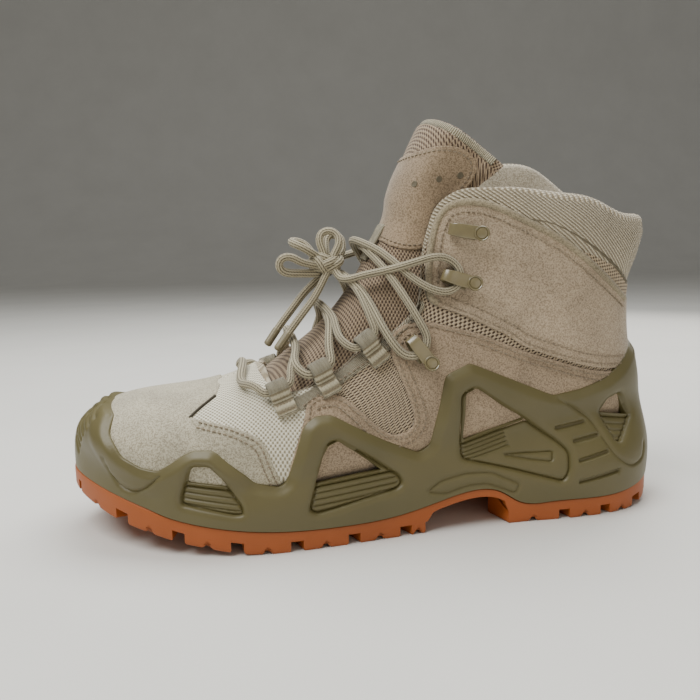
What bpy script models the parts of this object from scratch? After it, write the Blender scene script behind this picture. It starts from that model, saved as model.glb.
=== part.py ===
"""Left hiking boot, mid height, built as separate solids.

The toe points along -X, the heel along +X, the lateral side along -Y, and +Z is up.
Lengths in the tables are millimetres; MM turns them into metres when a mesh is made.
The origin is the centre of the sole's bounding box, on the ground.
"""

import math

import bmesh
import bpy
import numpy as np
from mathutils import Vector
from mathutils.bvhtree import BVHTree

MM = 0.001

# ---------------------------------------------------------------- driving sizes
BOOT_LENGTH = 302.0
BALL_WIDTH = 108.5
INSTEP_HEIGHT = 106.0
HEEL_SEAT_HEIGHT = 31.0

# Sizes that the section tables below are drawn for; other sizes scale them.
TABLE_LENGTH = 302.0
TABLE_BALL_WIDTH = 108.5
TABLE_INSTEP_HEIGHT = 106.0
TABLE_HEEL_SEAT_HEIGHT = 31.0

LENGTH_SCALE = BOOT_LENGTH / TABLE_LENGTH
WIDTH_SCALE = BALL_WIDTH / TABLE_BALL_WIDTH
HEIGHT_SCALE = (INSTEP_HEIGHT - HEEL_SEAT_HEIGHT) / (TABLE_INSTEP_HEIGHT - TABLE_HEEL_SEAT_HEIGHT)

COLUMNS = 34                # columns of the upper on each side, toe to heel
GAP = 0.35                  # clearance between pieces that touch
WALL = 2.4                  # suede or mesh with its lining
THROAT_WALL = 2.8
COLLAR_WALL = 8.0           # padded collar
COLLAR_PAD_DEPTH = 42.0
FRAME_WALL = 4.0            # moulded frame on the upper

# ---------------------------------------------------------------- the last
# A row for each section. Top and bottom are the section's ends in the middle plane; the
# sections turn from upright at the toe to tilted round the ankle. Lateral and medial are
# half widths, widest is how far down from the top they lie, and the powers square the
# section off (2 is an ellipse). Shift moves a section towards the medial side.
LAST_SECTIONS = (
    # top x, top z, bottom x, bottom z, lateral, medial, widest, top power, bottom power, shift
    (-145.5, 45.0, -145.5, 43.5, 1.0, 1.0, 0.55, 2.1, 2.1, 8.0),
    (-143.5, 51.5, -143.5, 38.5, 14.0, 14.5, 0.58, 2.2, 2.3, 7.5),
    (-138.5, 56.5, -138.0, 34.5, 24.5, 25.5, 0.62, 2.3, 2.6, 6.5),
    (-130.0, 60.5, -130.0, 31.0, 34.0, 35.0, 0.64, 2.4, 3.0, 5.0),
    (-116.0, 64.0, -116.0, 27.0, 42.0, 41.5, 0.66, 2.4, 3.2, 2.5),
    (-98.0, 66.0, -98.0, 24.0, 47.5, 46.0, 0.66, 2.4, 3.3, 1.0),
    (-80.0, 69.0, -80.0, 22.3, 51.0, 47.0, 0.68, 2.3, 3.3, 0.0),
    (-62.0, 75.5, -62.0, 22.0, 52.5, 44.5, 0.70, 2.2, 3.3, 0.0),
    (-44.0, 85.0, -44.0, 22.5, 51.5, 41.0, 0.72, 2.1, 3.2, 0.0),
    (-30.0, 95.0, -24.0, 24.0, 49.0, 37.5, 0.74, 2.0, 3.1, 0.0),
    (-19.0, 106.0, 2.0, 26.5, 45.5, 34.5, 0.74, 2.0, 3.0, 0.0),
    (-10.0, 118.0, 34.0, 29.5, 42.0, 33.5, 0.70, 2.0, 2.9, 0.0),
    (-4.0, 128.0, 68.0, 31.0, 39.5, 34.5, 0.62, 2.0, 2.8, 0.0),
    (1.0, 136.0, 98.0, 31.0, 37.5, 36.0, 0.56, 2.1, 2.6, 0.0),
    (5.0, 143.0, 124.0, 33.0, 36.5, 36.0, 0.52, 2.1, 2.3, 0.0),
    (8.0, 149.0, 139.5, 42.0, 36.0, 35.5, 0.51, 2.1, 2.1, 0.0),
    (10.5, 154.0, 143.0, 57.0, 35.5, 35.5, 0.50, 2.1, 2.0, 0.0),
    (13.0, 160.0, 139.5, 77.0, 35.5, 35.5, 0.50, 2.1, 2.0, 0.0),
    (16.5, 167.5, 137.0, 98.0, 36.0, 36.0, 0.50, 2.1, 2.0, 0.0),
    (20.0, 175.0, 138.5, 117.0, 37.0, 37.0, 0.50, 2.1, 2.0, 0.0),
    (24.0, 183.5, 142.5, 135.0, 38.0, 38.0, 0.50, 2.1, 2.1, 0.0),
    (28.5, 193.0, 145.5, 151.0, 38.5, 38.5, 0.50, 2.1, 2.1, 0.0),
    (33.0, 202.0, 147.0, 166.0, 38.5, 38.5, 0.50, 2.1, 2.1, 0.0),
)

# Outline of the sole: distance from the heel as a share of the length, and half widths.
SOLE_PLAN = (
    # share from heel, lateral, medial
    (0.02, 20.0, 19.0),
    (0.05, 31.0, 30.0),
    (0.12, 41.0, 39.0),
    (0.25, 44.0, 38.0),
    (0.40, 46.0, 36.0),
    (0.55, 53.0, 41.0),
    (0.65, 57.0, 47.0),
    (0.72, 57.5, 51.0),
    (0.80, 53.5, 52.0),
    (0.90, 39.0, 45.0),
    (0.96, 21.0, 32.0),
)
TOE_TIP_SHIFT = 6.0

# Side profile of the sole: the tread's underside, and the line where the outsole meets
# the midsole. The underside is flat under the ball and under the heel.
TREAD_PROFILE = (
    # x, z
    (-151.0, 22.0), (-135.0, 16.0), (-113.0, 10.0), (-97.0, 6.2), (-80.0, 2.8), (-66.0, 0.5),
    (-58.0, 0.0), (20.0, 0.0), (60.0, 0.0), (124.0, 0.0), (139.0, 2.2), (151.0, 6.0),
)
BORDER_PROFILE = (
    # x, z
    (-151.0, 30.5), (-134.0, 26.5), (-115.0, 21.5), (-102.0, 17.5), (-80.0, 13.0), (-57.0, 10.2),
    (-26.0, 9.0), (3.0, 10.4), (21.0, 14.0), (38.0, 17.8), (47.0, 18.2), (55.0, 16.0),
    (63.0, 11.0), (80.0, 9.2), (121.0, 10.0), (139.0, 13.5), (151.0, 17.0),
)

# Top edge of the upper, throat and collar together, from the throat's end to the heel.
TOP_EDGE_LATERAL = (
    # x, y, z
    (-58.0, 0.0, 77.5), (-57.0, -14.0, 76.0), (-55.0, -28.0, 72.5), (-50.0, -37.0, 69.0),
    (-40.0, -39.5, 70.0), (-30.0, -38.0, 75.0), (-20.0, -36.5, 80.0), (-12.0, -34.0, 87.0),
    (-3.0, -34.0, 90.5), (4.0, -33.5, 94.5), (12.0, -32.0, 101.0), (18.0, -30.0, 110.0),
    (19.5, -26.5, 123.0), (21.5, -24.0, 135.0), (25.0, -23.0, 147.0), (29.0, -24.5, 155.5),
    (36.0, -27.5, 160.0), (47.0, -32.0, 161.0), (64.0, -36.0, 158.5), (83.0, -37.5, 154.5),
    (100.0, -35.5, 150.5), (124.0, -30.5, 147.4), (139.5, -18.0, 146.4), (144.4, -8.0, 146.2),
    (145.2, 0.0, 146.2),
)
TOP_EDGE_MEDIAL = (
    # x, y, z
    (-58.0, 0.0, 77.5), (-57.0, 12.0, 76.0), (-54.0, 24.0, 73.0), (-49.0, 31.0, 71.0),
    (-40.0, 34.0, 73.0), (-30.0, 33.0, 78.0), (-20.0, 32.0, 84.0), (-12.0, 31.0, 90.0),
    (-3.0, 31.0, 94.0), (4.0, 31.0, 98.0), (12.0, 30.0, 105.0), (18.0, 29.0, 113.0),
    (20.0, 26.0, 124.0), (22.0, 24.0, 136.0), (25.0, 23.0, 148.0), (28.0, 24.0, 158.0),
    (33.0, 27.0, 166.0), (44.0, 32.0, 172.0), (60.0, 35.5, 174.0), (78.0, 37.0, 173.0),
    (98.0, 35.5, 168.0), (124.0, 30.5, 156.0), (139.5, 18.0, 148.0), (144.4, 8.0, 146.4),
    (145.2, 0.0, 146.2),
)
# How far round the top edge a column ends, for how far round the sole it starts.
COLUMN_LEAN = ((0.0, 0.0), (0.30, 0.14), (0.62, 0.57), (1.0, 1.0))
CORNER_SHARE = 0.57         # the throat's upper corner, as a share of the top edge

# Rows of the upper: 0 is the feather line, 1 the top edge, below 0 the turned-in margin.
UPPER_ROWS = (-0.22, -0.09, 0.0, 0.07, 0.15, 0.24, 0.33, 0.42, 0.52, 0.62, 0.72, 0.82, 0.91, 1.0)
INNER_ROWS = (0, 2, 4, 5, 6, 7, 8, 9, 10, 11, 12, 13)     # the rows that the inner surface repeats
FRAME_ROWS = (0.12, 0.20, 0.30, 0.42, 0.56)

# Top line of the moulded frame seen from the side: toe bumper, three peaks, heel cup.
FRAME_TOP_LINE = (
    # x, z
    (-127.5, 61.0), (-129.0, 53.0), (-123.0, 42.5), (-114.0, 38.0), (-106.0, 37.0),
    (-100.0, 41.0), (-94.0, 45.5), (-90.0, 47.5), (-81.0, 47.5), (-77.0, 43.5), (-63.0, 31.0),
    (-52.0, 29.0), (-48.0, 31.5), (-40.0, 56.5), (-35.0, 60.0), (-28.0, 60.0), (-16.0, 53.0),
    (-2.0, 45.0), (14.0, 38.0), (20.0, 41.0), (25.0, 61.0), (28.0, 74.0), (40.0, 79.0),
    (84.0, 60.0), (99.0, 62.0), (114.0, 66.5), (123.0, 71.5), (135.0, 80.0), (141.0, 84.0),
    (165.0, 86.0),
)
# Openings in the frame that show the suede, seen from the side.
FRAME_WINDOWS = (
    # corner points x, z of each window
    ((-93.0, 33.0), (-91.0, 40.5), (-83.0, 40.5), (-75.0, 30.5)),
    ((-37.0, 29.5), (-30.0, 46.5), (-25.0, 48.5), (-4.0, 32.5)),
    ((36.0, 42.0), (37.0, 65.0), (43.0, 67.5), (68.0, 50.0)),
    ((111.0, 50.0), (117.0, 56.0), (124.0, 58.0), (131.0, 47.0)),
)

# Tread: grooves across the sole, each a slanted bar on both sides of the middle.
GROOVE_WIDTH = 5.5
GROOVE_DEPTH = 4.6
GROOVE_SLANT = 0.22
FOREFOOT_GROOVES = (-128.0, -106.0, -82.0, -56.0, -29.0, -3.0)
HEEL_GROOVES = (80.0, 103.0, 125.0)
ARCH_CUT = (
    (17.0, -6.0), (19.0, 4.0), (24.0, 10.0), (38.0, 13.8), (47.0, 14.2), (54.0, 12.5), (57.5, 9.5), (57.5, -6.0),
)
OUTSOLE_INSETS = (3.0, 1.2, 0.8)    # of the tread's edge, the band's middle and its top, from the plan outline
GROOVE_REACH = (9.0, 75.0)  # across the sole, from near the middle to past the edge
GROOVE_FOLLOW = 0.3         # share of the tread's slope that a groove takes up
GROOVE_CUT = 30.0           # how far a groove's cutter reaches below the tread
INSOLE_INSET = 3.2
INSOLE_LIFT = 0.8           # above the turned-in margin
FEATHER_INSET = 9.0         # of the last's lower edge from the plan outline
FEATHER_PROFILE = (
    # x, z of the last's lower edge
    (-151.0, 38.0), (-130.0, 33.5), (-98.0, 27.0), (-62.0, 25.0), (-24.0, 27.0), (34.0, 32.5),
    (98.0, 34.0), (124.0, 36.0), (151.0, 42.0),
)
TONGUE_GRID = (22, 11)      # rows and columns of the tongue's faces

INSOLE_THICKNESS = 4.0

TONGUE_THICKNESS = 6.0
# A row for each station of the tongue: place along the last, how far round it reaches,
# and how deep under the last's surface its middle and its edges lie.
TONGUE_ROWS = (
    # station, reach, middle depth, edge depth
    (0.312, 0.55, 3.4, 3.6),
    (0.335, 0.80, 3.2, 3.8),
    (0.365, 1.10, 1.6, 4.0),
    (0.440, 1.10, 0.8, 4.0),
    (0.540, 1.10, 0.6, 4.0),
    (0.640, 1.00, 0.4, 4.0),
    (0.700, 0.92, 0.3, 4.4),
    (0.770, 0.88, -2.4, 5.4),
    (0.830, 0.90, -3.4, 7.4),
    (0.880, 0.94, -3.6, 9.2),
    (0.930, 1.01, -3.6, 8.4),
    (0.979, 1.14, -3.2, 4.6),
)
TONGUE_TOP_DROP = 0.045     # the tongue's top corners sit this much lower than its middle

# Lace hardware sits on the last's surface at a station and a turn; the medial side mirrors it.
LACE_RADIUS = 1.9
TAPE = 1.2                  # webbing thickness
LOOP_WIDTH = 9.2
LOOP_TAIL = 8.5             # how far a loop's tape runs back over the upper
LOOP_REACH = 4.0            # from the loop's station mark to the lace inside it
LOOP_SLACK = 1.3            # clear space round the lace inside a loop
LACE_LOOPS = (
    # station, turn
    (0.346, 0.93), (0.408, 0.92), (0.490, 0.93),
)
HOOK_WIDTH = 6.4
HOOK_LENGTH = 12.5
HOOK_PLATE = 1.2
HOOK_MOUTH = 4.6            # clear height inside a hook
HOOK_BALL_RADIUS = 3.3
LACE_HOOKS = (
    # station, turn, tilt of the hook below the horizontal in degrees
    (0.550, 1.10, 56.0), (0.676, 0.98, 20.0), (0.775, 0.92, 10.0),
)
KEEPER_STATIONS = (0.585, 0.690)
KEEPER_WIDTH = 12.0
KEEPER_TURN_PER_MM = 0.030  # how far round the last one millimetre across the keeper reaches


# ---------------------------------------------------------------- curves and the last
def natural_spline(knots, values):
    """Return a function through the rows of values at the knots, smooth to the second order."""
    knots = np.asarray(knots, float)
    values = np.asarray(values, float)
    count = len(knots)
    step = np.diff(knots)
    matrix = np.eye(count)
    right = np.zeros(values.shape)
    for i in range(1, count - 1):
        matrix[i, i - 1] = step[i - 1]
        matrix[i, i] = 2.0 * (step[i - 1] + step[i])
        matrix[i, i + 1] = step[i]
        right[i] = 3.0 * ((values[i + 1] - values[i]) / step[i] - (values[i] - values[i - 1]) / step[i - 1])
    curve = np.linalg.solve(matrix, right)
    wide = step.reshape((-1,) + (1,) * (values.ndim - 1))
    slope = (values[1:] - values[:-1]) / wide - wide * (2.0 * curve[:-1] + curve[1:]) / 3.0
    cubic = (curve[1:] - curve[:-1]) / (3.0 * wide)

    def at(where):
        where = np.asarray(where, float)
        i = np.clip(np.searchsorted(knots, where) - 1, 0, count - 2)
        u = where - knots[i]
        u = u.reshape(u.shape + (1,) * (values.ndim - 1))
        return values[i] + slope[i] * u + curve[i] * u ** 2 + cubic[i] * u ** 3

    return at


def chord_lengths(points):
    """Distance along a polyline at each of its points."""
    return np.concatenate(([0.0], np.cumsum(np.linalg.norm(np.diff(points, axis=0), axis=1))))


def scaled(rows, columns_x=(), columns_y=(), columns_z=()):
    """Scale a table's columns from the table's sizes to the driving sizes."""
    table = np.array(rows, float)
    table[:, list(columns_x)] *= LENGTH_SCALE
    table[:, list(columns_y)] *= WIDTH_SCALE
    table[:, list(columns_z)] *= HEIGHT_SCALE
    return table


def smooth_step(low, high, value):
    """Rise from 0 at low to 1 at high with level ends."""
    t = np.clip((value - low) / (high - low), 0.0, 1.0)
    return t * t * (3.0 - 2.0 * t)


SECTION_TABLE = scaled(LAST_SECTIONS, (0, 2), (4, 5, 9), (1, 3))
MIDDLE_LINE = np.stack([(SECTION_TABLE[:, 0] + SECTION_TABLE[:, 2]) / 2.0,
                    (SECTION_TABLE[:, 1] + SECTION_TABLE[:, 3]) / 2.0,
                    (SECTION_TABLE[:, 4] + SECTION_TABLE[:, 5]) / 2.0,
                    SECTION_TABLE[:, 3] - SECTION_TABLE[:, 1]], axis=1)
MIDDLE_DISTANCE = chord_lengths(MIDDLE_LINE)
section_at = natural_spline(MIDDLE_DISTANCE / MIDDLE_DISTANCE[-1], SECTION_TABLE)


def last_point(station, turn):
    """Point on the last: station 0 toe to 1 collar, turn 0 on the ridge, + lateral, pi beneath."""
    station, turn = np.broadcast_arrays(np.asarray(station, float), np.asarray(turn, float))
    row = section_at(station)
    top_x, top_z, low_x, low_z, lateral, medial, widest, top_power, low_power, shift = np.moveaxis(row, -1, 0)
    cosine = np.cos(turn)
    sine = np.abs(np.sin(turn))
    half = np.where(turn >= 0.0, lateral, medial)
    power = np.where(cosine >= 0.0, top_power, low_power)
    across = half * sine ** (2.0 / power)
    bend = np.abs(cosine) ** (2.0 / power)
    down = np.where(cosine >= 0.0, widest * (1.0 - bend), widest + (1.0 - widest) * bend)
    x = top_x + (low_x - top_x) * down
    z = top_z + (low_z - top_z) * down
    y = shift - np.where(turn >= 0.0, across, -across)
    return np.stack([x, y, z], axis=-1)


def last_normal(station, turn, step=0.002):
    """Outward unit normal of the last."""
    station, turn = np.broadcast_arrays(np.asarray(station, float), np.asarray(turn, float))
    along = last_point(np.clip(station + step, 0, 1), turn) - last_point(np.clip(station - step, 0, 1), turn)
    round_it = last_point(station, turn + step) - last_point(station, turn - step)
    normal = np.cross(along, round_it)
    return normal / np.linalg.norm(normal, axis=-1, keepdims=True)


def last_tree(stations=150, turns=144):
    """Search tree of a fine mesh of the last, for meeting it with rays."""
    station = np.linspace(0.0, 1.0, stations)
    turn = np.linspace(-math.pi, math.pi, turns, endpoint=False)
    points = last_point(station[:, None], turn[None, :]).reshape(-1, 3)
    faces = [tuple(range(turns))]
    for i in range(stations - 1):
        for j in range(turns):
            k = (j + 1) % turns
            faces.append((i * turns + j, i * turns + k, (i + 1) * turns + k, (i + 1) * turns + j))
    return BVHTree.FromPolygons([Vector(p) for p in points], faces)


# ---------------------------------------------------------------- plan and profiles
def sole_outline(samples=400):
    """Closed outline of the sole in plan, from the toe tip round the lateral side."""
    table = scaled(SOLE_PLAN, (), (1, 2))
    x = BOOT_LENGTH / 2.0 - BOOT_LENGTH * table[:, 0]
    lateral = np.stack([x, -table[:, 1]], axis=1)
    medial = np.stack([x, table[:, 2]], axis=1)
    toe = np.array([[-BOOT_LENGTH / 2.0, TOE_TIP_SHIFT]])
    heel = np.array([[BOOT_LENGTH / 2.0, 0.0]])
    loop = np.concatenate([toe, lateral[::-1], heel, medial])
    wrap = 4
    closed = np.concatenate([loop[-wrap:], loop, loop[:wrap + 1]])
    distance = chord_lengths(closed)
    curve = natural_spline(distance, closed)
    start = distance[wrap]
    end = distance[wrap + len(loop)]
    heel_at = distance[wrap + len(lateral) + 1]
    return curve, start, heel_at, end


def plan_columns():
    """Plan points of the columns: toe, lateral side, heel, medial side, evenly spaced on each side."""
    curve, start, heel_at, end = sole_outline()
    result = []
    for low, high in ((start, heel_at), (heel_at, end)):
        fine = curve(np.linspace(low, high, 600))
        distance = chord_lengths(fine)
        even = np.linspace(0.0, distance[-1], COLUMNS + 1)[:-1]
        result.append(np.stack([np.interp(even, distance, fine[:, k]) for k in range(2)], axis=1))
    return np.concatenate(result)


PLAN = plan_columns()
RING = len(PLAN)


def column_share():
    """How far each column is from the toe to the heel, on its own side, 0 to 1."""
    index = np.arange(RING)
    return np.where(index <= COLUMNS, index, RING - index) / COLUMNS


def plan_normals():
    """Outward plan normals at the columns."""
    tangent = np.roll(PLAN, -1, axis=0) - np.roll(PLAN, 1, axis=0)
    normal = np.stack([tangent[:, 1], -tangent[:, 0]], axis=1)
    normal /= np.linalg.norm(normal, axis=1, keepdims=True)
    outward = np.sum(normal * (PLAN - PLAN.mean(axis=0)), axis=1).mean() > 0.0
    return normal if outward else -normal


PLAN_NORMAL = plan_normals()
# The last is drawn about its own middle line; every mesh is moved so that the sole is centred.
ORIGIN = np.append((PLAN.min(axis=0) + PLAN.max(axis=0)) / 2.0, 0.0)
TREAD_TABLE = np.array(TREAD_PROFILE) * (LENGTH_SCALE, 1.0)
BORDER_TABLE = np.array(BORDER_PROFILE) * (LENGTH_SCALE, 1.0)
border_curve = natural_spline(BORDER_TABLE[:, 0], BORDER_TABLE[:, 1])


def tread_height(x):
    return np.interp(x, TREAD_TABLE[:, 0], TREAD_TABLE[:, 1])


def border_height(x):
    return border_curve(np.clip(x, BORDER_TABLE[0, 0], BORDER_TABLE[-1, 0]))


# ---------------------------------------------------------------- the upper's surface
def column_targets():
    """For each column the point inside the last, and the feather and top-edge points it spans."""
    share = column_share()
    inside_x = 5.0 + 93.0 * PLAN[:, 0] / (BOOT_LENGTH / 2.0)
    inside_z = 40.0 + 0.237 * (inside_x + 88.0)
    inside_y = TOE_TIP_SHIFT * smooth_step(-30.0, -90.0, inside_x)
    inside = np.stack([inside_x, inside_y, inside_z], axis=1)
    feather = np.zeros((RING, 3))
    feather[:, :2] = PLAN - PLAN_NORMAL * FEATHER_INSET
    profile = np.array(FEATHER_PROFILE)
    feather[:, 2] = natural_spline(profile[:, 0], profile[:, 1])(PLAN[:, 0])
    lean = np.array(COLUMN_LEAN)
    top_share = np.interp(share, lean[:, 0], lean[:, 1])
    top = np.zeros((RING, 3))
    for rows, columns in ((TOP_EDGE_LATERAL, range(0, COLUMNS + 1)), (TOP_EDGE_MEDIAL, range(COLUMNS + 1, RING))):
        edge = scaled(rows, (0,), (1,), (2,))
        distance = chord_lengths(edge)
        curve = natural_spline(distance / distance[-1], edge)
        for i in columns:
            top[i] = curve(top_share[i])
    return inside, feather, top, top_share


def upper_outer():
    """Grid of points on the last: a row for each of UPPER_ROWS, a column for each plan column."""
    tree = last_tree()
    inside, feather, top, top_share = column_targets()
    grid = np.zeros((len(UPPER_ROWS), RING, 3))
    for i in range(RING):
        low = feather[i] - inside[i]
        high = top[i] - inside[i]
        low /= np.linalg.norm(low)
        high /= np.linalg.norm(high)
        angle = math.acos(float(np.clip(low @ high, -1.0, 1.0)))
        across = high - low * (low @ high)
        across /= np.linalg.norm(across)
        for k, row in enumerate(UPPER_ROWS):
            turn = row * angle if row >= 0.0 else row * 2.2
            direction = low * math.cos(turn) + across * math.sin(turn)
            hit = tree.ray_cast(Vector(inside[i]), Vector(direction))[0]
            grid[k, i] = np.array(hit)
    return grid, top_share


def grid_normals(grid):
    """Outward unit normals of a grid that closes on itself along its columns."""
    along = np.roll(grid, -1, axis=1) - np.roll(grid, 1, axis=1)
    up = np.gradient(grid, axis=0)
    normal = np.cross(along, up)
    normal /= np.linalg.norm(normal, axis=-1, keepdims=True)
    centre = grid.mean(axis=(0, 1))
    if np.sum(normal * (grid - centre)) < 0.0:
        normal = -normal
    return normal


OUTER, TOP_SHARE = upper_outer()
OUTER_NORMAL = grid_normals(OUTER)


def wall_thickness():
    """Wall of the upper at each grid point: thin on the foot, padded at the collar."""
    height = np.linalg.norm(OUTER - OUTER[-1][None, :, :], axis=2)
    pad = smooth_step(CORNER_SHARE + 0.06, CORNER_SHARE + 0.17, TOP_SHARE)[None, :]
    pad = pad * smooth_step(COLLAR_PAD_DEPTH, COLLAR_PAD_DEPTH * 0.35, height)
    edge = THROAT_WALL - WALL
    return WALL + edge * smooth_step(14.0, 6.0, height) + (COLLAR_WALL - WALL) * pad


# ---------------------------------------------------------------- mesh making
def new_object(name, vertices, faces, colour, roughness=0.8):
    """One closed mesh object in metres, with outward faces and a plain material."""
    mesh = bpy.data.meshes.new(name)
    mesh.from_pydata([tuple((np.asarray(v) - ORIGIN) * MM) for v in vertices], [], faces)
    shape = bmesh.new()
    shape.from_mesh(mesh)
    bmesh.ops.recalc_face_normals(shape, faces=shape.faces)
    if shape.calc_volume(signed=True) < 0.0:
        bmesh.ops.reverse_faces(shape, faces=shape.faces)
    shape.to_mesh(mesh)
    shape.free()
    piece = bpy.data.objects.new(name, mesh)
    bpy.context.scene.collection.objects.link(piece)
    mesh.shade_smooth()
    mesh.set_sharp_from_angle(angle=math.radians(35.0))
    mesh.materials.append(plain_material(name, colour, roughness))
    return piece


def plain_material(name, colour, roughness):
    material = bpy.data.materials.new(name)
    material.use_nodes = True
    shader = material.node_tree.nodes["Principled BSDF"]
    shader.inputs["Base Color"].default_value = (*colour, 1.0)
    shader.inputs["Roughness"].default_value = roughness
    return material


def ring_faces(rings, count, closed=False):
    """Triangles between successive rings of count points, split the same way everywhere."""
    faces = []
    for k in range(rings if closed else rings - 1):
        low = k * count
        high = ((k + 1) % rings) * count
        for i in range(count):
            j = (i + 1) % count
            faces.append((low + i, low + j, high + j))
            faces.append((low + i, high + j, high + i))
    return faces


def cap_rows(ring, across, height=None):
    """Points of a cap that joins the two sides of a ring, and faces that index ring then points."""
    vertices = []
    rows = {}
    for i in range(1, COLUMNS):
        left, right = i, RING - i
        row = [left]
        for k in range(1, across):
            point = ring[left] + (ring[right] - ring[left]) * (k / across)
            if height is not None:
                point[2] = height(point[0])
            row.append(RING + len(vertices))
            vertices.append(point)
        row.append(right)
        rows[i] = row
    faces = []
    for i in range(1, COLUMNS - 1):
        for a, b, c, d in zip(rows[i], rows[i][1:], rows[i + 1][1:], rows[i + 1]):
            faces.append((a, b, c, d))
    for tip, i in ((0, 1), (COLUMNS, COLUMNS - 1)):
        for a, b in zip(rows[i], rows[i][1:]):
            faces.append((tip, a, b))
    return vertices, faces


def ring_solid(name, rings, colour, across=4, low_height=None, high_height=None):
    """Closed solid from rings of plan columns, capped across its first and last ring."""
    vertices = [p for ring in rings for p in ring]
    faces = ring_faces(len(rings), RING)
    for ring, base, height in ((rings[0], 0, low_height), (rings[-1], (len(rings) - 1) * RING, high_height)):
        points, cap = cap_rows(ring, across, height)
        start = len(vertices)
        vertices.extend(points)
        for face in cap:
            faces.append(tuple(base + v if v < RING else start + v - RING for v in face))
    return new_object(name, vertices, faces, colour)


def prism(name, outline, y_low, y_high):
    """Cutter: a side-view outline (x, z) carried across from y_low to y_high."""
    count = len(outline)
    vertices = [(x, y_low, z) for x, z in outline] + [(x, y_high, z) for x, z in outline]
    faces = [tuple(range(count)), tuple(range(2 * count - 1, count - 1, -1))]
    faces += [(i, (i + 1) % count, count + (i + 1) % count, count + i) for i in range(count)]
    return new_object(name, vertices, faces, (0.5, 0.5, 0.5))


def as_cutter(piece):
    piece.hide_render = True
    piece.display_type = "WIRE"


def cut(piece, cutter):
    """Take the cutter away from the piece and keep the result as the piece's own mesh."""
    as_cutter(cutter)
    modifier = piece.modifiers.new(cutter.name, "BOOLEAN")
    modifier.operation = "DIFFERENCE"
    modifier.solver = "EXACT"
    modifier.object = cutter


def joined(name, pieces):
    """One cutter object from several that don't touch."""
    shape = bmesh.new()
    for piece in pieces:
        shape.from_mesh(piece.data)
    mesh = bpy.data.meshes.new(name)
    shape.to_mesh(mesh)
    shape.free()
    for piece in pieces:
        bpy.data.objects.remove(piece)
    whole = bpy.data.objects.new(name, mesh)
    bpy.context.scene.collection.objects.link(whole)
    return whole


# ---------------------------------------------------------------- the pieces
SUEDE = (0.42, 0.35, 0.26)
OLIVE = (0.24, 0.22, 0.13)
GUM = (0.48, 0.20, 0.07)
MESH_CLOTH = (0.36, 0.28, 0.20)
LINING = (0.50, 0.45, 0.36)


def outline_ring(inset, height):
    ring = np.zeros((RING, 3))
    ring[:, :2] = PLAN - PLAN_NORMAL * inset
    ring[:, 2] = height(ring[:, 0])
    return ring


def groove_bar(name, x, side):
    """One slanted groove from near the middle out past the edge, following the tread's slope."""
    z = float(tread_height(x)) + GROOVE_DEPTH
    inner, outer = GROOVE_REACH
    slope = float(tread_height(x + 4.0) - tread_height(x - 4.0)) / 8.0
    half = GROOVE_WIDTH / 2.0
    vertices = []
    for y in (inner, outer):
        centre = x + GROOVE_SLANT * (y - inner)
        lift = slope * GROOVE_SLANT * (y - inner) * GROOVE_FOLLOW
        for dx, dz in ((-half, 0.0), (half, 0.0), (half, -GROOVE_CUT), (-half, -GROOVE_CUT)):
            vertices.append((centre + dx - slope * dz * GROOVE_FOLLOW, side * y, z + lift + dz + slope * dx))
    faces = [(0, 1, 2, 3), (7, 6, 5, 4), (0, 4, 5, 1), (1, 5, 6, 2), (2, 6, 7, 3), (3, 7, 4, 0)]
    return new_object(name, vertices, faces, GUM)


def make_outsole():
    rings = [outline_ring(OUTSOLE_INSETS[0], tread_height),
             outline_ring(OUTSOLE_INSETS[1], lambda x: (tread_height(x) + border_height(x)) / 2.0),
             outline_ring(OUTSOLE_INSETS[2], border_height)]
    outsole = ring_solid("outsole", rings, GUM, 4, tread_height, border_height)
    cut(outsole, prism("arch_cut", ARCH_CUT, -80.0, 80.0))
    bars = [groove_bar(f"groove_{x:.0f}_{side}", x, side)
            for x in FOREFOOT_GROOVES + HEEL_GROOVES for side in (-1, 1)]
    cut(outsole, joined("grooves", bars))
    return outsole


def make_midsole_frame():
    """Midsole, toe bumper and side frame, moulded as one piece round the upper."""
    base = outline_ring(0.0, lambda x: border_height(x) + GAP)
    rows = []
    for share in FRAME_ROWS:
        k = np.interp(share, UPPER_ROWS, np.arange(len(UPPER_ROWS)))
        low = int(math.floor(k))
        mix = k - low
        point = OUTER[low] * (1 - mix) + OUTER[low + 1] * mix
        normal = OUTER_NORMAL[low] * (1 - mix) + OUTER_NORMAL[low + 1] * mix
        rows.append(point + normal * FRAME_WALL)
    waist = outline_ring(0.4, lambda x: x)
    waist[:, 2] = base[:, 2] * 0.5 + rows[0][:, 2] * 0.5
    frame = ring_solid("midsole_frame", [base, waist] + rows, OLIVE, 4, lambda x: border_height(x) + GAP)
    rings = [OUTER[k] + OUTER_NORMAL[k] * GAP for k in range(len(UPPER_ROWS))]
    form = ring_solid("upper_form", rings, OLIVE, 2)
    cut(frame, form)
    top = list(FRAME_TOP_LINE) + [(165.0, 260.0), (-127.5, 260.0)]
    cut(frame, prism("frame_top_cut", top, -90.0, 90.0))
    windows = [prism(f"window_{n}_{side}", corners, side * 18.0, side * 90.0)
               for n, corners in enumerate(FRAME_WINDOWS) for side in (-1, 1)]
    cut(frame, joined("windows", windows))
    return frame


def make_upper():
    """Hollow upper: outer grid, rounded top edge, inner grid, and the margin turned in beneath."""
    thick = wall_thickness()
    inner = OUTER - OUTER_NORMAL * thick[:, :, None]
    lip = (OUTER[-1] + inner[-1]) / 2.0
    up = OUTER[-1] - OUTER[-2]
    up /= np.linalg.norm(up, axis=1, keepdims=True)
    lip = lip + up * (thick[-1] * 0.3)[:, None]
    rings = list(OUTER) + [lip] + [inner[k] for k in reversed(INNER_ROWS)]
    vertices = [p for ring in rings for p in ring]
    return new_object("upper", vertices, ring_faces(len(rings), RING, closed=True), SUEDE)


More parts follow.
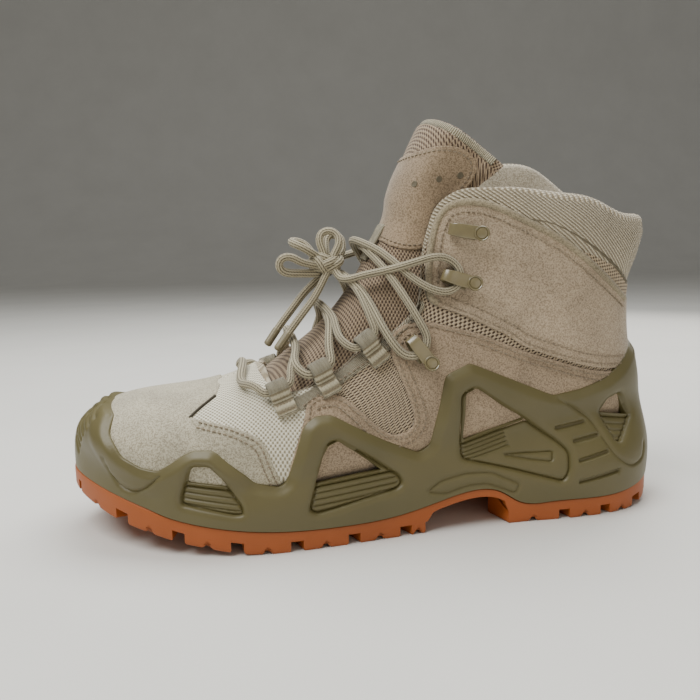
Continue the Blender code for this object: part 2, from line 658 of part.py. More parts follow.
def make_insole():
    """Flat insole that lies on the turned-in margin, inside the upper."""
    margin = OUTER[0] - OUTER_NORMAL[0] * WALL
    feather = OUTER[2] - OUTER_NORMAL[2] * WALL
    inner = feather - np.concatenate([PLAN_NORMAL, np.zeros((RING, 1))], axis=1) * INSOLE_INSET
    low = inner.copy()
    low[:, 2] = np.maximum(margin[:, 2], feather[:, 2] - 1.0) + INSOLE_LIFT
    high = low.copy()
    high[:, 2] += INSOLE_THICKNESS
    return ring_solid("insole", [low, high], LINING, 2)


def rim_pairs(rows, across):
    """Pairs of neighbouring points round the rim of a grid of rows by across."""
    rim = list(range(across)) + [r * across + across - 1 for r in range(1, rows)]
    rim += [(rows - 1) * across + c for c in range(across - 2, -1, -1)]
    rim += [r * across for r in range(rows - 2, 0, -1)]
    return list(zip(rim, rim[1:] + rim[:1]))


def make_tongue():
    """Padded tongue: a curved sheet under the throat that stands up in front of the collar."""
    table = np.array(TONGUE_ROWS)
    rows, across = TONGUE_GRID
    station_rows = np.linspace(table[0, 0], table[-1, 0], rows)
    sheet_outer = np.zeros((rows, across, 3))
    sheet_inner = np.zeros((rows, across, 3))
    for r, station in enumerate(station_rows):
        reach, middle, edge = (float(np.interp(station, table[:, 0], table[:, c])) for c in (1, 2, 3))
        top_end = float(smooth_step(0.80, 0.985, station))
        for c in range(across):
            w = -1.0 + 2.0 * c / (across - 1)
            drop = TONGUE_TOP_DROP * top_end * w * w
            place, turn = station - drop, w * reach
            depth = middle + (edge - middle) * float(smooth_step(0.5, 0.85, abs(w)))
            point = last_point(place, turn)
            normal = last_normal(place, turn)
            if normal @ (point - np.array([point[0] + 30.0, 0.0, point[2] - 30.0])) < 0.0:
                normal = -normal
            thick = TONGUE_THICKNESS * (1.0 - 0.45 * smooth_step(0.6, 1.0, abs(w)))
            sheet_outer[r, c] = point - normal * depth
            sheet_inner[r, c] = point - normal * (depth + thick)
    vertices = list(sheet_outer.reshape(-1, 3)) + list(sheet_inner.reshape(-1, 3))
    half = rows * across
    faces = []
    for r in range(rows - 1):
        for c in range(across - 1):
            a = r * across + c
            faces.append((a, a + 1, a + across + 1, a + across))
            faces.append((half + a, half + a + across, half + a + across + 1, half + a + 1))
    for a, b in rim_pairs(rows, across):
        faces.append((a, half + a, half + b, b))
    return new_object("tongue", vertices, faces, MESH_CLOTH)


# ---------------------------------------------------------------- lace hardware
UPPER_TREE = BVHTree.FromPolygons([Vector(p) for p in OUTER.reshape(-1, 3)], ring_faces(len(OUTER), RING))
WEBBING = (0.45, 0.40, 0.30)
HOOK_PAINT = (0.25, 0.23, 0.15)
LACE = (0.46, 0.42, 0.33)


def surface_frame(station, turn):
    """Point on the last with its outward normal and the direction from toe to collar."""
    point = last_point(station, turn)
    normal = last_normal(station, turn)
    inside = last_point(station, 0.0) * 0.5 + last_point(station, math.pi) * 0.5
    if normal @ (point - inside) < 0.0:
        normal = -normal
    along = last_point(station + 0.004, turn) - last_point(station - 0.004, turn)
    along -= normal * (along @ normal)
    return point, normal, along / np.linalg.norm(along)


def extruded(name, outline, origin, first, second, across, width, colour):
    """Solid bar: an outline in the plane of two directions, carried across by a width."""
    count = len(outline)
    vertices = [origin + first * a + second * b + across * (side * width / 2.0)
                for side in (-1.0, 1.0) for a, b in outline]
    faces = [tuple(range(count)), tuple(range(2 * count - 1, count - 1, -1))]
    faces += [(i, (i + 1) % count, count + (i + 1) % count, count + i) for i in range(count)]
    return new_object(name, vertices, faces, colour)


def loop_centre(station, turn):
    """Where the lace runs inside a webbing loop, and the loop's directions."""
    point, normal, along = surface_frame(station, turn)
    towards = np.cross(normal, along)
    if towards @ (last_point(station, 0.0) - point) < 0.0:
        towards = -towards
    rise = GAP + TAPE + LACE_RADIUS + LOOP_SLACK
    return point, normal, along, towards, point + towards * LOOP_REACH + normal * rise


def make_lace_loop(name, station, turn):
    """Webbing folded round the lace, its doubled tail sewn to the upper."""
    point, normal, along, towards, centre = loop_centre(station, turn)
    inner_radius = LACE_RADIUS + LOOP_SLACK
    outer_radius = inner_radius + TAPE
    sides = 12
    vertices = []
    for end in (-0.5, 0.5):
        for radius in (outer_radius, inner_radius):
            for k in range(sides):
                angle = 2.0 * math.pi * (k + 0.5) / sides
                a, b = radius * math.cos(angle), radius * math.sin(angle)
                if radius == outer_radius and k == sides // 2:
                    a, b = -LOOP_REACH - LOOP_TAIL, 2.2 * TAPE - outer_radius
                if radius == outer_radius and k == sides // 2 + 1:
                    a, b = -LOOP_REACH - LOOP_TAIL, -outer_radius
                vertices.append(centre + towards * a + normal * b + along * (end * LOOP_WIDTH))
    faces = []
    for k in range(sides):
        j = (k + 1) % sides
        faces.append((k, j, 2 * sides + j, 2 * sides + k))
        faces.append((sides + k, 3 * sides + k, 3 * sides + j, sides + j))
        faces.append((k, sides + k, sides + j, j))
        faces.append((2 * sides + k, 2 * sides + j, 3 * sides + j, 3 * sides + k))
    return new_object(name, vertices, faces, WEBBING)


def hook_frame(station, turn, tilt):
    """Foot of a hook just clear of the upper, its normal, the way its arm points, the way across."""
    point, normal, _ = surface_frame(station, turn)
    arm = np.array([math.cos(math.radians(tilt)), 0.0, -math.sin(math.radians(tilt))])
    arm -= normal * (arm @ normal)
    arm /= np.linalg.norm(arm)
    across = np.cross(normal, arm)
    heights = []
    for a in (-3.4, 0.0, 4.5, 9.0):
        for b in (-0.5, 0.0, 0.5):
            above = point + arm * a + across * (b * HOOK_WIDTH) + normal * 20.0
            hit = UPPER_TREE.ray_cast(Vector(above), Vector(-normal))
            if hit[0] is not None:
                heights.append(20.0 - hit[3])
    return point + normal * max(heights), normal, arm, across


def make_lace_hook(name, station, turn, tilt):
    """Bent metal hook, open towards the heel, with a round head on the end of its arm."""
    point, normal, arm, across = hook_frame(station, turn, tilt)
    low = GAP
    plate = low + HOOK_PLATE
    roof = plate + HOOK_MOUTH
    top = roof + HOOK_PLATE
    half = (low + top) / 2.0
    outline = ((9.0, low), (0.0, low), (-2.4, low + 1.2), (-3.4, half), (-2.4, top - 1.2), (0.0, top),
               (HOOK_LENGTH, top), (HOOK_LENGTH, roof), (0.4, roof), (-1.5, roof - 1.0),
               (-2.1, half), (-1.5, plate + 1.0), (0.4, plate), (9.0, plate))
    hook = extruded(name, outline, point, arm, normal, across, HOOK_WIDTH, HOOK_PAINT)
    sides = 10
    rings = ((roof - 0.4, 0.85), (roof + 0.5, 1.0), (top + 0.6, 1.0), (top + 1.5, 0.6))
    centre = point + arm * HOOK_LENGTH
    vertices = []
    for height, share in rings:
        for k in range(sides):
            angle = 2.0 * math.pi * k / sides
            radial = arm * math.cos(angle) + across * math.sin(angle)
            vertices.append(centre + normal * height + radial * HOOK_BALL_RADIUS * share)
    faces = [tuple(range(sides)), tuple(range(len(vertices) - sides, len(vertices)))]
    for r in range(len(rings) - 1):
        for k in range(sides):
            j = (k + 1) % sides
            faces.append((r * sides + k, r * sides + j, (r + 1) * sides + j, (r + 1) * sides + k))
    head = new_object(name + "_head", vertices, faces, HOOK_PAINT)
    as_cutter(head)
    modifier = hook.modifiers.new("head", "BOOLEAN")
    modifier.operation = "UNION"
    modifier.solver = "EXACT"
    modifier.object = head
    return hook


def make_tongue_keeper():
    """Flat webbing sewn along the middle of the tongue, under the top crossing."""
    rows, across = 7, 5
    vertices = []
    for layer in (GAP, GAP + TAPE):
        for station in np.linspace(*KEEPER_STATIONS, rows):
            for y in np.linspace(-0.5, 0.5, across) * KEEPER_WIDTH:
                vertices.append(raised(station, y * KEEPER_TURN_PER_MM, layer))
    half = rows * across
    faces = []
    for r in range(rows - 1):
        for c in range(across - 1):
            a = r * across + c
            faces.append((a, a + 1, a + across + 1, a + across))
            faces.append((half + a, half + a + across, half + a + across + 1, half + a + 1))
    for a, b in rim_pairs(rows, across):
        faces.append((a, half + a, half + b, b))
    return new_object("tongue_lace_keeper", vertices, faces, WEBBING)


# ---------------------------------------------------------------- the lace
STRAND_RISE = 4.1           # height of a lace's middle over the last, away from a crossing
CROSSING_RISE = 2.6         # the same where it passes under another lace
KEEPER_RISE = 4.4           # and where it passes over the keeper, under another lace
LACE_STEP = 4.6             # from one lace's middle to that of the lace over it
KNOT_CENTRE = (-23.3, -5.4, 126.2)
KNOT_RADII = (8.2, 7.5, 5.6)
KNOT_GAP = 0.35             # between the knot and the face of a cord's end
KNOT_LEAD = 3.2             # how far a cord runs straight out from the knot
# The two halves' last runs to the knot, x, y, z, then the way from the knot's middle to where they meet it.
LATERAL_RUN = ((17.5, -33.0, 127.5), (9.0, -30.8, 125.0), (-1.0, -25.5, 122.4), (-8.5, -21.2, 120.6))
LATERAL_PORT = (0.55, -0.65, -0.45)
MEDIAL_RUN = ((-6.0, 18.5, 131.5), (-14.0, 12.8, 129.0))
MEDIAL_PORT = (0.35, 0.90, -0.05)
# Free parts of the lace, chosen by hand: the way it leaves the knot, points x, y, z, the way it comes back.
BOW_LOOPS = {
    "lace_bow_near_1": ((-0.85, -0.50, 0.0),
                        ((-37.3, -12.9, 128.1), (-41.8, -14.0, 130.1), (-45.9, -14.0, 129.1), (-46.9, -13.4, 125.7),
                         (-44.5, -12.4, 123.1), (-39.8, -11.2, 122.3)),
                        (-0.75, -0.20, -0.55)),
    "lace_bow_near_2": ((-0.75, -0.30, 0.60),
                        ((-33.3, -10.0, 133.5), (-37.5, -8.8, 135.7), (-39.9, -5.0, 137.1), (-38.3, -1.0, 137.7),
                         (-33.7, 0.4, 136.3)),
                        (-0.75, 0.45, 0.50)),
    "lace_bow_far_1": ((-0.20, 0.05, 0.95),
                       ((-26.1, -4.0, 138.3), (-24.7, -3.0, 141.5), (-20.9, -3.0, 142.6), (-17.2, -4.0, 140.3),
                        (-16.7, -6.0, 136.3)),
                       (0.60, -0.40, 0.70)),
    "lace_bow_far_2": ((0.10, 0.65, 0.70),
                       ((-22.3, 4.0, 136.1), (-20.9, 6.8, 139.5), (-17.3, 8.4, 140.9), (-13.9, 8.0, 138.9),
                        (-13.3, 6.2, 135.1), (-14.3, 3.4, 132.1)),
                       (0.75, 0.60, 0.35)),
}
LACE_ENDS = {
    "lace_end_near": ((-0.10, -0.60, -0.75),
                      ((-30.2, -13.4, 110.8), (-36.2, -16.0, 103.4), (-42.0, -18.2, 96.4), (-47.0, -20.2, 90.2),
                       (-49.4, -21.0, 87.0))),
    "lace_end_far": ((-0.35, 0.15, -0.85),
                     ((-34.6, -5.4, 112.2), (-40.4, -7.6, 105.4), (-46.2, -9.6, 98.4), (-51.2, -11.2, 91.8),
                      (-53.6, -12.0, 88.4))),
}
LOOP_EXIT = 0.031           # from a loop's station to that of the strand's end beside it


def raised(station, turn, rise):
    point, normal, _ = surface_frame(station, turn)
    return point + normal * rise


def through_loop(index, side):
    """The lace's run through one webbing loop, from its toe end to its collar end."""
    station, turn = LACE_LOOPS[index]
    _, _, along, towards, centre = loop_centre(station, side * turn)
    run = ((-8.0, 4.4), (-5.6, 0.3), (-2.0, -0.4), (2.0, -0.4), (5.6, 0.3), (8.0, 4.4))
    return [centre + along * a + towards * b for a, b in run]


def round_hook(index, side):
    """The lace's turn round the inside of a hook, entering from below."""
    station, turn, tilt = LACE_HOOKS[index]
    point, normal, arm, across = hook_frame(station, side * turn, tilt)
    if across[2] < 0.0:
        across = -across
    height = GAP + HOOK_PLATE + HOOK_MOUTH / 2.0
    path = ((-4.5, -8.0, 1.3), (1.5, -6.6, 0.0), (4.6, -3.6, 0.0), (5.6, 0.0, 0.0),
            (4.6, 3.6, 0.0), (1.5, 6.6, 0.0), (-4.5, 8.0, 1.3))
    return [point + normal * (height + lift) + arm * a + across * b for a, b, lift in path]


def strand(start, end, over, rise):
    """Points from one side to the other across the tongue; over says which lace is on top."""
    crossing = rise + (LACE_STEP if over else 0.0)
    points = []
    for t in (0.22, 0.37, 0.5, 0.63, 0.78):
        station = start[0] + (end[0] - start[0]) * t
        turn = start[1] + (end[1] - start[1]) * t
        middle = math.exp(-((t - 0.5) / 0.17) ** 2)
        points.append(raised(station, turn, STRAND_RISE + (crossing - STRAND_RISE) * middle))
    return points


def knot_port(way):
    """The first two points of a cord that leaves the knot in a given way."""
    radii = np.array(KNOT_RADII)
    offset = np.array(way) / np.linalg.norm(np.array(way) / radii)
    out = offset / radii ** 2
    out /= np.linalg.norm(out)
    start = np.array(KNOT_CENTRE) + offset + out * KNOT_GAP
    return [start, start + out * KNOT_LEAD]


def lace_half(side, over_first):
    """One half of the lace: from the middle of the lowest bar up to the knot."""
    route = [raised(0.300, side * 0.22, 3.6), raised(0.300, side * 0.55, 3.8)]
    over = over_first
    for index in range(3):
        route += through_loop(index, side)
        station, turn = LACE_LOOPS[index]
        start = (station + LOOP_EXIT, side * turn * 0.88)
        if index < 2:
            end = (LACE_LOOPS[index + 1][0] - LOOP_EXIT, -side * LACE_LOOPS[index + 1][1] * 0.88)
        else:
            end = (LACE_HOOKS[0][0] - 0.020, -side * LACE_HOOKS[0][1] * 0.80)
        route += strand(start, end, over, CROSSING_RISE)
        over = not over
        side = -side
    route += round_hook(0, side)
    start = (LACE_HOOKS[0][0] + 0.045, side * LACE_HOOKS[0][1] * 0.72)
    end = (LACE_HOOKS[1][0] - 0.042, -side * LACE_HOOKS[1][1] * 0.80)
    route += strand(start, end, over, KEEPER_RISE)
    side = -side
    route += round_hook(1, side)
    if side > 0.0:
        route += [np.array(p) for p in LATERAL_RUN] + knot_port(LATERAL_PORT)[::-1]
    else:
        route += [raised(LACE_HOOKS[1][0] - 0.012, side * 0.52, 7.5)]
        route += [np.array(p) for p in MEDIAL_RUN] + knot_port(MEDIAL_PORT)[::-1]
    return route


def smooth_tube_points(route, straight, bend):
    """Points on a smooth curve through the route's own points, with more where it bends."""
    route = np.asarray(route, float)
    distance = chord_lengths(route)
    curve = natural_spline(distance, route)
    points = [route[0]]
    for low, high in zip(distance[:-1], distance[1:]):
        fine = np.diff(curve(np.linspace(low, high, 25)), axis=0)
        length = np.linalg.norm(fine, axis=1)
        heading = fine / length[:, None]
        turning = np.arccos(np.clip(np.sum(heading[1:] * heading[:-1], axis=1), -1.0, 1.0))
        steps = max(1, int(round(length.sum() / straight + turning.sum() / bend)))
        points.extend(curve(np.linspace(low, high, steps + 1)[1:]))
    return np.array(points)


def make_tube(name, route, radius=LACE_RADIUS, straight=20.0, bend=0.75):
    """Round cord along a route, with closed ends."""
    points = smooth_tube_points(route, straight, bend)
    curve = bpy.data.curves.new(name, "CURVE")
    curve.dimensions = "3D"
    curve.bevel_depth = radius * MM
    curve.bevel_resolution = 2
    curve.use_fill_caps = True
    line = curve.splines.new("POLY")
    line.points.add(len(points) - 1)
    for spot, point in zip(line.points, points):
        spot.co = (*((point - ORIGIN) * MM), 1.0)
    curve.materials.append(plain_material(name, LACE, 0.8))
    piece = bpy.data.objects.new(name, curve)
    bpy.context.scene.collection.objects.link(piece)
    return piece


def make_knot():
    """Outer shape of the tied knot."""
    mesh_points = []
    rings, sides = 10, 18
    for r in range(1, rings):
        tilt = math.pi * r / rings
        for k in range(sides):
            angle = 2.0 * math.pi * k / sides
            mesh_points.append((math.sin(tilt) * math.cos(angle), math.sin(tilt) * math.sin(angle), math.cos(tilt)))
    mesh_points += [(0.0, 0.0, 1.0), (0.0, 0.0, -1.0)]
    vertices = [np.array(KNOT_CENTRE) + np.array(KNOT_RADII) * np.array(p) for p in mesh_points]
    faces = []
    for r in range(rings - 2):
        for k in range(sides):
            j = (k + 1) % sides
            faces.append((r * sides + k, (r + 1) * sides + k, (r + 1) * sides + j, r * sides + j))
    top, bottom = len(vertices) - 2, len(vertices) - 1
    last_ring = (rings - 2) * sides
    for k in range(sides):
        j = (k + 1) % sides
        faces.append((top, k, j))
        faces.append((bottom, last_ring + j, last_ring + k))
    return new_object("lace_knot", vertices, faces, LACE)


def make_lace():
    """Lace: one length laid through loops and hooks, and the free parts at the knot."""
    lateral, medial = lace_half(1.0, False), lace_half(-1.0, True)
    make_tube("lace_crossings", lateral[::-1] + medial)
    make_knot()
    for name, (leaving, points, returning) in BOW_LOOPS.items():
        make_tube(name, knot_port(leaving) + [np.array(p) for p in points] + knot_port(returning)[::-1])
    for name, (leaving, points) in LACE_ENDS.items():
        make_tube(name, knot_port(leaving) + [np.array(p) for p in points])


def make_lace_hardware():
    for side, word in ((1.0, "lateral"), (-1.0, "medial")):
        for number, (station, turn) in enumerate(LACE_LOOPS, 1):
            make_lace_loop(f"lace_loop_{word}_{number}", station, side * turn)
        for number, (station, turn, tilt) in enumerate(LACE_HOOKS, 1):
            make_lace_hook(f"lace_hook_{word}_{number}", station, side * turn, tilt)
    make_tongue_keeper()


def main():
    for piece in list(bpy.data.objects):
        bpy.data.objects.remove(piece)
    make_outsole()
    make_midsole_frame()
    make_upper()
    make_insole()
    make_tongue()
    make_lace_hardware()
    make_lace()


main()
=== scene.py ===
"""Left hiking boot: its visible surfaces, laid out as an add-on and run as a script.

The toe points along -X, the heel along +X, the lateral side along -Y, and +Z is up.
Tables and shapes are in millimetres; make_mesh turns them into metres.
"""

import math

import bmesh
import bpy
import numpy as np
from mathutils import Matrix, Vector
from mathutils.bvhtree import BVHTree
from mathutils.geometry import delaunay_2d_cdt
from mathutils.kdtree import KDTree


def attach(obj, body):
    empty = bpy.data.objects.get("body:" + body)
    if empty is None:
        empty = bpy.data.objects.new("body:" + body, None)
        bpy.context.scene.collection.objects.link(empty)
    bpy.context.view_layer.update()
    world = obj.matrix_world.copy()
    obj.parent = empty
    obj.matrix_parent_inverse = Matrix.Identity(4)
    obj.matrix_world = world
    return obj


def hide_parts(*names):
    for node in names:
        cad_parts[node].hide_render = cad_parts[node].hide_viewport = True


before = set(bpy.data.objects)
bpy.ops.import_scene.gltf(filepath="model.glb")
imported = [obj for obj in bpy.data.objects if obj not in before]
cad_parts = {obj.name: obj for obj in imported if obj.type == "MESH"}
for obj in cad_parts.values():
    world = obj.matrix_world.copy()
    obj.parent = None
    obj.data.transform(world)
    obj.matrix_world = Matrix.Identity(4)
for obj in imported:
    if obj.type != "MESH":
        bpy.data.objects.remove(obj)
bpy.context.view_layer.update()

bl_info = {
    "name": "Hiking boot",
    "version": (1, 0, 0),
    "blender": (4, 5, 0),
    "location": "3D View > Sidebar > Boot",
    "description": "Builds a left hiking boot piece by piece round its packed frame",
    "category": "Add Mesh",
}

MM = 0.001
BOOT_LENGTH = 302.0


# ---------------------------------------------------------------- tables of the boot's form
# A row for each section. Top and bottom are the section's ends in the middle plane; the
# sections turn from upright at the toe to tilted round the ankle. Lateral and medial are
# half widths, widest is how far down from the top they lie, and the powers square the
# section off (2 is an ellipse). Shift moves a section towards the medial side.
LAST_SECTIONS = (
    # top x, top z, bottom x, bottom z, lateral, medial, widest, top power, bottom power, shift
    (-145.5, 45.0, -145.5, 43.5, 1.0, 1.0, 0.55, 2.1, 2.1, 8.0),
    (-143.5, 51.5, -143.5, 38.5, 14.0, 14.5, 0.58, 2.2, 2.3, 7.5),
    (-138.5, 56.5, -138.0, 34.5, 24.5, 25.5, 0.62, 2.3, 2.6, 6.5),
    (-130.0, 60.5, -130.0, 31.0, 34.0, 35.0, 0.64, 2.4, 3.0, 5.0),
    (-116.0, 64.0, -116.0, 27.0, 42.0, 41.5, 0.66, 2.4, 3.2, 2.5),
    (-98.0, 66.0, -98.0, 24.0, 47.5, 46.0, 0.66, 2.4, 3.3, 1.0),
    (-80.0, 69.0, -80.0, 22.3, 51.0, 47.0, 0.68, 2.3, 3.3, 0.0),
    (-62.0, 75.5, -62.0, 22.0, 52.5, 44.5, 0.70, 2.2, 3.3, 0.0),
    (-44.0, 85.0, -44.0, 22.5, 51.5, 41.0, 0.72, 2.1, 3.2, 0.0),
    (-30.0, 95.0, -24.0, 24.0, 49.0, 37.5, 0.74, 2.0, 3.1, 0.0),
    (-19.0, 106.0, 2.0, 26.5, 45.5, 34.5, 0.74, 2.0, 3.0, 0.0),
    (-10.0, 118.0, 34.0, 29.5, 42.0, 33.5, 0.70, 2.0, 2.9, 0.0),
    (-4.0, 128.0, 68.0, 31.0, 39.5, 34.5, 0.62, 2.0, 2.8, 0.0),
    (1.0, 136.0, 98.0, 31.0, 37.5, 36.0, 0.56, 2.1, 2.6, 0.0),
    (5.0, 143.0, 124.0, 33.0, 36.5, 36.0, 0.52, 2.1, 2.3, 0.0),
    (8.0, 149.0, 139.5, 42.0, 36.0, 35.5, 0.51, 2.1, 2.1, 0.0),
    (10.5, 154.0, 143.0, 57.0, 35.5, 35.5, 0.50, 2.1, 2.0, 0.0),
    (13.0, 160.0, 139.5, 77.0, 35.5, 35.5, 0.50, 2.1, 2.0, 0.0),
    (16.5, 167.5, 137.0, 98.0, 36.0, 36.0, 0.50, 2.1, 2.0, 0.0),
    (20.0, 175.0, 138.5, 117.0, 37.0, 37.0, 0.50, 2.1, 2.0, 0.0),
    (24.0, 183.5, 142.5, 135.0, 38.0, 38.0, 0.50, 2.1, 2.1, 0.0),
    (28.5, 193.0, 145.5, 151.0, 38.5, 38.5, 0.50, 2.1, 2.1, 0.0),
    (33.0, 202.0, 147.0, 166.0, 38.5, 38.5, 0.50, 2.1, 2.1, 0.0),
)

# Outline of the sole: distance from the heel as a share of the length, and half widths.
SOLE_PLAN = (
    # share from heel, lateral, medial
    (0.02, 20.0, 19.0),
    (0.05, 31.0, 30.0),
    (0.12, 41.0, 39.0),
    (0.25, 44.0, 38.0),
    (0.40, 46.0, 36.0),
    (0.55, 53.0, 41.0),
    (0.65, 57.0, 47.0),
    (0.72, 57.5, 51.0),
    (0.80, 53.5, 52.0),
    (0.90, 39.0, 45.0),
    (0.96, 21.0, 32.0),
)
TOE_TIP_SHIFT = 6.0

# Side profile of the sole: the tread's underside, and the line where the outsole meets
# the midsole. The underside is flat under the ball and under the heel.
TREAD_PROFILE = (
    # x, z
    (-151.0, 22.0), (-135.0, 16.0), (-113.0, 10.0), (-97.0, 6.2), (-80.0, 2.8), (-66.0, 0.5),
    (-58.0, 0.0), (20.0, 0.0), (60.0, 0.0), (124.0, 0.0), (139.0, 2.2), (151.0, 6.0),
)
BORDER_PROFILE = (
    # x, z
    (-151.0, 30.5), (-134.0, 26.5), (-115.0, 21.5), (-102.0, 17.5), (-80.0, 13.0), (-57.0, 10.2),
    (-26.0, 9.0), (3.0, 10.4), (21.0, 14.0), (38.0, 17.8), (47.0, 18.2), (55.0, 16.0),
    (63.0, 11.0), (80.0, 9.2), (121.0, 10.0), (139.0, 13.5), (151.0, 17.0),
)

# Top edge of the upper, throat and collar together, from the throat's end to the heel.
TOP_EDGE_LATERAL = (
    # x, y, z
    (-58.0, 0.0, 77.5), (-57.0, -14.0, 76.0), (-55.0, -28.0, 72.5), (-50.0, -37.0, 69.0),
    (-40.0, -39.5, 70.0), (-30.0, -38.0, 75.0), (-20.0, -36.5, 80.0), (-12.0, -34.0, 87.0),
    (-3.0, -34.0, 90.5), (4.0, -33.5, 94.5), (12.0, -32.0, 101.0), (18.0, -30.0, 110.0),
    (19.5, -26.5, 123.0), (21.5, -24.0, 135.0), (25.0, -23.0, 147.0), (29.0, -24.5, 155.5),
    (36.0, -27.5, 160.0), (47.0, -32.0, 161.0), (64.0, -36.0, 158.5), (83.0, -37.5, 154.5),
    (100.0, -35.5, 150.5), (124.0, -30.5, 147.4), (139.5, -18.0, 146.4), (144.4, -8.0, 146.2),
    (145.2, 0.0, 146.2),
)
TOP_EDGE_MEDIAL = (
    # x, y, z
    (-58.0, 0.0, 77.5), (-57.0, 12.0, 76.0), (-54.0, 24.0, 73.0), (-49.0, 31.0, 71.0),
    (-40.0, 34.0, 73.0), (-30.0, 33.0, 78.0), (-20.0, 32.0, 84.0), (-12.0, 31.0, 90.0),
    (-3.0, 31.0, 94.0), (4.0, 31.0, 98.0), (12.0, 30.0, 105.0), (18.0, 29.0, 113.0),
    (20.0, 26.0, 124.0), (22.0, 24.0, 136.0), (25.0, 23.0, 148.0), (28.0, 24.0, 158.0),
    (33.0, 27.0, 166.0), (44.0, 32.0, 172.0), (60.0, 35.5, 174.0), (78.0, 37.0, 173.0),
    (98.0, 35.5, 168.0), (124.0, 30.5, 156.0), (139.5, 18.0, 148.0), (144.4, 8.0, 146.4),
    (145.2, 0.0, 146.2),
)
# How far round the top edge a column ends, for how far round the sole it starts.
COLUMN_LEAN = ((0.0, 0.0), (0.30, 0.14), (0.62, 0.57), (1.0, 1.0))
CORNER_SHARE = 0.57         # the throat's upper corner, as a share of the top edge

FEATHER_PROFILE = (
    # x, z of the line where the upper meets its sole
    (-151.0, 38.0), (-130.0, 33.5), (-98.0, 27.0), (-62.0, 25.0), (-24.0, 27.0), (34.0, 32.5),
    (98.0, 34.0), (124.0, 36.0), (151.0, 42.0),
)
# Top line of the moulded frame seen from the side: toe bumper, three peaks, heel cup.
FRAME_TOP_LINE = (
    # x, z
    (-127.5, 61.0), (-129.0, 53.0), (-123.0, 42.5), (-114.0, 38.0), (-106.0, 37.0),
    (-100.0, 41.0), (-94.0, 45.5), (-90.0, 47.5), (-81.0, 47.5), (-77.0, 43.5), (-63.0, 31.0),
    (-52.0, 29.0), (-48.0, 31.5), (-40.0, 56.5), (-35.0, 60.0), (-28.0, 60.0), (-16.0, 53.0),
    (-2.0, 45.0), (14.0, 38.0), (20.0, 41.0), (25.0, 61.0), (28.0, 74.0), (40.0, 79.0),
    (84.0, 60.0), (99.0, 62.0), (114.0, 66.5), (123.0, 71.5), (135.0, 80.0), (141.0, 84.0),
    (165.0, 86.0),
)
# Openings in the frame that show the suede, seen from the side.
FRAME_WINDOWS = (
    # corner points x, z of each window
    ((-93.0, 33.0), (-91.0, 40.5), (-83.0, 40.5), (-75.0, 30.5)),
    ((-37.0, 29.5), (-30.0, 46.5), (-25.0, 48.5), (-4.0, 32.5)),
    ((36.0, 42.0), (37.0, 65.0), (43.0, 67.5), (68.0, 50.0)),
    ((111.0, 50.0), (117.0, 56.0), (124.0, 58.0), (131.0, 47.0)),
)

# Tread: x where each groove between two border lugs leaves the edge, and what lies inside them.
GROOVE_DEPTH = 4.6
GROOVE_SLANT = 0.22
BAR_LIFT = 0.35             # the bars in the middle stand this much off the ground
FOREFOOT_GROOVES = (-128.0, -106.0, -82.0, -56.0, -29.0, -3.0)
HEEL_GROOVES = (80.0, 103.0, 125.0)

# A row for each station of the tongue: place along the last, how far round it reaches,
# and how deep under the last's surface its middle and its edges lie.
TONGUE_ROWS = (
    # station, reach, middle depth, edge depth
    (0.312, 0.55, 3.4, 3.6),
    (0.335, 0.80, 3.2, 3.8),
    (0.365, 1.10, 1.6, 4.0),
    (0.440, 1.10, 0.8, 4.0),
    (0.540, 1.10, 0.6, 4.0),
    (0.640, 1.00, 0.4, 4.0),
    (0.700, 0.92, 0.3, 4.4),
    (0.770, 0.88, -2.4, 5.4),
    (0.830, 0.90, -3.4, 7.4),
    (0.880, 0.94, -3.6, 9.2),
    (0.930, 1.01, -3.6, 8.4),
    (0.979, 1.14, -3.2, 4.6),
)
TONGUE_TOP_DROP = 0.045     # the tongue's top corners sit this much lower than its middle

# Lace hardware sits on the last's surface at a station and a turn; the medial side mirrors it.
LACE_RIBS = 9               # lengthwise, round the cord
LACE_RADIUS = 1.9
TAPE = 1.2                  # webbing thickness
LOOP_WIDTH = 9.2
LOOP_TAIL = 8.5             # how far a loop's tape runs back over the upper
LOOP_REACH = 4.0            # from the loop's station mark to the lace inside it
LOOP_SLACK = 1.3            # clear space round the lace inside a loop
LACE_LOOPS = (
    # station, turn
    (0.346, 0.93), (0.408, 0.92), (0.490, 0.93),
)
HOOK_WIDTH = 6.4
HOOK_LENGTH = 12.5
HOOK_PLATE = 1.2
HOOK_MOUTH = 4.6            # clear height inside a hook
HOOK_BUTTON = (
    # radius, height of the button's profile, from its middle over its rim to its underside
    (0.0, 1.75), (1.5, 1.7), (2.25, 1.5), (2.6, 1.0), (2.8, 1.3), (3.2, 1.5), (3.55, 1.15),
    (3.65, 0.4), (3.5, -0.6), (2.9, -1.15), (0.0, -1.3),
)
HOOK_RIVET = ((0.0, 0.75), (0.8, 0.65), (1.35, 0.3), (1.5, 0.0))
LACE_HOOKS = (
    # station, turn, tilt of the hook below the horizontal in degrees
    (0.550, 1.10, 56.0), (0.676, 0.98, 20.0), (0.775, 0.92, 10.0),
)
KEEPER_STATIONS = (0.585, 0.690)
KEEPER_WIDTH = 12.0
KEEPER_TURN_PER_MM = 0.030  # how far round the last one millimetre across the keeper reaches
KEEPER_GRID = (40, 19)
KEEPER_RIBS = 9.0
KEEPER_RIDGE = 0.14         # height of its ribs
KEEPER_END = 0.9            # how far its sewn ends lie below the rest


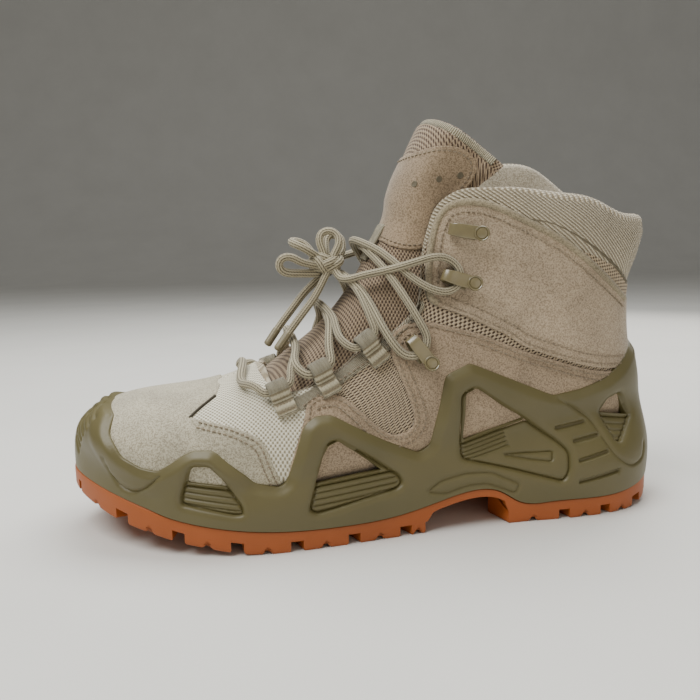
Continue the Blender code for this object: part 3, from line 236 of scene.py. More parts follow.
# ---------------------------------------------------------------- sizes of the visible layers
ORIGIN = np.array([0.0, -2.7, 0.0])     # the last's middle line to the middle of the sole
COLUMNS = 136               # columns of the fine grids on each side, toe to heel
RING = 2 * COLUMNS
FEATHER_INSET = 9.0         # from the sole's outline in to the line where the upper meets it
MARGIN_TURN = 2.2           # how far round the turned-in margin runs, in radians for a share of one
INSIDE_MIDDLE, INSIDE_REACH = 5.0, 93.0     # x of the line inside the last, its middle and half length
INSIDE_TOE_HEIGHT = 40.0
INSIDE_SLOPE = 0.237
UPPER_SHARES = np.concatenate([[-0.22, -0.15, -0.07], np.linspace(0.0, 1.0, 57)])
FRAME_WALL = 4.0
GAP = 0.35
WALL = 2.4
THROAT_WALL = 2.8
COLLAR_WALL = 8.0
COLLAR_PAD_DEPTH = 42.0
COLLAR_CLOTH_DEPTH = 44.0   # how far down from the top edge the collar's cloth runs
COLLAR_SWELL = 1.6          # how much the padding swells the collar outwards
MESH_SLOT, COLLAR_SLOT, LINING_SLOT = 0, 1, 2   # the shell's material slots
TONGUE_THICKNESS = 6.0
LATERAL = 1.0
MEDIAL = -1.0


# ---------------------------------------------------------------- curves and the last
def natural_spline(knots, values):
    """Return a function through the rows of values at the knots, smooth to the second order."""
    knots = np.asarray(knots, float)
    values = np.asarray(values, float)
    count = len(knots)
    step = np.diff(knots)
    matrix = np.eye(count)
    right = np.zeros(values.shape)
    for i in range(1, count - 1):
        matrix[i, i - 1] = step[i - 1]
        matrix[i, i] = 2.0 * (step[i - 1] + step[i])
        matrix[i, i + 1] = step[i]
        right[i] = 3.0 * ((values[i + 1] - values[i]) / step[i] - (values[i] - values[i - 1]) / step[i - 1])
    curve = np.linalg.solve(matrix, right)
    wide = step.reshape((-1,) + (1,) * (values.ndim - 1))
    slope = (values[1:] - values[:-1]) / wide - wide * (2.0 * curve[:-1] + curve[1:]) / 3.0
    cubic = (curve[1:] - curve[:-1]) / (3.0 * wide)

    def at(where):
        where = np.asarray(where, float)
        i = np.clip(np.searchsorted(knots, where) - 1, 0, count - 2)
        u = where - knots[i]
        u = u.reshape(u.shape + (1,) * (values.ndim - 1))
        return values[i] + slope[i] * u + curve[i] * u ** 2 + cubic[i] * u ** 3

    return at


def unit(vectors):
    """Vectors scaled to length one."""
    return vectors / np.maximum(np.linalg.norm(vectors, axis=-1, keepdims=True), 1e-9)


def chord_lengths(points):
    """Distance along a polyline at each of its points."""
    return np.concatenate(([0.0], np.cumsum(np.linalg.norm(np.diff(points, axis=0), axis=1))))


def evenly(points, spacing, smooth=True):
    """Points along a path at an even spacing, on a smooth curve or on its straight pieces."""
    points = np.asarray(points, float)
    if smooth and len(points) > 2:
        distance = chord_lengths(points)
        fine = natural_spline(distance, points)(np.linspace(0.0, distance[-1], 20 * len(points)))
    else:
        fine = points
    distance = chord_lengths(fine)
    count = max(2, int(round(distance[-1] / spacing)) + 1)
    even = np.linspace(0.0, distance[-1], count)
    return np.stack([np.interp(even, distance, fine[:, k]) for k in range(fine.shape[1])], axis=1)


def smooth_step(low, high, value):
    """Rise from 0 at low to 1 at high with level ends."""
    t = np.clip((value - low) / (high - low), 0.0, 1.0)
    return t * t * (3.0 - 2.0 * t)


SECTION_TABLE = np.array(LAST_SECTIONS)
SECTION_MIDDLE = np.stack([(SECTION_TABLE[:, 0] + SECTION_TABLE[:, 2]) / 2.0,
                           (SECTION_TABLE[:, 1] + SECTION_TABLE[:, 3]) / 2.0,
                           (SECTION_TABLE[:, 4] + SECTION_TABLE[:, 5]) / 2.0,
                           SECTION_TABLE[:, 3] - SECTION_TABLE[:, 1]], axis=1)
SECTION_STATION = chord_lengths(SECTION_MIDDLE) / chord_lengths(SECTION_MIDDLE)[-1]
section_at = natural_spline(SECTION_STATION, SECTION_TABLE)


def last_point(station, turn):
    """Point on the last: station 0 toe to 1 collar, turn 0 on the ridge, + lateral, pi beneath."""
    station, turn = np.broadcast_arrays(np.asarray(station, float), np.asarray(turn, float))
    row = section_at(station)
    top_x, top_z, low_x, low_z, lateral, medial, widest, top_power, low_power, shift = np.moveaxis(row, -1, 0)
    cosine = np.cos(turn)
    sine = np.abs(np.sin(turn))
    half = np.where(turn >= 0.0, lateral, medial)
    power = np.where(cosine >= 0.0, top_power, low_power)
    across = half * sine ** (2.0 / power)
    bend = np.abs(cosine) ** (2.0 / power)
    down = np.where(cosine >= 0.0, widest * (1.0 - bend), widest + (1.0 - widest) * bend)
    x = top_x + (low_x - top_x) * down
    z = top_z + (low_z - top_z) * down
    y = shift - np.where(turn >= 0.0, across, -across)
    return np.stack([x, y, z], axis=-1)


def surface_frame(station, turn):
    """Point on the last with its outward normal and the direction from toe to collar."""
    step = 0.003
    low, high = np.clip(station - step, 0, 1), np.clip(station + step, 0, 1)
    point = last_point(station, turn)
    along = last_point(high, turn) - last_point(low, turn)
    normal = unit(np.cross(along, last_point(station, turn + step) - last_point(station, turn - step)))
    inside = (last_point(station, 0.0) + last_point(station, math.pi)) * 0.5
    outward = np.sum(normal * (point - inside), axis=-1, keepdims=True)
    normal = np.where(outward < 0.0, -normal, normal)
    along = along - normal * np.sum(along * normal, axis=-1, keepdims=True)
    return point, normal, unit(along)


def raised(station, turn, rise):
    """Point at a height over the last."""
    point, normal, _ = surface_frame(station, turn)
    return point + normal * rise


def last_tree(stations=320, turns=288):
    """Search tree of a fine mesh of the last, for meeting it with rays."""
    station = np.linspace(0.0, 1.0, stations)
    turn = np.linspace(-math.pi, math.pi, turns, endpoint=False)
    points = last_point(station[:, None], turn[None, :]).reshape(-1, 3)
    faces = [tuple(range(turns))]
    for i in range(stations - 1):
        for j in range(turns):
            k = (j + 1) % turns
            faces.append((i * turns + j, i * turns + k, (i + 1) * turns + k, (i + 1) * turns + j))
    return BVHTree.FromPolygons([Vector(p) for p in points], faces)


# ---------------------------------------------------------------- plan and profiles
def plan_columns():
    """Plan points of the columns: toe, lateral side, heel, medial side, evenly spaced on each side."""
    table = np.array(SOLE_PLAN)
    x = BOOT_LENGTH / 2.0 - BOOT_LENGTH * table[:, 0]
    lateral = np.stack([x, -table[:, 1]], axis=1)
    medial = np.stack([x, table[:, 2]], axis=1)
    toe = np.array([[-BOOT_LENGTH / 2.0, TOE_TIP_SHIFT]])
    heel = np.array([[BOOT_LENGTH / 2.0, 0.0]])
    loop = np.concatenate([toe, lateral[::-1], heel, medial])
    wrap = 4
    closed = np.concatenate([loop[-wrap:], loop, loop[:wrap + 1]])
    distance = chord_lengths(closed)
    curve = natural_spline(distance, closed)
    start, heel_at, end = distance[wrap], distance[wrap + len(lateral) + 1], distance[wrap + len(loop)]
    result = []
    for low, high in ((start, heel_at), (heel_at, end)):
        fine = curve(np.linspace(low, high, 2000))
        distance = chord_lengths(fine)
        even = np.linspace(0.0, distance[-1], COLUMNS + 1)[:-1]
        result.append(np.stack([np.interp(even, distance, fine[:, k]) for k in range(2)], axis=1))
    return np.concatenate(result)


PLAN = plan_columns()
COLUMN_INDEX = np.arange(RING)
COLUMN_SHARE = np.where(COLUMN_INDEX <= COLUMNS, COLUMN_INDEX, RING - COLUMN_INDEX) / COLUMNS


def plan_normals():
    """Outward plan normals at the columns."""
    tangent = np.roll(PLAN, -1, axis=0) - np.roll(PLAN, 1, axis=0)
    normal = unit(np.stack([tangent[:, 1], -tangent[:, 0]], axis=1))
    outward = np.sum(normal * (PLAN - PLAN.mean(axis=0)), axis=1).mean() > 0.0
    return normal if outward else -normal


PLAN_NORMAL = plan_normals()
TREAD = np.array(TREAD_PROFILE)
BORDER = np.array(BORDER_PROFILE)
FEATHER = np.array(FEATHER_PROFILE)
BORDER_CURVE = natural_spline(BORDER[:, 0], BORDER[:, 1])
FEATHER_CURVE = natural_spline(FEATHER[:, 0], FEATHER[:, 1])


def tread_height(x):
    """Height of the tread's underside at x."""
    return np.interp(x, TREAD[:, 0], TREAD[:, 1])


def border_height(x):
    """Height at x of the line between the outsole and the midsole."""
    return BORDER_CURVE(np.clip(x, BORDER[0, 0], BORDER[-1, 0]))


def outline_ring(inset, heights):
    """The sole's outline drawn in by an inset, at given heights."""
    ring = np.zeros((RING, 3))
    ring[:, :2] = PLAN - PLAN_NORMAL * inset
    ring[:, 2] = heights
    return ring


# ---------------------------------------------------------------- charts: surfaces with places
class Chart:
    """A surface as rows by columns of points; a place on it is (column, row), both fractional."""

    def __init__(self, grid, closed=True):
        self.grid = grid
        self.closed = closed
        self.rows, self.ring = grid.shape[:2]
        if closed:
            along = np.roll(grid, -1, axis=1) - np.roll(grid, 1, axis=1)
        else:
            along = np.gradient(grid, axis=1)
        normal = unit(np.cross(along, np.gradient(grid, axis=0)))
        if np.sum(normal * (grid - grid.mean(axis=(0, 1)))) < 0.0:
            normal = -normal
        self.normal = normal
        wide = self.ring if closed else self.ring - 1
        self.wide = wide
        corner = np.arange(self.rows - 1)[:, None] * self.ring + np.arange(wide)[None, :]
        beside = np.arange(self.rows - 1)[:, None] * self.ring + (np.arange(wide) + 1)[None, :] % self.ring
        low = np.stack([corner, beside, beside + self.ring], axis=-1)
        high = np.stack([corner, beside + self.ring, corner + self.ring], axis=-1)
        self.triangles = np.stack([low, high], axis=2).reshape(-1, 3)
        self.tree = BVHTree.FromPolygons([Vector(p) for p in grid.reshape(-1, 3)], self.triangles.tolist())

    def mix(self, values, places):
        """Values given at the grid's points, read off at places."""
        places = np.asarray(places, float)
        u, v = places[..., 0], np.clip(places[..., 1], 0.0, self.rows - 1.0)
        if not self.closed:
            u = np.clip(u, 0.0, self.ring - 1.0)
        j, i = np.floor(u).astype(int), np.minimum(np.floor(v).astype(int), self.rows - 2)
        if not self.closed:
            j = np.minimum(j, self.ring - 2)
        s, t = (u - j)[..., None], (v - i)[..., None]
        j, k = j % self.ring, (j + 1) % self.ring
        low = values[i, j] * (1.0 - s) + values[i, k] * s
        high = values[i + 1, j] * (1.0 - s) + values[i + 1, k] * s
        return low * (1.0 - t) + high * t

    def point(self, places, height=0.0):
        """The surface's points at places, raised by a height along the normal."""
        height = np.asarray(height, float)
        if height.ndim:
            height = height[..., None]
        return self.mix(self.grid, places) + unit(self.mix(self.normal, places)) * height

    def normal_at(self, places):
        """Outward normals at places."""
        return unit(self.mix(self.normal, places))

    def slopes(self, places):
        """Change of the point for one column and for one row."""
        places = np.asarray(places, float)
        step = 0.5
        du = self.point(places + [step, 0.0]) - self.point(places - [step, 0.0])
        high = np.minimum(places[..., 1] + step, self.rows - 1.0)
        low = np.maximum(places[..., 1] - step, 0.0)
        up = np.stack([places[..., 0], high], axis=-1)
        down = np.stack([places[..., 0], low], axis=-1)
        dv = (self.point(up) - self.point(down)) / (high - low)[..., None]
        return du, dv

    def place_in(self, index, point):
        """Place of a point that lies in one of the chart's triangles."""
        cell, upper = divmod(index, 2)
        i, j = divmod(cell, self.wide)
        a, b, c = self.grid.reshape(-1, 3)[self.triangles[index]]
        edges = np.stack([b - c, c - a] if upper else [b - a, c - b], axis=1)
        s, t = np.linalg.lstsq(edges, np.asarray(point) - a, rcond=None)[0]
        return j + s, i + t

    def nearest(self, points):
        """Places of the surface's nearest points."""
        places = []
        for point in np.asarray(points, float):
            spot, _, index, _ = self.tree.find_nearest(Vector(point))
            places.append(self.place_in(index, spot))
        return self.unwrapped(np.array(places))

    def from_side(self, outline, side):
        """Places met when points x, z are seen from the lateral (+1) or medial (-1) side."""
        places = []
        for x, z in outline:
            spot, _, index, _ = self.tree.ray_cast(Vector((x, -side * 150.0, z)), Vector((0.0, side, 0.0)))
            if spot is None:
                raise ValueError(f"nothing of the surface at x {x:.1f} z {z:.1f}")
            places.append(self.place_in(index, spot))
        return self.unwrapped(np.array(places))

    def unwrapped(self, places):
        """Places whose columns run on past the ring's seam."""
        if self.closed and len(places) > 1:
            turns = np.round(np.diff(places[:, 0]) / self.ring)
            places[1:, 0] -= np.cumsum(turns) * self.ring
        return places


def rounded_path(corners, radius, closed=True, steps=5):
    """A path with its corners rounded: points x, z and so on, or a last column with the radius."""
    corners = np.asarray(corners, float)
    count = len(corners)
    radii = np.full(count, radius, float) if np.isscalar(radius) else np.asarray(radius, float)
    result = []
    for i, corner in enumerate(corners):
        if not closed and i in (0, count - 1):
            result.append(corner)
            continue
        before, after = corners[i - 1] - corner, corners[(i + 1) % count] - corner
        reach = min(radii[i], 0.48 * np.linalg.norm(before), 0.48 * np.linalg.norm(after))
        start, end = corner + unit(before) * reach, corner + unit(after) * reach
        for t in np.linspace(0.0, 1.0, steps):
            result.append(start * (1 - t) ** 2 + 2 * corner * t * (1 - t) + end * t ** 2)
    return np.array(result)


def path_distance(points, path, closed=False):
    """Distance from plane points to a path of straight pieces."""
    path = np.asarray(path, float)
    ends = np.roll(path, -1, axis=0) if closed else path[1:]
    best = np.full(len(points), 1e9)
    for a, b in zip(path, ends):
        span = b - a
        t = np.clip((points - a) @ span / max(span @ span, 1e-9), 0.0, 1.0)
        best = np.minimum(best, np.linalg.norm(points - a - t[:, None] * span, axis=1))
    return best


def signed_distance(points, path):
    """Distance from plane points to a closed path, negative within it."""
    away = path_distance(points, path, True)
    return np.where(inside_path(points, path), -away, away)


def inside_path(points, path):
    """Whether plane points lie within a closed path."""
    path = np.asarray(path, float)
    inside = np.zeros(len(points), bool)
    x, y = points[:, 0], points[:, 1]
    for a, b in zip(path, np.roll(path, -1, axis=0)):
        if a[1] == b[1]:
            continue
        crosses = (a[1] > y) != (b[1] > y)
        inside ^= crosses & (x < (b[0] - a[0]) * (y - a[1]) / (b[1] - a[1]) + a[0])
    return inside


# ---------------------------------------------------------------- the upper's and the frame's charts
def upper_grid():
    """Rows of the upper from its turned-in margin to its top edge, on the last."""
    tree = last_tree()
    # The rays of each column start inside the last, on a line that rises from the toe to the heel.
    inside_x = INSIDE_MIDDLE + INSIDE_REACH * PLAN[:, 0] / (BOOT_LENGTH / 2.0)
    inside_z = INSIDE_TOE_HEIGHT + INSIDE_SLOPE * (inside_x - INSIDE_MIDDLE + INSIDE_REACH)
    inside_y = TOE_TIP_SHIFT * smooth_step(-30.0, -90.0, inside_x)
    inside = np.stack([inside_x, inside_y, inside_z], axis=1)
    feather = outline_ring(FEATHER_INSET, FEATHER_CURVE(PLAN[:, 0]))
    lean = np.array(COLUMN_LEAN)
    top_share = np.interp(COLUMN_SHARE, lean[:, 0], lean[:, 1])
    top = np.zeros((RING, 3))
    halves = ((TOP_EDGE_LATERAL, slice(0, COLUMNS + 1)), (TOP_EDGE_MEDIAL, slice(COLUMNS + 1, RING)))
    for rows, columns in halves:
        edge = np.array(rows)
        distance = chord_lengths(edge)
        top[columns] = natural_spline(distance / distance[-1], edge)(top_share[columns])
    grid = np.zeros((len(UPPER_SHARES), RING, 3))
    for i in range(RING):
        low, high = unit(feather[i] - inside[i]), unit(top[i] - inside[i])
        angle = math.acos(float(np.clip(low @ high, -1.0, 1.0)))
        across = unit(high - low * (low @ high))
        for k, row in enumerate(UPPER_SHARES):
            turn = row * angle if row >= 0.0 else row * MARGIN_TURN
            direction = low * math.cos(turn) + across * math.sin(turn)
            grid[k, i] = np.array(tree.ray_cast(Vector(inside[i]), Vector(direction))[0])
    return grid, top_share


OUTER_GRID, TOP_SHARE = upper_grid()
UPPER = Chart(OUTER_GRID)


def share_row(share):
    """Row of the upper's chart for a share of its height."""
    return np.interp(share, UPPER_SHARES, np.arange(len(UPPER_SHARES)))


def frame_grid(rows=64):
    """Outer face of the moulded frame, from the outsole's border up over the upper."""
    border = border_height(PLAN[:, 0]) + GAP
    shares = (0.12, 0.20, 0.30, 0.42, 0.56, 0.70, 0.84)
    columns = np.arange(RING, dtype=float)
    knots = [outline_ring(0.0, border)]
    over = [UPPER.point(np.stack([columns, np.full(RING, share_row(s))], axis=1), FRAME_WALL) for s in shares]
    knots.append(outline_ring(0.4, (border + over[0][:, 2]) * 0.5))
    knots = np.array(knots + over)
    grid = np.zeros((rows, RING, 3))
    for i in range(RING):
        distance = chord_lengths(knots[:, i])
        grid[:, i] = natural_spline(distance, knots[:, i])(np.linspace(0.0, distance[-1], rows))
    return grid


FRAME = Chart(frame_grid())


# ---------------------------------------------------------------- mesh making
def make_mesh(name, vertices, faces, materials, slots=None, uv=None, smooth=True):
    """An object in metres from points in millimetres, with a slot and a UV for each face and point."""
    vertices = (np.asarray(vertices, float) - ORIGIN) * MM
    mesh = bpy.data.meshes.new(name)
    mesh.from_pydata(vertices.tolist(), [], [tuple(int(i) for i in face) for face in faces])
    for material in materials:
        mesh.materials.append(material)
    if slots is not None:
        mesh.polygons.foreach_set("material_index", np.asarray(slots, np.int32))
    if uv is not None:
        layer = mesh.uv_layers.new(name="weave")
        corners = np.zeros(len(mesh.loops), np.int32)
        mesh.loops.foreach_get("vertex_index", corners)
        layer.data.foreach_set("uv", np.asarray(uv, np.float32)[corners].ravel())
    mesh.validate()
    if smooth:
        mesh.shade_smooth()
    mesh.update()
    piece = bpy.data.objects.new(name, mesh)
    bpy.context.scene.collection.objects.link(piece)
    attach(piece, "root")
    return piece


def outward(piece):
    """Turn a closed mesh's faces outwards."""
    shape = bmesh.new()
    shape.from_mesh(piece.data)
    bmesh.ops.recalc_face_normals(shape, faces=shape.faces)
    if shape.calc_volume(signed=True) < 0.0:
        bmesh.ops.reverse_faces(shape, faces=shape.faces)
    shape.to_mesh(piece.data)
    shape.free()
    return piece


def same_way(piece, weld=0.0):
    """Turn the faces of an open mesh the same way, with points closer than weld joined first."""
    shape = bmesh.new()
    shape.from_mesh(piece.data)
    if weld:
        bmesh.ops.remove_doubles(shape, verts=shape.verts, dist=weld)
    bmesh.ops.recalc_face_normals(shape, faces=shape.faces)
    shape.to_mesh(piece.data)
    shape.free()


def sharpen(piece, angle):
    """Shade the edges that bend by more than an angle as sharp ones."""
    piece.data.set_sharp_from_angle(angle=math.radians(angle))
    return piece


def grid_faces(rows, columns, closed=False, closed_rows=False):
    """Quads of a grid of rows by columns, closed along its rows or its columns if asked."""
    wide = columns if closed else columns - 1
    high = rows if closed_rows else rows - 1
    i, j = np.meshgrid(np.arange(high), np.arange(wide), indexing="ij")
    up, beside = (i + 1) % rows, (j + 1) % columns
    corners = [i * columns + j, i * columns + beside, up * columns + beside, up * columns + j]
    return np.stack(corners, axis=-1).reshape(-1, 4)


def grid_rim(rows, columns):
    """The points round the edge of a grid, in order."""
    rim = list(range(columns)) + [row * columns + columns - 1 for row in range(1, rows)]
    rim += [(rows - 1) * columns + column for column in range(columns - 2, -1, -1)]
    return rim + [row * columns for row in range(rows - 2, 0, -1)]


def copies(template, faces, frames):
    """One mesh of many like pieces; a frame is an origin and three directions, each already scaled."""
    template, frames = np.asarray(template, float), np.asarray(frames, float)
    points = frames[:, None, 0] + np.einsum("vk,nkd->nvd", template, frames[:, 1:])
    steps = np.arange(len(frames))[:, None] * len(template)
    all_faces = [tuple(int(v) + int(s) for v in face) for s in steps[:, 0] for face in faces]
    return points.reshape(-1, 3), all_faces


def merge(parts):
    """Vertices and faces of several (vertices, faces) pairs as one pair."""
    vertices, faces, start = [], [], 0
    for points, part_faces in parts:
        vertices.append(np.asarray(points, float))
        faces.extend(tuple(int(v) + start for v in face) for face in part_faces)
        start += len(points)
    return np.concatenate(vertices), faces


def sweep(points, normals, section, closed=False, taper=None):
    """Vertices and faces of a section (across, out) carried along points with given normals."""
    points, section = np.asarray(points, float), np.asarray(section, float)
    if closed:
        tangent = unit(np.roll(points, -1, axis=0) - np.roll(points, 1, axis=0))
    else:
        tangent = unit(np.gradient(points, axis=0))
    across = unit(np.cross(tangent, normals))
    out = np.cross(across, tangent)
    size = np.ones(len(points)) if taper is None else np.asarray(taper, float)
    grid = (points[:, None] + across[:, None] * (section[None, :, :1] * size[:, None, None])
            + out[:, None] * (section[None, :, 1:] * size[:, None, None]))
    faces = [tuple(q) for q in grid_faces(len(points), len(section), True, closed)]
    if not closed:
        faces.append(tuple(range(len(section))))
        faces.append(tuple(range(len(section) * (len(points) - 1), len(section) * len(points)))[::-1])
    return grid.reshape(-1, 3), faces


def carried_normals(points, first):
    """Normals along a free path, turned no more than the path itself turns."""
    tangent = unit(np.gradient(np.asarray(points, float), axis=0))
    normals = np.zeros_like(tangent)
    normals[0] = unit(first - tangent[0] * (first @ tangent[0]))
    for i in range(1, len(tangent)):
        carried = normals[i - 1] - tangent[i] * (normals[i - 1] @ tangent[i])
        normals[i] = carried / np.linalg.norm(carried)
    return normals


def rounded_section(width, height, corner, steps=4, base=0.0):
    """Section of a flat strip with rounded upper corners, its foot at the base."""
    corner = min(corner, width / 2.0, height)
    arc = np.linspace(0.0, math.pi / 2.0, steps)
    middle = width / 2.0 - corner
    right = [(middle + corner * math.cos(a), height - corner + corner * math.sin(a)) for a in arc]
    left = [(-x, y) for x, y in right[::-1]]
    return np.array([(width / 2.0, base)] + right + left + [(-width / 2.0, base)])


# ---------------------------------------------------------------- panels laid on a chart
def moved(chart, places, direction, distance):
    """Places moved by a distance in given directions along the surface."""
    du, dv = chart.slopes(places)
    uu, vv, uv = np.sum(du * du, -1), np.sum(dv * dv, -1), np.sum(du * dv, -1)
    wanted = direction * np.asarray(distance, float).reshape(-1, 1)
    a, b = np.sum(wanted * du, -1), np.sum(wanted * dv, -1)
    base = np.maximum(uu * vv - uv * uv, 1e-9)
    return places + np.stack([(a * vv - b * uv) / base, (b * uu - a * uv) / base], axis=1)


def plane_scale(chart, places):
    """Millimetres for one column and for one row, near some places."""
    du, dv = chart.slopes(places)
    return np.array([np.linalg.norm(du, axis=1).mean(), np.linalg.norm(dv, axis=1).mean()])


def close_to(points, targets, reach):
    """Whether each point lies within reach of one of the targets."""
    tree = KDTree(len(targets))
    for i, target in enumerate(targets):
        tree.insert(Vector(target), i)
    tree.balance()
    return np.array([tree.find(Vector(p))[2] < reach for p in points], bool)


def fill_plane(loops, inner):
    """Triangles between closed loops (the first outside, the rest holes) and through inner points."""
    points = np.concatenate(list(loops) + [inner])
    edges, start = [], 0
    for loop in loops:
        count = len(loop)
        edges += [(start + i, start + (i + 1) % count) for i in range(count)]
        start += count
    mesh = delaunay_2d_cdt([Vector(p) for p in points], edges, [], 0, 1e-7)
    flat, _, triangles, sources, _, _ = mesh
    back = np.full(len(flat), -1)
    for k, found in enumerate(sources):
        if found:
            back[k] = found[0]
    triangles = back[np.array(triangles)]
    triangles = triangles[(triangles >= 0).all(axis=1)]
    centre = points[triangles].mean(axis=1)
    keep = inside_path(centre, loops[0])
    for hole in loops[1:]:
        keep &= ~inside_path(centre, hole)
    return triangles[keep]


def panel_data(chart, loops, height, cell, edge=((0.0, -0.4), (0.0, 0.55), (0.25, 0.88), (0.8, 1.0)),
               relief=None, extra=None):
    """Raised sheet on a chart inside its first loop of places and outside the others.

    The edge lists how far in each ring lies, in millimetres, and its share of the height.
    Relief gives more height at places; extra places are taken up among the inner points.
    """
    scale = plane_scale(chart, loops[0])
    vertices, places_out, faces, inner_loops, start = [], [], [], [], 0
    inner_start = []
    for number, loop in enumerate(loops):
        plane = loop * scale
        ahead = np.roll(plane, -1, axis=0)
        area = np.sum(plane[:, 0] * ahead[:, 1] - ahead[:, 0] * plane[:, 1])
        points = chart.point(loop)
        tangent = unit(np.roll(points, -1, axis=0) - np.roll(points, 1, axis=0))
        du, dv = chart.slopes(loop)
        inward = np.cross(chart.normal_at(loop), tangent)
        handed = np.sign(np.sum(np.cross(du, dv) * chart.normal_at(loop), axis=1).mean())
        inward *= np.sign(area) * handed * (1.0 if number == 0 else -1.0)
        count = len(loop)
        for k, (inset, share) in enumerate(edge):
            ring = moved(chart, loop, inward, np.full(count, inset)) if inset > 0.0 else loop
            rise = np.full(count, share * height)
            if relief is not None and share > 0.9:
                rise = rise + relief(ring)
            places_out.append(ring)
            vertices.append(chart.point(ring, rise))
            if k:
                low = start + (k - 1) * count
                i = np.arange(count)
                j = (i + 1) % count
                faces.append(np.stack([low + i, low + j, low + count + j, low + count + i], axis=1))
        inner_start.append(start + (len(edge) - 1) * count)
        inner_loops.append(ring)
        start += len(edge) * count
    low, high = loops[0].min(axis=0), loops[0].max(axis=0)
    step = cell / scale
    columns = np.arange(low[0], high[0], step[0])
    rows = np.arange(low[1], high[1], step[1] * 0.866)
    lattice = np.array([(c + (0.5 * step[0] if r % 2 else 0.0), row)
                        for r, row in enumerate(rows) for c in columns])
    if extra is not None:
        far = ~close_to(chart.point(lattice), chart.point(extra), cell * 0.55)
        lattice = np.concatenate([lattice[far], extra])
    inside = inside_path(lattice, inner_loops[0])
    for hole in inner_loops[1:]:
        inside &= ~inside_path(lattice, hole)
    lattice = lattice[inside]
    rim = np.concatenate([chart.point(loop) for loop in inner_loops])
    if len(lattice):
        lattice = lattice[~close_to(chart.point(lattice), rim, cell * 0.5)]
    rise = np.full(len(lattice), float(height))
    if relief is not None and len(lattice):
        rise = rise + relief(lattice)
    vertices.append(chart.point(lattice, rise).reshape(-1, 3))
    places_out.append(lattice.reshape(-1, 2))
    triangles = fill_plane([loop * scale for loop in inner_loops], lattice.reshape(-1, 2) * scale)
    index = np.concatenate([first + np.arange(len(loop)) for first, loop in zip(inner_start, inner_loops)]
                           + [start + np.arange(len(lattice))])
    all_faces = [tuple(q) for block in faces for q in block] + [tuple(index[t]) for t in triangles]
    return np.concatenate(vertices), all_faces, np.concatenate(places_out)


def facing_out(vertices, faces, chart, places):
    """The same faces, each turned to the chart's outer side."""
    normal = chart.normal_at(places)
    result = []
    for face in faces:
        a, b, c = vertices[face[0]], vertices[face[1]], vertices[face[-1]]
        facing = np.cross(b - a, c - a) @ normal[face[0]]
        result.append(face if facing >= 0.0 else face[::-1])
    return result


def weave_uv(chart):
    """Millimetres along the rows and up the columns at each point of a chart."""
    across = np.linalg.norm(np.diff(chart.grid, axis=1), axis=2)
    half = chart.ring // 2
    rows = chart.rows
    u = np.zeros((rows, chart.ring))
    if chart.closed:
        back = np.linalg.norm(chart.grid[:, 0] - chart.grid[:, -1], axis=1)
        u[:, 1:half + 1] = np.cumsum(across[:, :half], axis=1)
        u[:, -1] = -back
        u[:, half + 1:-1] = -back[:, None] - np.cumsum(across[:, :half:-1], axis=1)[:, ::-1]
    else:
        u[:, 1:] = np.cumsum(across, axis=1)
    v = np.zeros((rows, chart.ring))
    v[1:] = np.cumsum(np.linalg.norm(np.diff(chart.grid, axis=0), axis=2), axis=0)
    return np.stack([u, v], axis=-1)


UPPER_UV = weave_uv(UPPER)


def laid_panel(name, chart, loops, height, material, cell=2.2, uv_grid=None, **more):
    """A panel as an object, with weave coordinates from its chart."""
    vertices, faces, places = panel_data(chart, loops, height, cell, **more)
    faces = facing_out(vertices, faces, chart, places)
    uv = chart.mix(uv_grid if uv_grid is not None else UPPER_UV, places)
    return make_mesh(name, vertices, faces, [material], uv=uv)


# ---------------------------------------------------------------- stitches
def stitch_template(sides=5):
    """A short thread that dips into the cloth at both ends, one unit long."""
    rings = ((-0.5, 0.25, -0.6), (-0.42, 0.85, 0.1), (-0.15, 1.0, 0.75), (0.15, 1.0, 0.75), (0.42, 0.85, 0.1),
             (0.5, 0.25, -0.6))
    vertices = [(along, share * math.cos(a), lift + share * math.sin(a))
                for along, share, lift in rings
                for a in np.linspace(0.0, 2.0 * math.pi, sides, endpoint=False)]
    return np.array(vertices), [tuple(q) for q in grid_faces(len(rings), sides, True)]


def stitch_frames(points, normals, spacing, length, radius):
    """Frames of the stitches along a path that lies on a surface."""
    distance = chord_lengths(points)
    count = max(1, int(distance[-1] / spacing))
    middle = (np.arange(count) + 0.5) * distance[-1] / count
    place = np.stack([np.interp(middle, distance, points[:, k]) for k in range(3)], axis=1)
    ahead = np.stack([np.interp(middle + 0.5, distance, points[:, k]) for k in range(3)], axis=1)
    normal = unit(np.stack([np.interp(middle, distance, normals[:, k]) for k in range(3)], axis=1))
    tangent = ahead - place
    tangent[-1] = tangent[-2] if count > 1 else tangent[-1]
    tangent = unit(tangent)
    across = np.cross(normal, tangent)
    return np.stack([place, tangent * length, across * radius, normal * radius], axis=1)


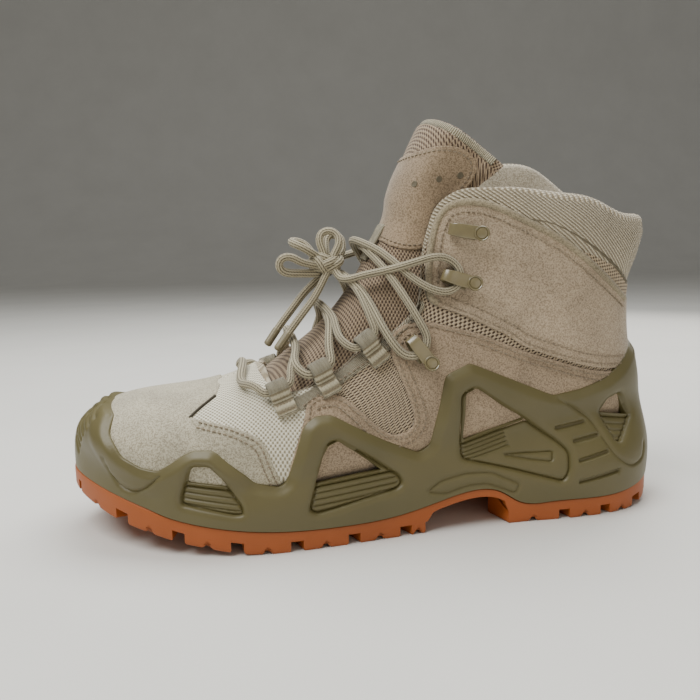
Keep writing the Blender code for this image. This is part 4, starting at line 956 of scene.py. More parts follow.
# ---------------------------------------------------------------- materials
class Shader:
    """A material under construction, with short calls for the nodes that the boot uses."""

    def __init__(self, name, roughness=0.8, metallic=0.0, sheen=0.0, coat=0.0):
        self.material = bpy.data.materials.new(name)
        self.material.use_nodes = True
        self.tree = self.material.node_tree
        self.body = self.tree.nodes["Principled BSDF"]
        self.body.inputs["Roughness"].default_value = roughness
        self.body.inputs["Metallic"].default_value = metallic
        self.body.inputs["Sheen Weight"].default_value = sheen
        self.body.inputs["Sheen Roughness"].default_value = 0.5
        self.body.inputs["Coat Weight"].default_value = coat
        self.body.inputs["Coat Roughness"].default_value = 0.25
        self.bump_in = None

    def add(self, kind, **settings):
        """A new node with its settings."""
        node = self.tree.nodes.new(kind)
        for key, value in settings.items():
            setattr(node, key, value)
        return node

    def link(self, source, target):
        """Join a socket to another."""
        self.tree.links.new(source, target)

    def place(self, kind="Object", scale=(1.0, 1.0, 1.0), turn=0.0):
        """Coordinates, scaled and turned about Z: Object is in metres, Weave in millimetres of cloth."""
        mapping = self.add("ShaderNodeMapping")
        mapping.inputs["Scale"].default_value = scale
        mapping.inputs["Rotation"].default_value = (0.0, 0.0, math.radians(turn))
        if kind == "Weave":
            source = self.add("ShaderNodeUVMap", uv_map="weave").outputs["UV"]
        else:
            source = self.add("ShaderNodeTexCoord").outputs[kind]
        self.link(source, mapping.inputs["Vector"])
        return mapping.outputs["Vector"]

    def noise(self, scale, detail=3.0, rough=0.6, distortion=0.0):
        """Soft noise between 0 and 1; its scale is in cells for each metre."""
        node = self.add("ShaderNodeTexNoise")
        node.inputs["Scale"].default_value = scale
        node.inputs["Detail"].default_value = detail
        node.inputs["Roughness"].default_value = rough
        node.inputs["Distortion"].default_value = distortion
        self.link(self.place(), node.inputs["Vector"])
        return node.outputs["Fac"]

    def math(self, operation, first, second=None):
        """A sum of numbers or sockets."""
        node = self.add("ShaderNodeMath", operation=operation)
        for socket, value in zip(node.inputs, (first, second)):
            if value is None:
                continue
            if isinstance(value, (int, float)):
                socket.default_value = value
            else:
                self.link(value, socket)
        return node.outputs["Value"]

    def wave(self, value, turns=1.0, kind="SINE"):
        """A wave between 0 and 1; it has one crest for each unit of the value times turns."""
        swing = self.math(kind, self.math("MULTIPLY", value, 2.0 * math.pi * turns))
        return self.math("ADD", self.math("MULTIPLY", swing, 0.5), 0.5)

    def worn(self, tone, scale, darkest, amount):
        """The tone with faint clouds of dirt over it."""
        cloud = self.ramp(self.noise(scale), ((0.3, (darkest,) * 3), (0.7, (1.0, 1.0, 1.0))))
        return self.mix(amount, tone, cloud, "MULTIPLY")

    def split(self, vector):
        """The X, Y and Z of a vector."""
        node = self.add("ShaderNodeSeparateXYZ")
        self.link(vector, node.inputs["Vector"])
        return node.outputs["X"], node.outputs["Y"], node.outputs["Z"]

    def ramp(self, value, stops):
        """Colours for a value, between stops of a position and a colour."""
        node = self.add("ShaderNodeValToRGB")
        ramp = node.color_ramp
        while len(ramp.elements) < len(stops):
            ramp.elements.new(0.5)
        for element, (position, colour) in zip(ramp.elements, stops):
            element.position = position
            element.color = (*colour, 1.0)
        self.link(value, node.inputs["Fac"])
        return node.outputs["Color"]

    def mix(self, amount, first, second, blend="MIX"):
        """Two colours mixed or multiplied by an amount."""
        node = self.add("ShaderNodeMix", data_type="RGBA", blend_type=blend)
        sockets = (node.inputs["Factor"], node.inputs[6], node.inputs[7])
        for socket, value in zip(sockets, (amount, first, second)):
            if isinstance(value, tuple):
                socket.default_value = (*value, 1.0)
            elif isinstance(value, (int, float)):
                socket.default_value = value
            else:
                self.link(value, socket)
        return node.outputs[2]

    def bump(self, height, strength, distance):
        """Add a bump; a distance is in metres."""
        node = self.add("ShaderNodeBump")
        node.inputs["Strength"].default_value = strength
        node.inputs["Distance"].default_value = distance
        self.link(height, node.inputs["Height"])
        if self.bump_in is not None:
            self.link(self.bump_in, node.inputs["Normal"])
        self.bump_in = node.outputs["Normal"]

    def done(self, colour, roughness=None):
        """Join the colour, roughness and bumps to the surface, and give back the material."""
        if isinstance(colour, tuple):
            self.body.inputs["Base Color"].default_value = (*colour, 1.0)
        else:
            self.link(colour, self.body.inputs["Base Color"])
        if roughness is not None:
            self.link(roughness, self.body.inputs["Roughness"])
        if self.bump_in is not None:
            self.link(self.bump_in, self.body.inputs["Normal"])
        return self.material


def shade(colour, amount):
    """A colour made lighter or darker."""
    return tuple(min(1.0, channel * amount) for channel in colour)


def suede(name, colour, nap=1.0):
    """Brushed split leather: a fine mottled nap with cloudy, darker and lighter strokes."""
    s = Shader(name, roughness=0.93, sheen=0.25)
    cloud = s.noise(38.0, 3.0, 0.55, distortion=0.6)
    grain = s.noise(1300.0, 2.0, 0.8)
    fine = s.noise(2600.0, 1.0, 0.6)
    broad = s.ramp(cloud, ((0.32, shade(colour, 0.86)), (0.68, shade(colour, 1.12))))
    speck = s.ramp(grain, ((0.40, (0.50, 0.47, 0.43)), (0.56, (1.0, 1.0, 1.0))))
    s.bump(s.noise(160.0, 2.0, 0.6), 0.35 * nap, 0.0006)
    s.bump(grain, 0.55 * nap, 0.0003)
    s.bump(fine, 0.35 * nap, 0.00015)
    return s.done(s.mix(0.9, broad, speck, "MULTIPLY"))


def woven(name, light, painted_shade, pitch, turn=0.0, depth=0.0004, squash=1.0, hole=0.35):
    """Open mesh cloth: rows of rounded threads, staggered by half, with painted shade in the gaps between
    them.
    """
    s = Shader(name, roughness=0.85, sheen=0.15)
    x, y, _ = s.split(s.place("Weave", (1.0 / pitch, squash / pitch, 1.0), turn))
    wave_x = s.math("SINE", s.math("MULTIPLY", x, 2.0 * math.pi))
    wave_y = s.math("SINE", s.math("MULTIPLY", y, 2.0 * math.pi))
    cells = s.math("MULTIPLY", wave_x, wave_y)
    raised_cells = s.math("ADD", s.math("MULTIPLY", cells, 0.5), 0.5)
    height = s.math("ADD", raised_cells, s.math("MULTIPLY", s.noise(1500.0, 1.0), 0.35))
    # The low gaps between the threads take the second colour: painted shade.
    tone = s.ramp(raised_cells, ((0.5 - hole, painted_shade), (0.62, light)))
    s.bump(height, 0.9, depth)
    return s.done(s.worn(tone, 60.0, 0.78, 0.5))


def ribbed(name, light, painted_shade, pitch, turn=0.0, depth=0.0006, cross=0.6):
    """Cloth with raised ribs along one direction and fine threads across them, with painted shade in the
    grooves.
    """
    s = Shader(name, roughness=0.85, sheen=0.2)
    x, y, _ = s.split(s.place("Weave", (1.0 / pitch, 1.0 / (pitch * cross), 1.0), turn))
    rib = s.wave(x)
    height = s.math("ADD", rib, s.math("MULTIPLY", s.math("MULTIPLY", rib, s.wave(y)), 0.6))
    # Low parts between the ribs take the second colour: painted shade in the grooves.
    tone = s.ramp(height, ((0.15, painted_shade), (0.95, light)))
    s.bump(height, 0.9, depth)
    s.bump(s.noise(1500.0, 1.0), 0.4, 0.00015)
    return s.done(s.worn(tone, 70.0, 0.8, 0.5))


def moulded(name, colour, roughness, gloss_spread=0.08, grain=0.5, coat=0.0):
    """Moulded rubber or polyurethane: a soft satin skin with faint clouding and fine grain."""
    s = Shader(name, roughness=roughness, coat=coat)
    cloud = s.noise(24.0, 3.0, 0.5)
    tone = s.ramp(cloud, ((0.3, shade(colour, 0.92)), (0.7, shade(colour, 1.08))))
    fine = s.noise(1400.0, 2.0, 0.6)
    s.bump(fine, 0.22 * grain, 0.0002)
    s.bump(s.noise(120.0, 2.0, 0.5), 0.15 * grain, 0.0006)
    gloss = s.math("MULTIPLY", s.noise(90.0, 3.0, 0.6), 2.0 * gloss_spread)
    return s.done(tone, s.math("ADD", gloss, roughness - gloss_spread))


def braided(name, light, painted_shade, ribs, pitch=1.5):
    """Cord cover: fine plaited threads over lengthwise ribs, with painted shade between the ribs."""
    s = Shader(name, roughness=0.8, sheen=0.2)
    x, y, _ = s.split(s.place("Weave"))
    round_it = s.math("MULTIPLY", x, float(ribs))
    along = s.math("MULTIPLY", y, 1.0 / pitch)
    rib = s.wave(round_it, kind="COSINE")
    plait = s.wave(s.math("ADD", round_it, along))
    height = s.math("ADD", s.math("MULTIPLY", rib, 0.75), s.math("MULTIPLY", plait, 0.25))
    # Low parts between the ribs take the second colour: painted shade.
    tone = s.ramp(height, ((0.12, painted_shade), (0.60, light)))
    s.bump(plait, 0.6, 0.0002)
    return s.done(s.worn(tone, 80.0, 0.80, 0.6))


def enamel(name, colour):
    """Painted metal with a clear, slightly uneven coat."""
    s = Shader(name, roughness=0.26, coat=0.8)
    tone = s.ramp(s.noise(200.0, 3.0, 0.6), ((0.3, shade(colour, 0.9)), (0.7, shade(colour, 1.1))))
    s.bump(s.noise(400.0, 2.0, 0.5), 0.12, 0.0003)
    return s.done(tone)


def thread(name, colour):
    """Sewing thread: matt, with faint variation from stitch to stitch."""
    s = Shader(name, roughness=0.75, sheen=0.2)
    tone = s.ramp(s.noise(300.0, 2.0, 0.5), ((0.3, shade(colour, 0.8)), (0.7, shade(colour, 1.15))))
    s.bump(s.noise(2500.0, 1.0), 0.5, 0.0001)
    return s.done(tone)


MATERIALS = {}


def ready_materials():
    """Make every material of the boot, by name, unless that is done."""
    if MATERIALS:
        return
    colours = bpy.context.scene.boot_colours
    MATERIALS.update({
        "toe_suede": suede("toe_suede", colours.toe_suede),
        "quarter_suede": suede("quarter_suede", colours.quarter_suede),
        "ankle_suede": suede("ankle_suede", colours.ankle_suede),
        "patch_suede": suede("patch_suede", colours.tongue_suede),
        # The second colour given to each mesh, ribbed cloth, webbing and lace is painted shade for its gaps
        # and grooves.
        "fine_mesh": woven("fine_mesh", colours.vamp_mesh, (0.30, 0.26, 0.17),
                           2.0, 0.0, 0.0004, 1.0, 0.26),
        "coarse_mesh": woven("coarse_mesh", (0.50, 0.40, 0.27), (0.05, 0.028, 0.014),
                             3.0, 35.0, 0.0006, 1.15, 0.22),
        "tongue_mesh": woven("tongue_mesh", colours.tongue_mesh, (0.06, 0.032, 0.017),
                             2.7, 30.0, 0.0006, 1.1, 0.24),
        "crescent_mesh": woven("crescent_mesh", (0.52, 0.41, 0.27), (0.09, 0.065, 0.035),
                               2.4, 40.0, 0.0005, 1.0, 0.25),
        "collar_cloth": ribbed("collar_cloth", colours.collar_cloth, (0.27, 0.215, 0.135),
                               2.3, -22.0, 0.0008),
        "eyestay_cloth": ribbed("eyestay_cloth", (0.52, 0.47, 0.34), (0.15, 0.12, 0.07),
                                1.9, 30.0, 0.0005),
        "lining": suede("lining", (0.52, 0.47, 0.37)),
        # The rolled rim: the ankle's suede with a flatter nap, darker as painted shade of its curve.
        "rim_suede_painted_shade": suede("rim_suede_painted_shade", (0.33, 0.28, 0.185), 0.5),
        "frame_rubber": moulded("frame_rubber", colours.frame_rubber, 0.50, 0.05, 0.6, 0.10),
        "gum_rubber": moulded("gum_rubber", colours.gum_rubber, 0.55, 0.06, 1.0),
        "insole_cloth": suede("insole_cloth", (0.24, 0.21, 0.16)),
        "webbing": ribbed("webbing", (0.52, 0.47, 0.33), (0.21, 0.175, 0.105), 1.5, 90.0, 0.0005),
        "lace": braided("lace", colours.lace, (0.075, 0.058, 0.032), LACE_RIBS),
        "lace_tip": moulded("lace_tip", (0.20, 0.17, 0.10), 0.45),
        "hook_enamel": enamel("hook_enamel", colours.hook_enamel),
        "thread_tan": thread("thread_tan", (0.23, 0.18, 0.115)),
        # Darker strips that paint the shadow line of the collar seam and the shade in the tongue's punched
        # holes.
        "painted_gap_shadow": moulded("painted_gap_shadow", (0.12, 0.10, 0.06), 0.6),
        "slit_shadow": moulded("slit_shadow", (0.05, 0.042, 0.028), 0.8),
    })


# ---------------------------------------------------------------- the upper
HEEL = float(COLUMNS)       # the chart column in the middle of the heel
SEAT_ROW = 1.0              # the row where panels end, under the frame

# Edges of the panels seen from the side. Round is how far a corner is rounded off.
QUARTER_EDGE = (
    # x, z, round
    (-49.0, 27.0, 2.0), (-48.0, 36.0, 9.0), (-45.0, 45.0, 9.0), (-42.0, 53.0, 9.0), (-39.5, 60.0, 4.0),
    (-39.0, 64.0, 2.0), (-35.0, 67.0, 4.0), (-28.0, 68.0, 4.0), (-22.0, 67.0, 4.0), (-15.0, 61.0, 9.0),
    (-7.0, 53.0, 9.0), (-1.0, 48.5, 5.0), (5.0, 47.5, 5.0), (10.0, 50.0, 5.0), (12.0, 54.0, 5.0),
    (11.0, 60.0, 9.0), (8.0, 68.0, 9.0), (5.0, 76.0, 9.0), (2.0, 84.0, 9.0), (2.5, 92.0, 5.0),
    (9.0, 98.0, 4.0), (21.0, 99.0, 9.0), (32.0, 96.0, 9.0), (44.0, 93.0, 9.0), (54.0, 89.0, 9.0),
    (65.0, 84.5, 9.0), (73.0, 81.5, 9.0), (86.0, 77.5, 9.0), (100.0, 73.0, 9.0), (113.0, 70.5, 9.0),
    (127.0, 69.5, 9.0),
)
QUARTER_HEEL = 69.0
QUARTER_SEAMS = (
    # share of the edge where the row starts and ends, distance from the edge
    (0.07, 1.0, 2.0), (0.14, 0.58, 5.4), (0.68, 1.0, 4.6),
)
ANKLE_EDGE = (
    # x, z, round; from the heel along the lower seam, up the throat, and back along the collar
    (127.0, 71.0, 9.0), (113.0, 72.0, 9.0), (100.0, 74.5, 9.0), (86.0, 79.0, 9.0), (73.0, 83.5, 9.0),
    (65.0, 87.0, 4.0), (60.0, 91.0, 9.0), (52.0, 94.5, 9.0), (41.0, 100.0, 9.0), (29.0, 104.5, 9.0),
    (22.0, 108.0, 5.0), (20.8, 114.0, 5.0), (22.0, 123.0, 9.0), (24.0, 135.0, 9.0), (27.5, 146.5, 9.0),
    (31.5, 153.0, 6.0), (38.0, 155.8, 6.0), (47.0, 155.5, 9.0), (56.0, 152.5, 9.0), (66.0, 147.5, 9.0),
    (76.0, 142.5, 9.0), (87.0, 137.0, 9.0), (98.0, 129.5, 9.0), (109.0, 121.5, 9.0), (120.0, 113.0, 9.0),
    (129.0, 107.0, 9.0),
)
ANKLE_HEEL = (104.0, 71.0)  # heights of the panel's ends in the middle of the heel
ANKLE_SEAMS = (
    # share of the edge where the row starts and ends, distance from the edge
    (0.0, 1.0, 5.8), (0.0, 0.44, 2.0),
)
RIM_START = 0.40            # share of the edge where the rolled rim starts
RIM_SHIFT = 1.2             # how far the rim lies out over the panel's edge
CRESCENT_EDGE = (
    # x, z, round
    (68.0, 146.0, 3.0), (80.0, 144.5, 9.0), (91.0, 139.5, 9.0), (103.0, 133.0, 9.0), (118.0, 123.5, 9.0),
    (130.0, 114.5, 9.0),
)
CRESCENT_FOOT = (
    # x, z, round
    (129.0, 106.0, 9.0), (109.0, 120.0, 9.0), (87.0, 135.5, 9.0), (68.0, 144.0, 3.0),
)
CRESCENT_HEEL = (111.0, 102.0)
TOE_CAP_SIDE = (
    # x, y, z, round; from the frame up to the ridge
    (-50.0, -49.0, 28.0, 2.0), (-55.0, -52.0, 39.0, 9.0), (-57.0, -52.0, 46.0, 6.0),
    (-60.0, -51.0, 51.0, 5.0), (-65.0, -49.0, 53.5, 5.0), (-72.0, -46.0, 56.0, 9.0),
    (-80.0, -43.0, 57.5, 9.0), (-90.5, -38.0, 59.5, 1.2), (-87.5, -34.5, 61.5, 3.0),
    (-83.0, -30.5, 63.8, 3.0), (-79.0, -27.0, 66.0, 1.5), (-77.0, -14.0, 69.0, 9.0),
)
TOE_SLIT = (
    # x, y, z, round; cut edge of the suede in the notch, along which a strip paints the gap's shadow
    (-91.0, -38.2, 59.6, 1.0), (-87.0, -34.0, 62.0, 3.0), (-82.5, -29.8, 64.4, 3.0),
    (-79.2, -26.4, 66.2, 1.0),
)
VAMP_SIDE = (
    # x, y, z, round
    (-30.0, -46.0, 26.0, 2.0), (-38.0, -49.0, 50.0, 6.0), (-37.0, -44.5, 66.0, 4.0),
    (-22.0, -37.5, 77.5, 2.0), (-30.0, -39.0, 73.5, 4.0), (-40.0, -40.2, 68.8, 6.0),
    (-49.0, -38.0, 67.5, 6.0), (-55.0, -30.0, 70.5, 6.0), (-58.0, -16.0, 74.5, 9.0),
)
VAMP_TIP = (-58.5, 2.0, 77.0)       # where the vamp meets the throat in the middle
VAMP_FRONT = (-96.0, 2.0, 66.0)     # its front on the ridge, under the toe cap
VAMP_FORE = (-108.0, -44.0, 40.0)   # its front at the side, under the toe cap
TOE_CAP_RIDGE = (-76.5, 3.0, 70.5)
TOE_CAP_SEAMS = (1.8, 4.4)          # distance of its two rows of stitches from its edge
TOE_CAP_SEWN = 0.62                 # share of its edge that the rows follow, up from the frame
SINK_BELOW = (1.5, 4.0)             # below the bumper's top line, where its suede begins and ends to thin
SINK_FROM = (-96.0, -102.0)         # x where that begins, and where it is full
EYESTAY_HEIGHT = 1.1
CRESCENT_HEIGHT = 0.9
EYESTAY_EDGE = (
    # x, z of the band along the throat, lower edge then upper edge, round
    (-42.0, 60.5, 4.0), (-33.0, 66.0, 6.0), (-22.0, 72.0, 6.0), (-12.0, 78.0, 6.0), (-2.0, 83.5, 6.0),
    (6.0, 89.5, 6.0), (14.0, 97.5, 6.0), (20.5, 106.0, 4.0), (18.6, 109.5, 1.5), (12.5, 100.0, 6.0),
    (4.5, 93.2, 6.0), (-3.0, 89.2, 6.0), (-12.0, 85.5, 6.0), (-20.0, 78.8, 6.0), (-30.0, 73.5, 6.0),
    (-40.0, 68.0, 6.0), (-46.0, 66.0, 2.0),
)
CREASES = (
    # x, z of the two ends, half width, depth
    (24.0, 118.0, 40.0, 111.0, 4.5, 0.55), (27.0, 128.0, 52.0, 124.0, 6.0, 0.45),
    (60.0, 104.0, 92.0, 94.0, 7.0, 0.50), (96.0, 112.0, 118.0, 92.0, 7.0, 0.55),
    (58.0, 76.0, 88.0, 70.0, 5.0, 0.40), (20.0, 80.0, 34.0, 84.0, 5.0, 0.45),
    (70.0, 128.0, 100.0, 112.0, 8.0, -0.45), (40.0, 104.0, 60.0, 100.0, 5.0, -0.35),
)


def wall_thickness():
    """Wall of the upper at each grid point: thin on the foot, padded at the collar."""
    height = np.linalg.norm(OUTER_GRID - OUTER_GRID[-1][None, :, :], axis=2)
    pad = smooth_step(CORNER_SHARE + 0.06, CORNER_SHARE + 0.17, TOP_SHARE)[None, :]
    pad = pad * smooth_step(COLLAR_PAD_DEPTH, COLLAR_PAD_DEPTH * 0.35, height)
    return WALL + (THROAT_WALL - WALL) * smooth_step(14.0, 6.0, height) + (COLLAR_WALL - WALL) * pad


def make_shell():
    """Hollow base of the upper: cloth outside, a rounded top edge with its padding, lining inside."""
    thick = wall_thickness()
    normal = UPPER.normal
    depth = np.linalg.norm(OUTER_GRID - OUTER_GRID[-1][None, :, :], axis=2)
    pad = smooth_step(CORNER_SHARE + 0.04, CORNER_SHARE + 0.15, TOP_SHARE)[None, :]
    # The padding swells between its lower seam and the top edge.
    swell = COLLAR_SWELL * pad * smooth_step(34.0, 14.0, depth) * smooth_step(-1.0, 5.0, depth)
    outer = OUTER_GRID + normal * swell[:, :, None]
    inner = OUTER_GRID - normal * (thick + 0.5 * swell)[:, :, None]
    up = unit(OUTER_GRID[-1] - OUTER_GRID[-2])
    lip = []
    for a in np.linspace(0.0, math.pi, 9)[1:-1]:
        middle = (outer[-1] + inner[-1]) / 2.0 + (outer[-1] - inner[-1]) / 2.0 * math.cos(a)
        lip.append(middle + up * (0.42 * thick[-1] * math.sin(a))[:, None])
    grid = np.concatenate([outer, np.array(lip), inner[::-2]])
    outer_rows, lip_rows = len(outer), len(lip)
    faces = grid_faces(len(grid), RING, True)
    row = np.arange(len(faces)) // RING
    column = np.arange(len(faces)) % RING
    edge_depth = np.linalg.norm(grid - OUTER_GRID[-1][None], axis=2)[row, column]
    collar = (TOP_SHARE[column] > CORNER_SHARE + 0.01) & (edge_depth < COLLAR_CLOTH_DEPTH)
    turned_in = row >= outer_rows + lip_rows // 2 + 2
    bound = ~collar & (row >= outer_rows - 2) & (row < outer_rows + lip_rows + 2)
    slots = np.where(turned_in, LINING_SLOT, np.where(collar, COLLAR_SLOT, MESH_SLOT))
    slots = np.where(bound, COLLAR_SLOT, slots)
    chart = Chart(grid)
    uv = weave_uv(chart).reshape(-1, 2)
    materials = [MATERIALS["coarse_mesh"], MATERIALS["collar_cloth"], MATERIALS["lining"]]
    shell = make_mesh("upper_shell", grid.reshape(-1, 3), faces, materials, slots, uv)
    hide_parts("upper")


def closed_loop(chart, corners, side, spacing=1.2):
    """Places of a closed outline given from the side as x, z, round."""
    table = np.array(corners)
    path = rounded_path(table[:, :2], table[:, 2])
    even = evenly(np.concatenate([path, path[:1]]), spacing, smooth=False)[:-1]
    return chart.from_side(even, side)


def open_run(chart, corners, side, spacing=1.2):
    """Places of an open line given from the side as x, z, round."""
    table = np.array(corners)
    path = rounded_path(table[:, :2], table[:, 2], closed=False)
    return chart.from_side(evenly(path, spacing, smooth=False), side)


def near_run(chart, corners, mirror=1.0, spacing=1.2):
    """Places of an open line given by points near the surface as x, y, z, round."""
    table = np.array(corners)
    points = rounded_path(table[:, :3] * (1.0, mirror, 1.0), table[:, 3], closed=False)
    return chart.nearest(evenly(points, spacing, smooth=False))


def straight_run(start, end, count):
    """Places between two places, without the first and the last."""
    t = np.linspace(0.0, 1.0, count + 2)[1:-1, None]
    return np.asarray(start) * (1.0 - t) + np.asarray(end) * t


def heel_place(height):
    """Place in the middle of the heel at a height."""
    rows = np.arange(UPPER.rows)
    z = UPPER.grid[:, COLUMNS, 2]
    order = np.argsort(z)
    return np.array([HEEL, np.interp(height, z[order], rows[order])])


def ring_of(*runs):
    """One closed loop from runs of places, each joined to the next by short steps."""
    loop = [runs[0]]
    for before, after in zip(runs, runs[1:] + runs[:1]):
        gap = UPPER.point(np.stack([before[-1], after[0]]))
        count = int(np.linalg.norm(gap[1] - gap[0]) / 1.5)
        if count > 0:
            loop.append(straight_run(before[-1], after[0], count))
        loop.append(after)
    return np.concatenate(loop[:-1])


def near_column(run, column):
    """The same run with its columns counted on the turn nearest to a column."""
    run = np.array(run)
    run[:, 0] -= np.round((run[:, 0].mean() - column) / RING) * RING
    return run


def crease_relief(side):
    """Height from the listed creases at places of the upper."""
    def relief(places):
        points = UPPER.point(places)
        flat = points[:, [0, 2]]
        height = np.zeros(len(points))
        for x0, z0, x1, z1, wide, depth in CREASES:
            away = path_distance(flat, [(x0, z0), ((x0 + x1) / 2.0, (z0 + z1) / 2.0 - 1.5), (x1, z1)])
            height -= depth * np.exp(-(away / wide) ** 2)
        wander = 0.12 * np.sin(points[:, 0] * 0.21 + side) * np.sin(points[:, 2] * 0.17 + 0.6)
        return height + wander
    return relief


def fold_relief(seams, depth=0.28, reach=0.9):
    """Height lowered along rows of stitches."""
    tree = KDTree(sum(len(seam) for seam in seams))
    k = 0
    for seam in seams:
        for point in seam:
            tree.insert(Vector(point), k)
            k += 1
    tree.balance()

    def relief(places):
        points = UPPER.point(places)
        away = np.array([tree.find(Vector(p))[2] for p in points])
        return -depth * np.exp(-(away / reach) ** 2)
    return relief


def together(*parts):
    """The sum of several reliefs."""
    return lambda places: sum(part(places) for part in parts)


STITCHES = []               # frames of every row of stitches laid so far


def sew(chart, run, distance, height, turned=1.0):
    """Lay a row of stitches beside a run of places, and give back the row's points on the chart."""
    sizes = bpy.context.scene.boot_sizes
    spacing, length = sizes.stitch_spacing / MM, sizes.stitch_length / MM
    radius = sizes.thread_radius / MM
    points = chart.point(run)
    tangent = unit(np.gradient(points, axis=0))
    inward = np.cross(chart.normal_at(run), tangent) * turned
    row = chart.nearest(points + inward * distance)
    laid = chart.point(row, height)
    STITCHES.append(stitch_frames(laid, chart.normal_at(row), spacing, length, radius))
    return chart.point(row)


def sewn_rows(edge, seams, height, turned):
    """Rows of stitches along parts of a panel's edge: share of its start and end, distance."""
    count = len(edge)
    return [sew(UPPER, edge[int(count * low):int(count * high)], distance, height, turned)
            for low, high, distance in seams]


def make_stitches():
    """One object with every stitch of the boot."""
    template, faces = stitch_template()
    vertices, all_faces = copies(template, faces, np.concatenate(STITCHES))
    make_mesh("stitches_tan", vertices, all_faces, [MATERIALS["thread_tan"]])


def suede_height():
    """Height of the suede over the upper in millimetres."""
    return bpy.context.scene.boot_sizes.suede_height / MM


def mesh_height():
    """Height of the fine mesh over the upper in millimetres."""
    return bpy.context.scene.boot_sizes.mesh_height / MM


def make_panels():
    """Suede and mesh panels of the upper, with their seams, on both sides."""
    for side, word in ((LATERAL, "lateral"), (MEDIAL, "medial")):
        middle = COLUMNS / 2.0 if side > 0 else 1.5 * COLUMNS
        make_vamp(side, word)
        make_quarter(side, word, middle)
        make_ankle(side, word, middle)
        make_crescent(side, word, middle)
        make_eyestay(side, word, middle)
    make_toe_cap()


def make_quarter(side, word, middle):
    """Suede of the side, from the frame up to the eyestay and the ankle."""
    edge = near_column(open_run(UPPER, QUARTER_EDGE, side), middle)
    heel = heel_place(QUARTER_HEEL)[None]
    seat = straight_run((HEEL, SEAT_ROW), (edge[0, 0], SEAT_ROW), 110)
    loop = ring_of(edge, heel, np.array([[HEEL, SEAT_ROW]]), seat, np.array([[edge[0, 0], SEAT_ROW]]))
    rows = sewn_rows(edge, QUARTER_SEAMS, suede_height() + 0.04, -side)
    laid_panel(f"quarter_{word}", UPPER, [loop], suede_height(), MATERIALS["quarter_suede"],
               relief=together(crease_relief(side), fold_relief(rows)))


def make_ankle(side, word, middle):
    """Suede of the ankle, with a rolled rim along its top."""
    edge = near_column(open_run(UPPER, ANKLE_EDGE, side), middle)
    top, low = heel_place(ANKLE_HEEL[0])[None], heel_place(ANKLE_HEEL[1])[None]
    loop = ring_of(edge, top, low)
    height = suede_height() + 0.2
    rows = sewn_rows(edge, ANKLE_SEAMS, height, -side)
    laid_panel(f"ankle_{word}", UPPER, [loop], suede_height() + 0.15, MATERIALS["ankle_suede"],
               relief=together(crease_relief(side), fold_relief(rows)))
    rim = edge[int(len(edge) * RIM_START):]
    # The rim's darker suede is painted shade where it curves over.
    points = UPPER.point(rim, 1.0)
    section = rounded_section(3.4, 1.5, 1.4, 4, -0.9)
    section[:, 0] += RIM_SHIFT * side
    vertices, faces = sweep(points, UPPER.normal_at(rim), section)
    outward(make_mesh(f"ankle_rim_{word}", vertices, faces, [MATERIALS["rim_suede_painted_shade"]]))


def make_crescent(side, word, middle):
    """Band of mesh between the ankle and the collar, with a darker strip along its top that paints the seam's
    shadow line.
    """
    upper = near_column(open_run(UPPER, CRESCENT_EDGE, side), middle)
    lower = near_column(open_run(UPPER, CRESCENT_FOOT, side), middle)
    loop = ring_of(upper, heel_place(CRESCENT_HEEL[0])[None], heel_place(CRESCENT_HEEL[1])[None], lower)
    laid_panel(f"heel_mesh_{word}", UPPER, [loop], CRESCENT_HEIGHT, MATERIALS["crescent_mesh"])
    # The strip along the top is painted shadow of the seam.
    points = UPPER.point(upper, CRESCENT_HEIGHT)
    vertices, faces = sweep(points, UPPER.normal_at(upper), rounded_section(1.2, 0.8, 0.6, 3, -0.8))
    outward(make_mesh(f"collar_seam_shadow_{word}", vertices, faces, [MATERIALS["painted_gap_shadow"]]))


def make_vamp(side, word):
    """Fine mesh over the forefoot, from the toe cap to the quarter and up to the ridge."""
    edge = near_column(near_run(UPPER, VAMP_SIDE, side), 0.0)
    tip = UPPER.nearest([VAMP_TIP])
    tip[:, 0] = 0.0
    front = UPPER.nearest([VAMP_FRONT])
    front[:, 0] = 0.0
    edge[:, 0] -= np.round(edge[0, 0] / RING) * RING
    seat = np.array([[edge[0, 0], SEAT_ROW]])
    fore = UPPER.nearest([np.array(VAMP_FORE) * (1.0, side, 1.0)])
    fore[:, 0] -= np.round(fore[0, 0] / RING) * RING
    fore_low = np.array([[fore[0, 0], SEAT_ROW]])
    loop = ring_of(edge, tip, front, fore, fore_low, seat)
    # The cloth's threads run along the foot and straight across it.
    across = 0.6 * UPPER.grid[:, :, 2] - 0.8 * np.abs(UPPER.grid[:, :, 1])
    flat = np.stack([UPPER.grid[:, :, 0], across], axis=-1)
    laid_panel(f"vamp_{word}", UPPER, [loop], mesh_height(), MATERIALS["fine_mesh"], cell=2.6, uv_grid=flat)


def make_eyestay(side, word, middle):
    """Ribbed band along the throat, sewn along its lower edge."""
    loop = near_column(closed_loop(UPPER, EYESTAY_EDGE, side), middle)
    laid_panel(f"eyestay_{word}", UPPER, [loop], EYESTAY_HEIGHT, MATERIALS["eyestay_cloth"])
    lower_edge = loop[4:int(len(loop) * 0.47)]
    sew(UPPER, lower_edge, 1.6, EYESTAY_HEIGHT + 0.15, turned=side)


def sunk_under_bumper(places):
    """The toe cap's suede thins out where the bumper covers it."""
    points = UPPER.point(places)
    line = np.array(FRAME_TOP_LINE)
    line = line[line[:, 0] < BUMPER_END]
    over = np.interp(points[:, 0], line[:, 0], line[:, 1]) - points[:, 2]
    return -(suede_height() + 0.2) * smooth_step(*SINK_BELOW, over) * smooth_step(*SINK_FROM, points[:, 0])


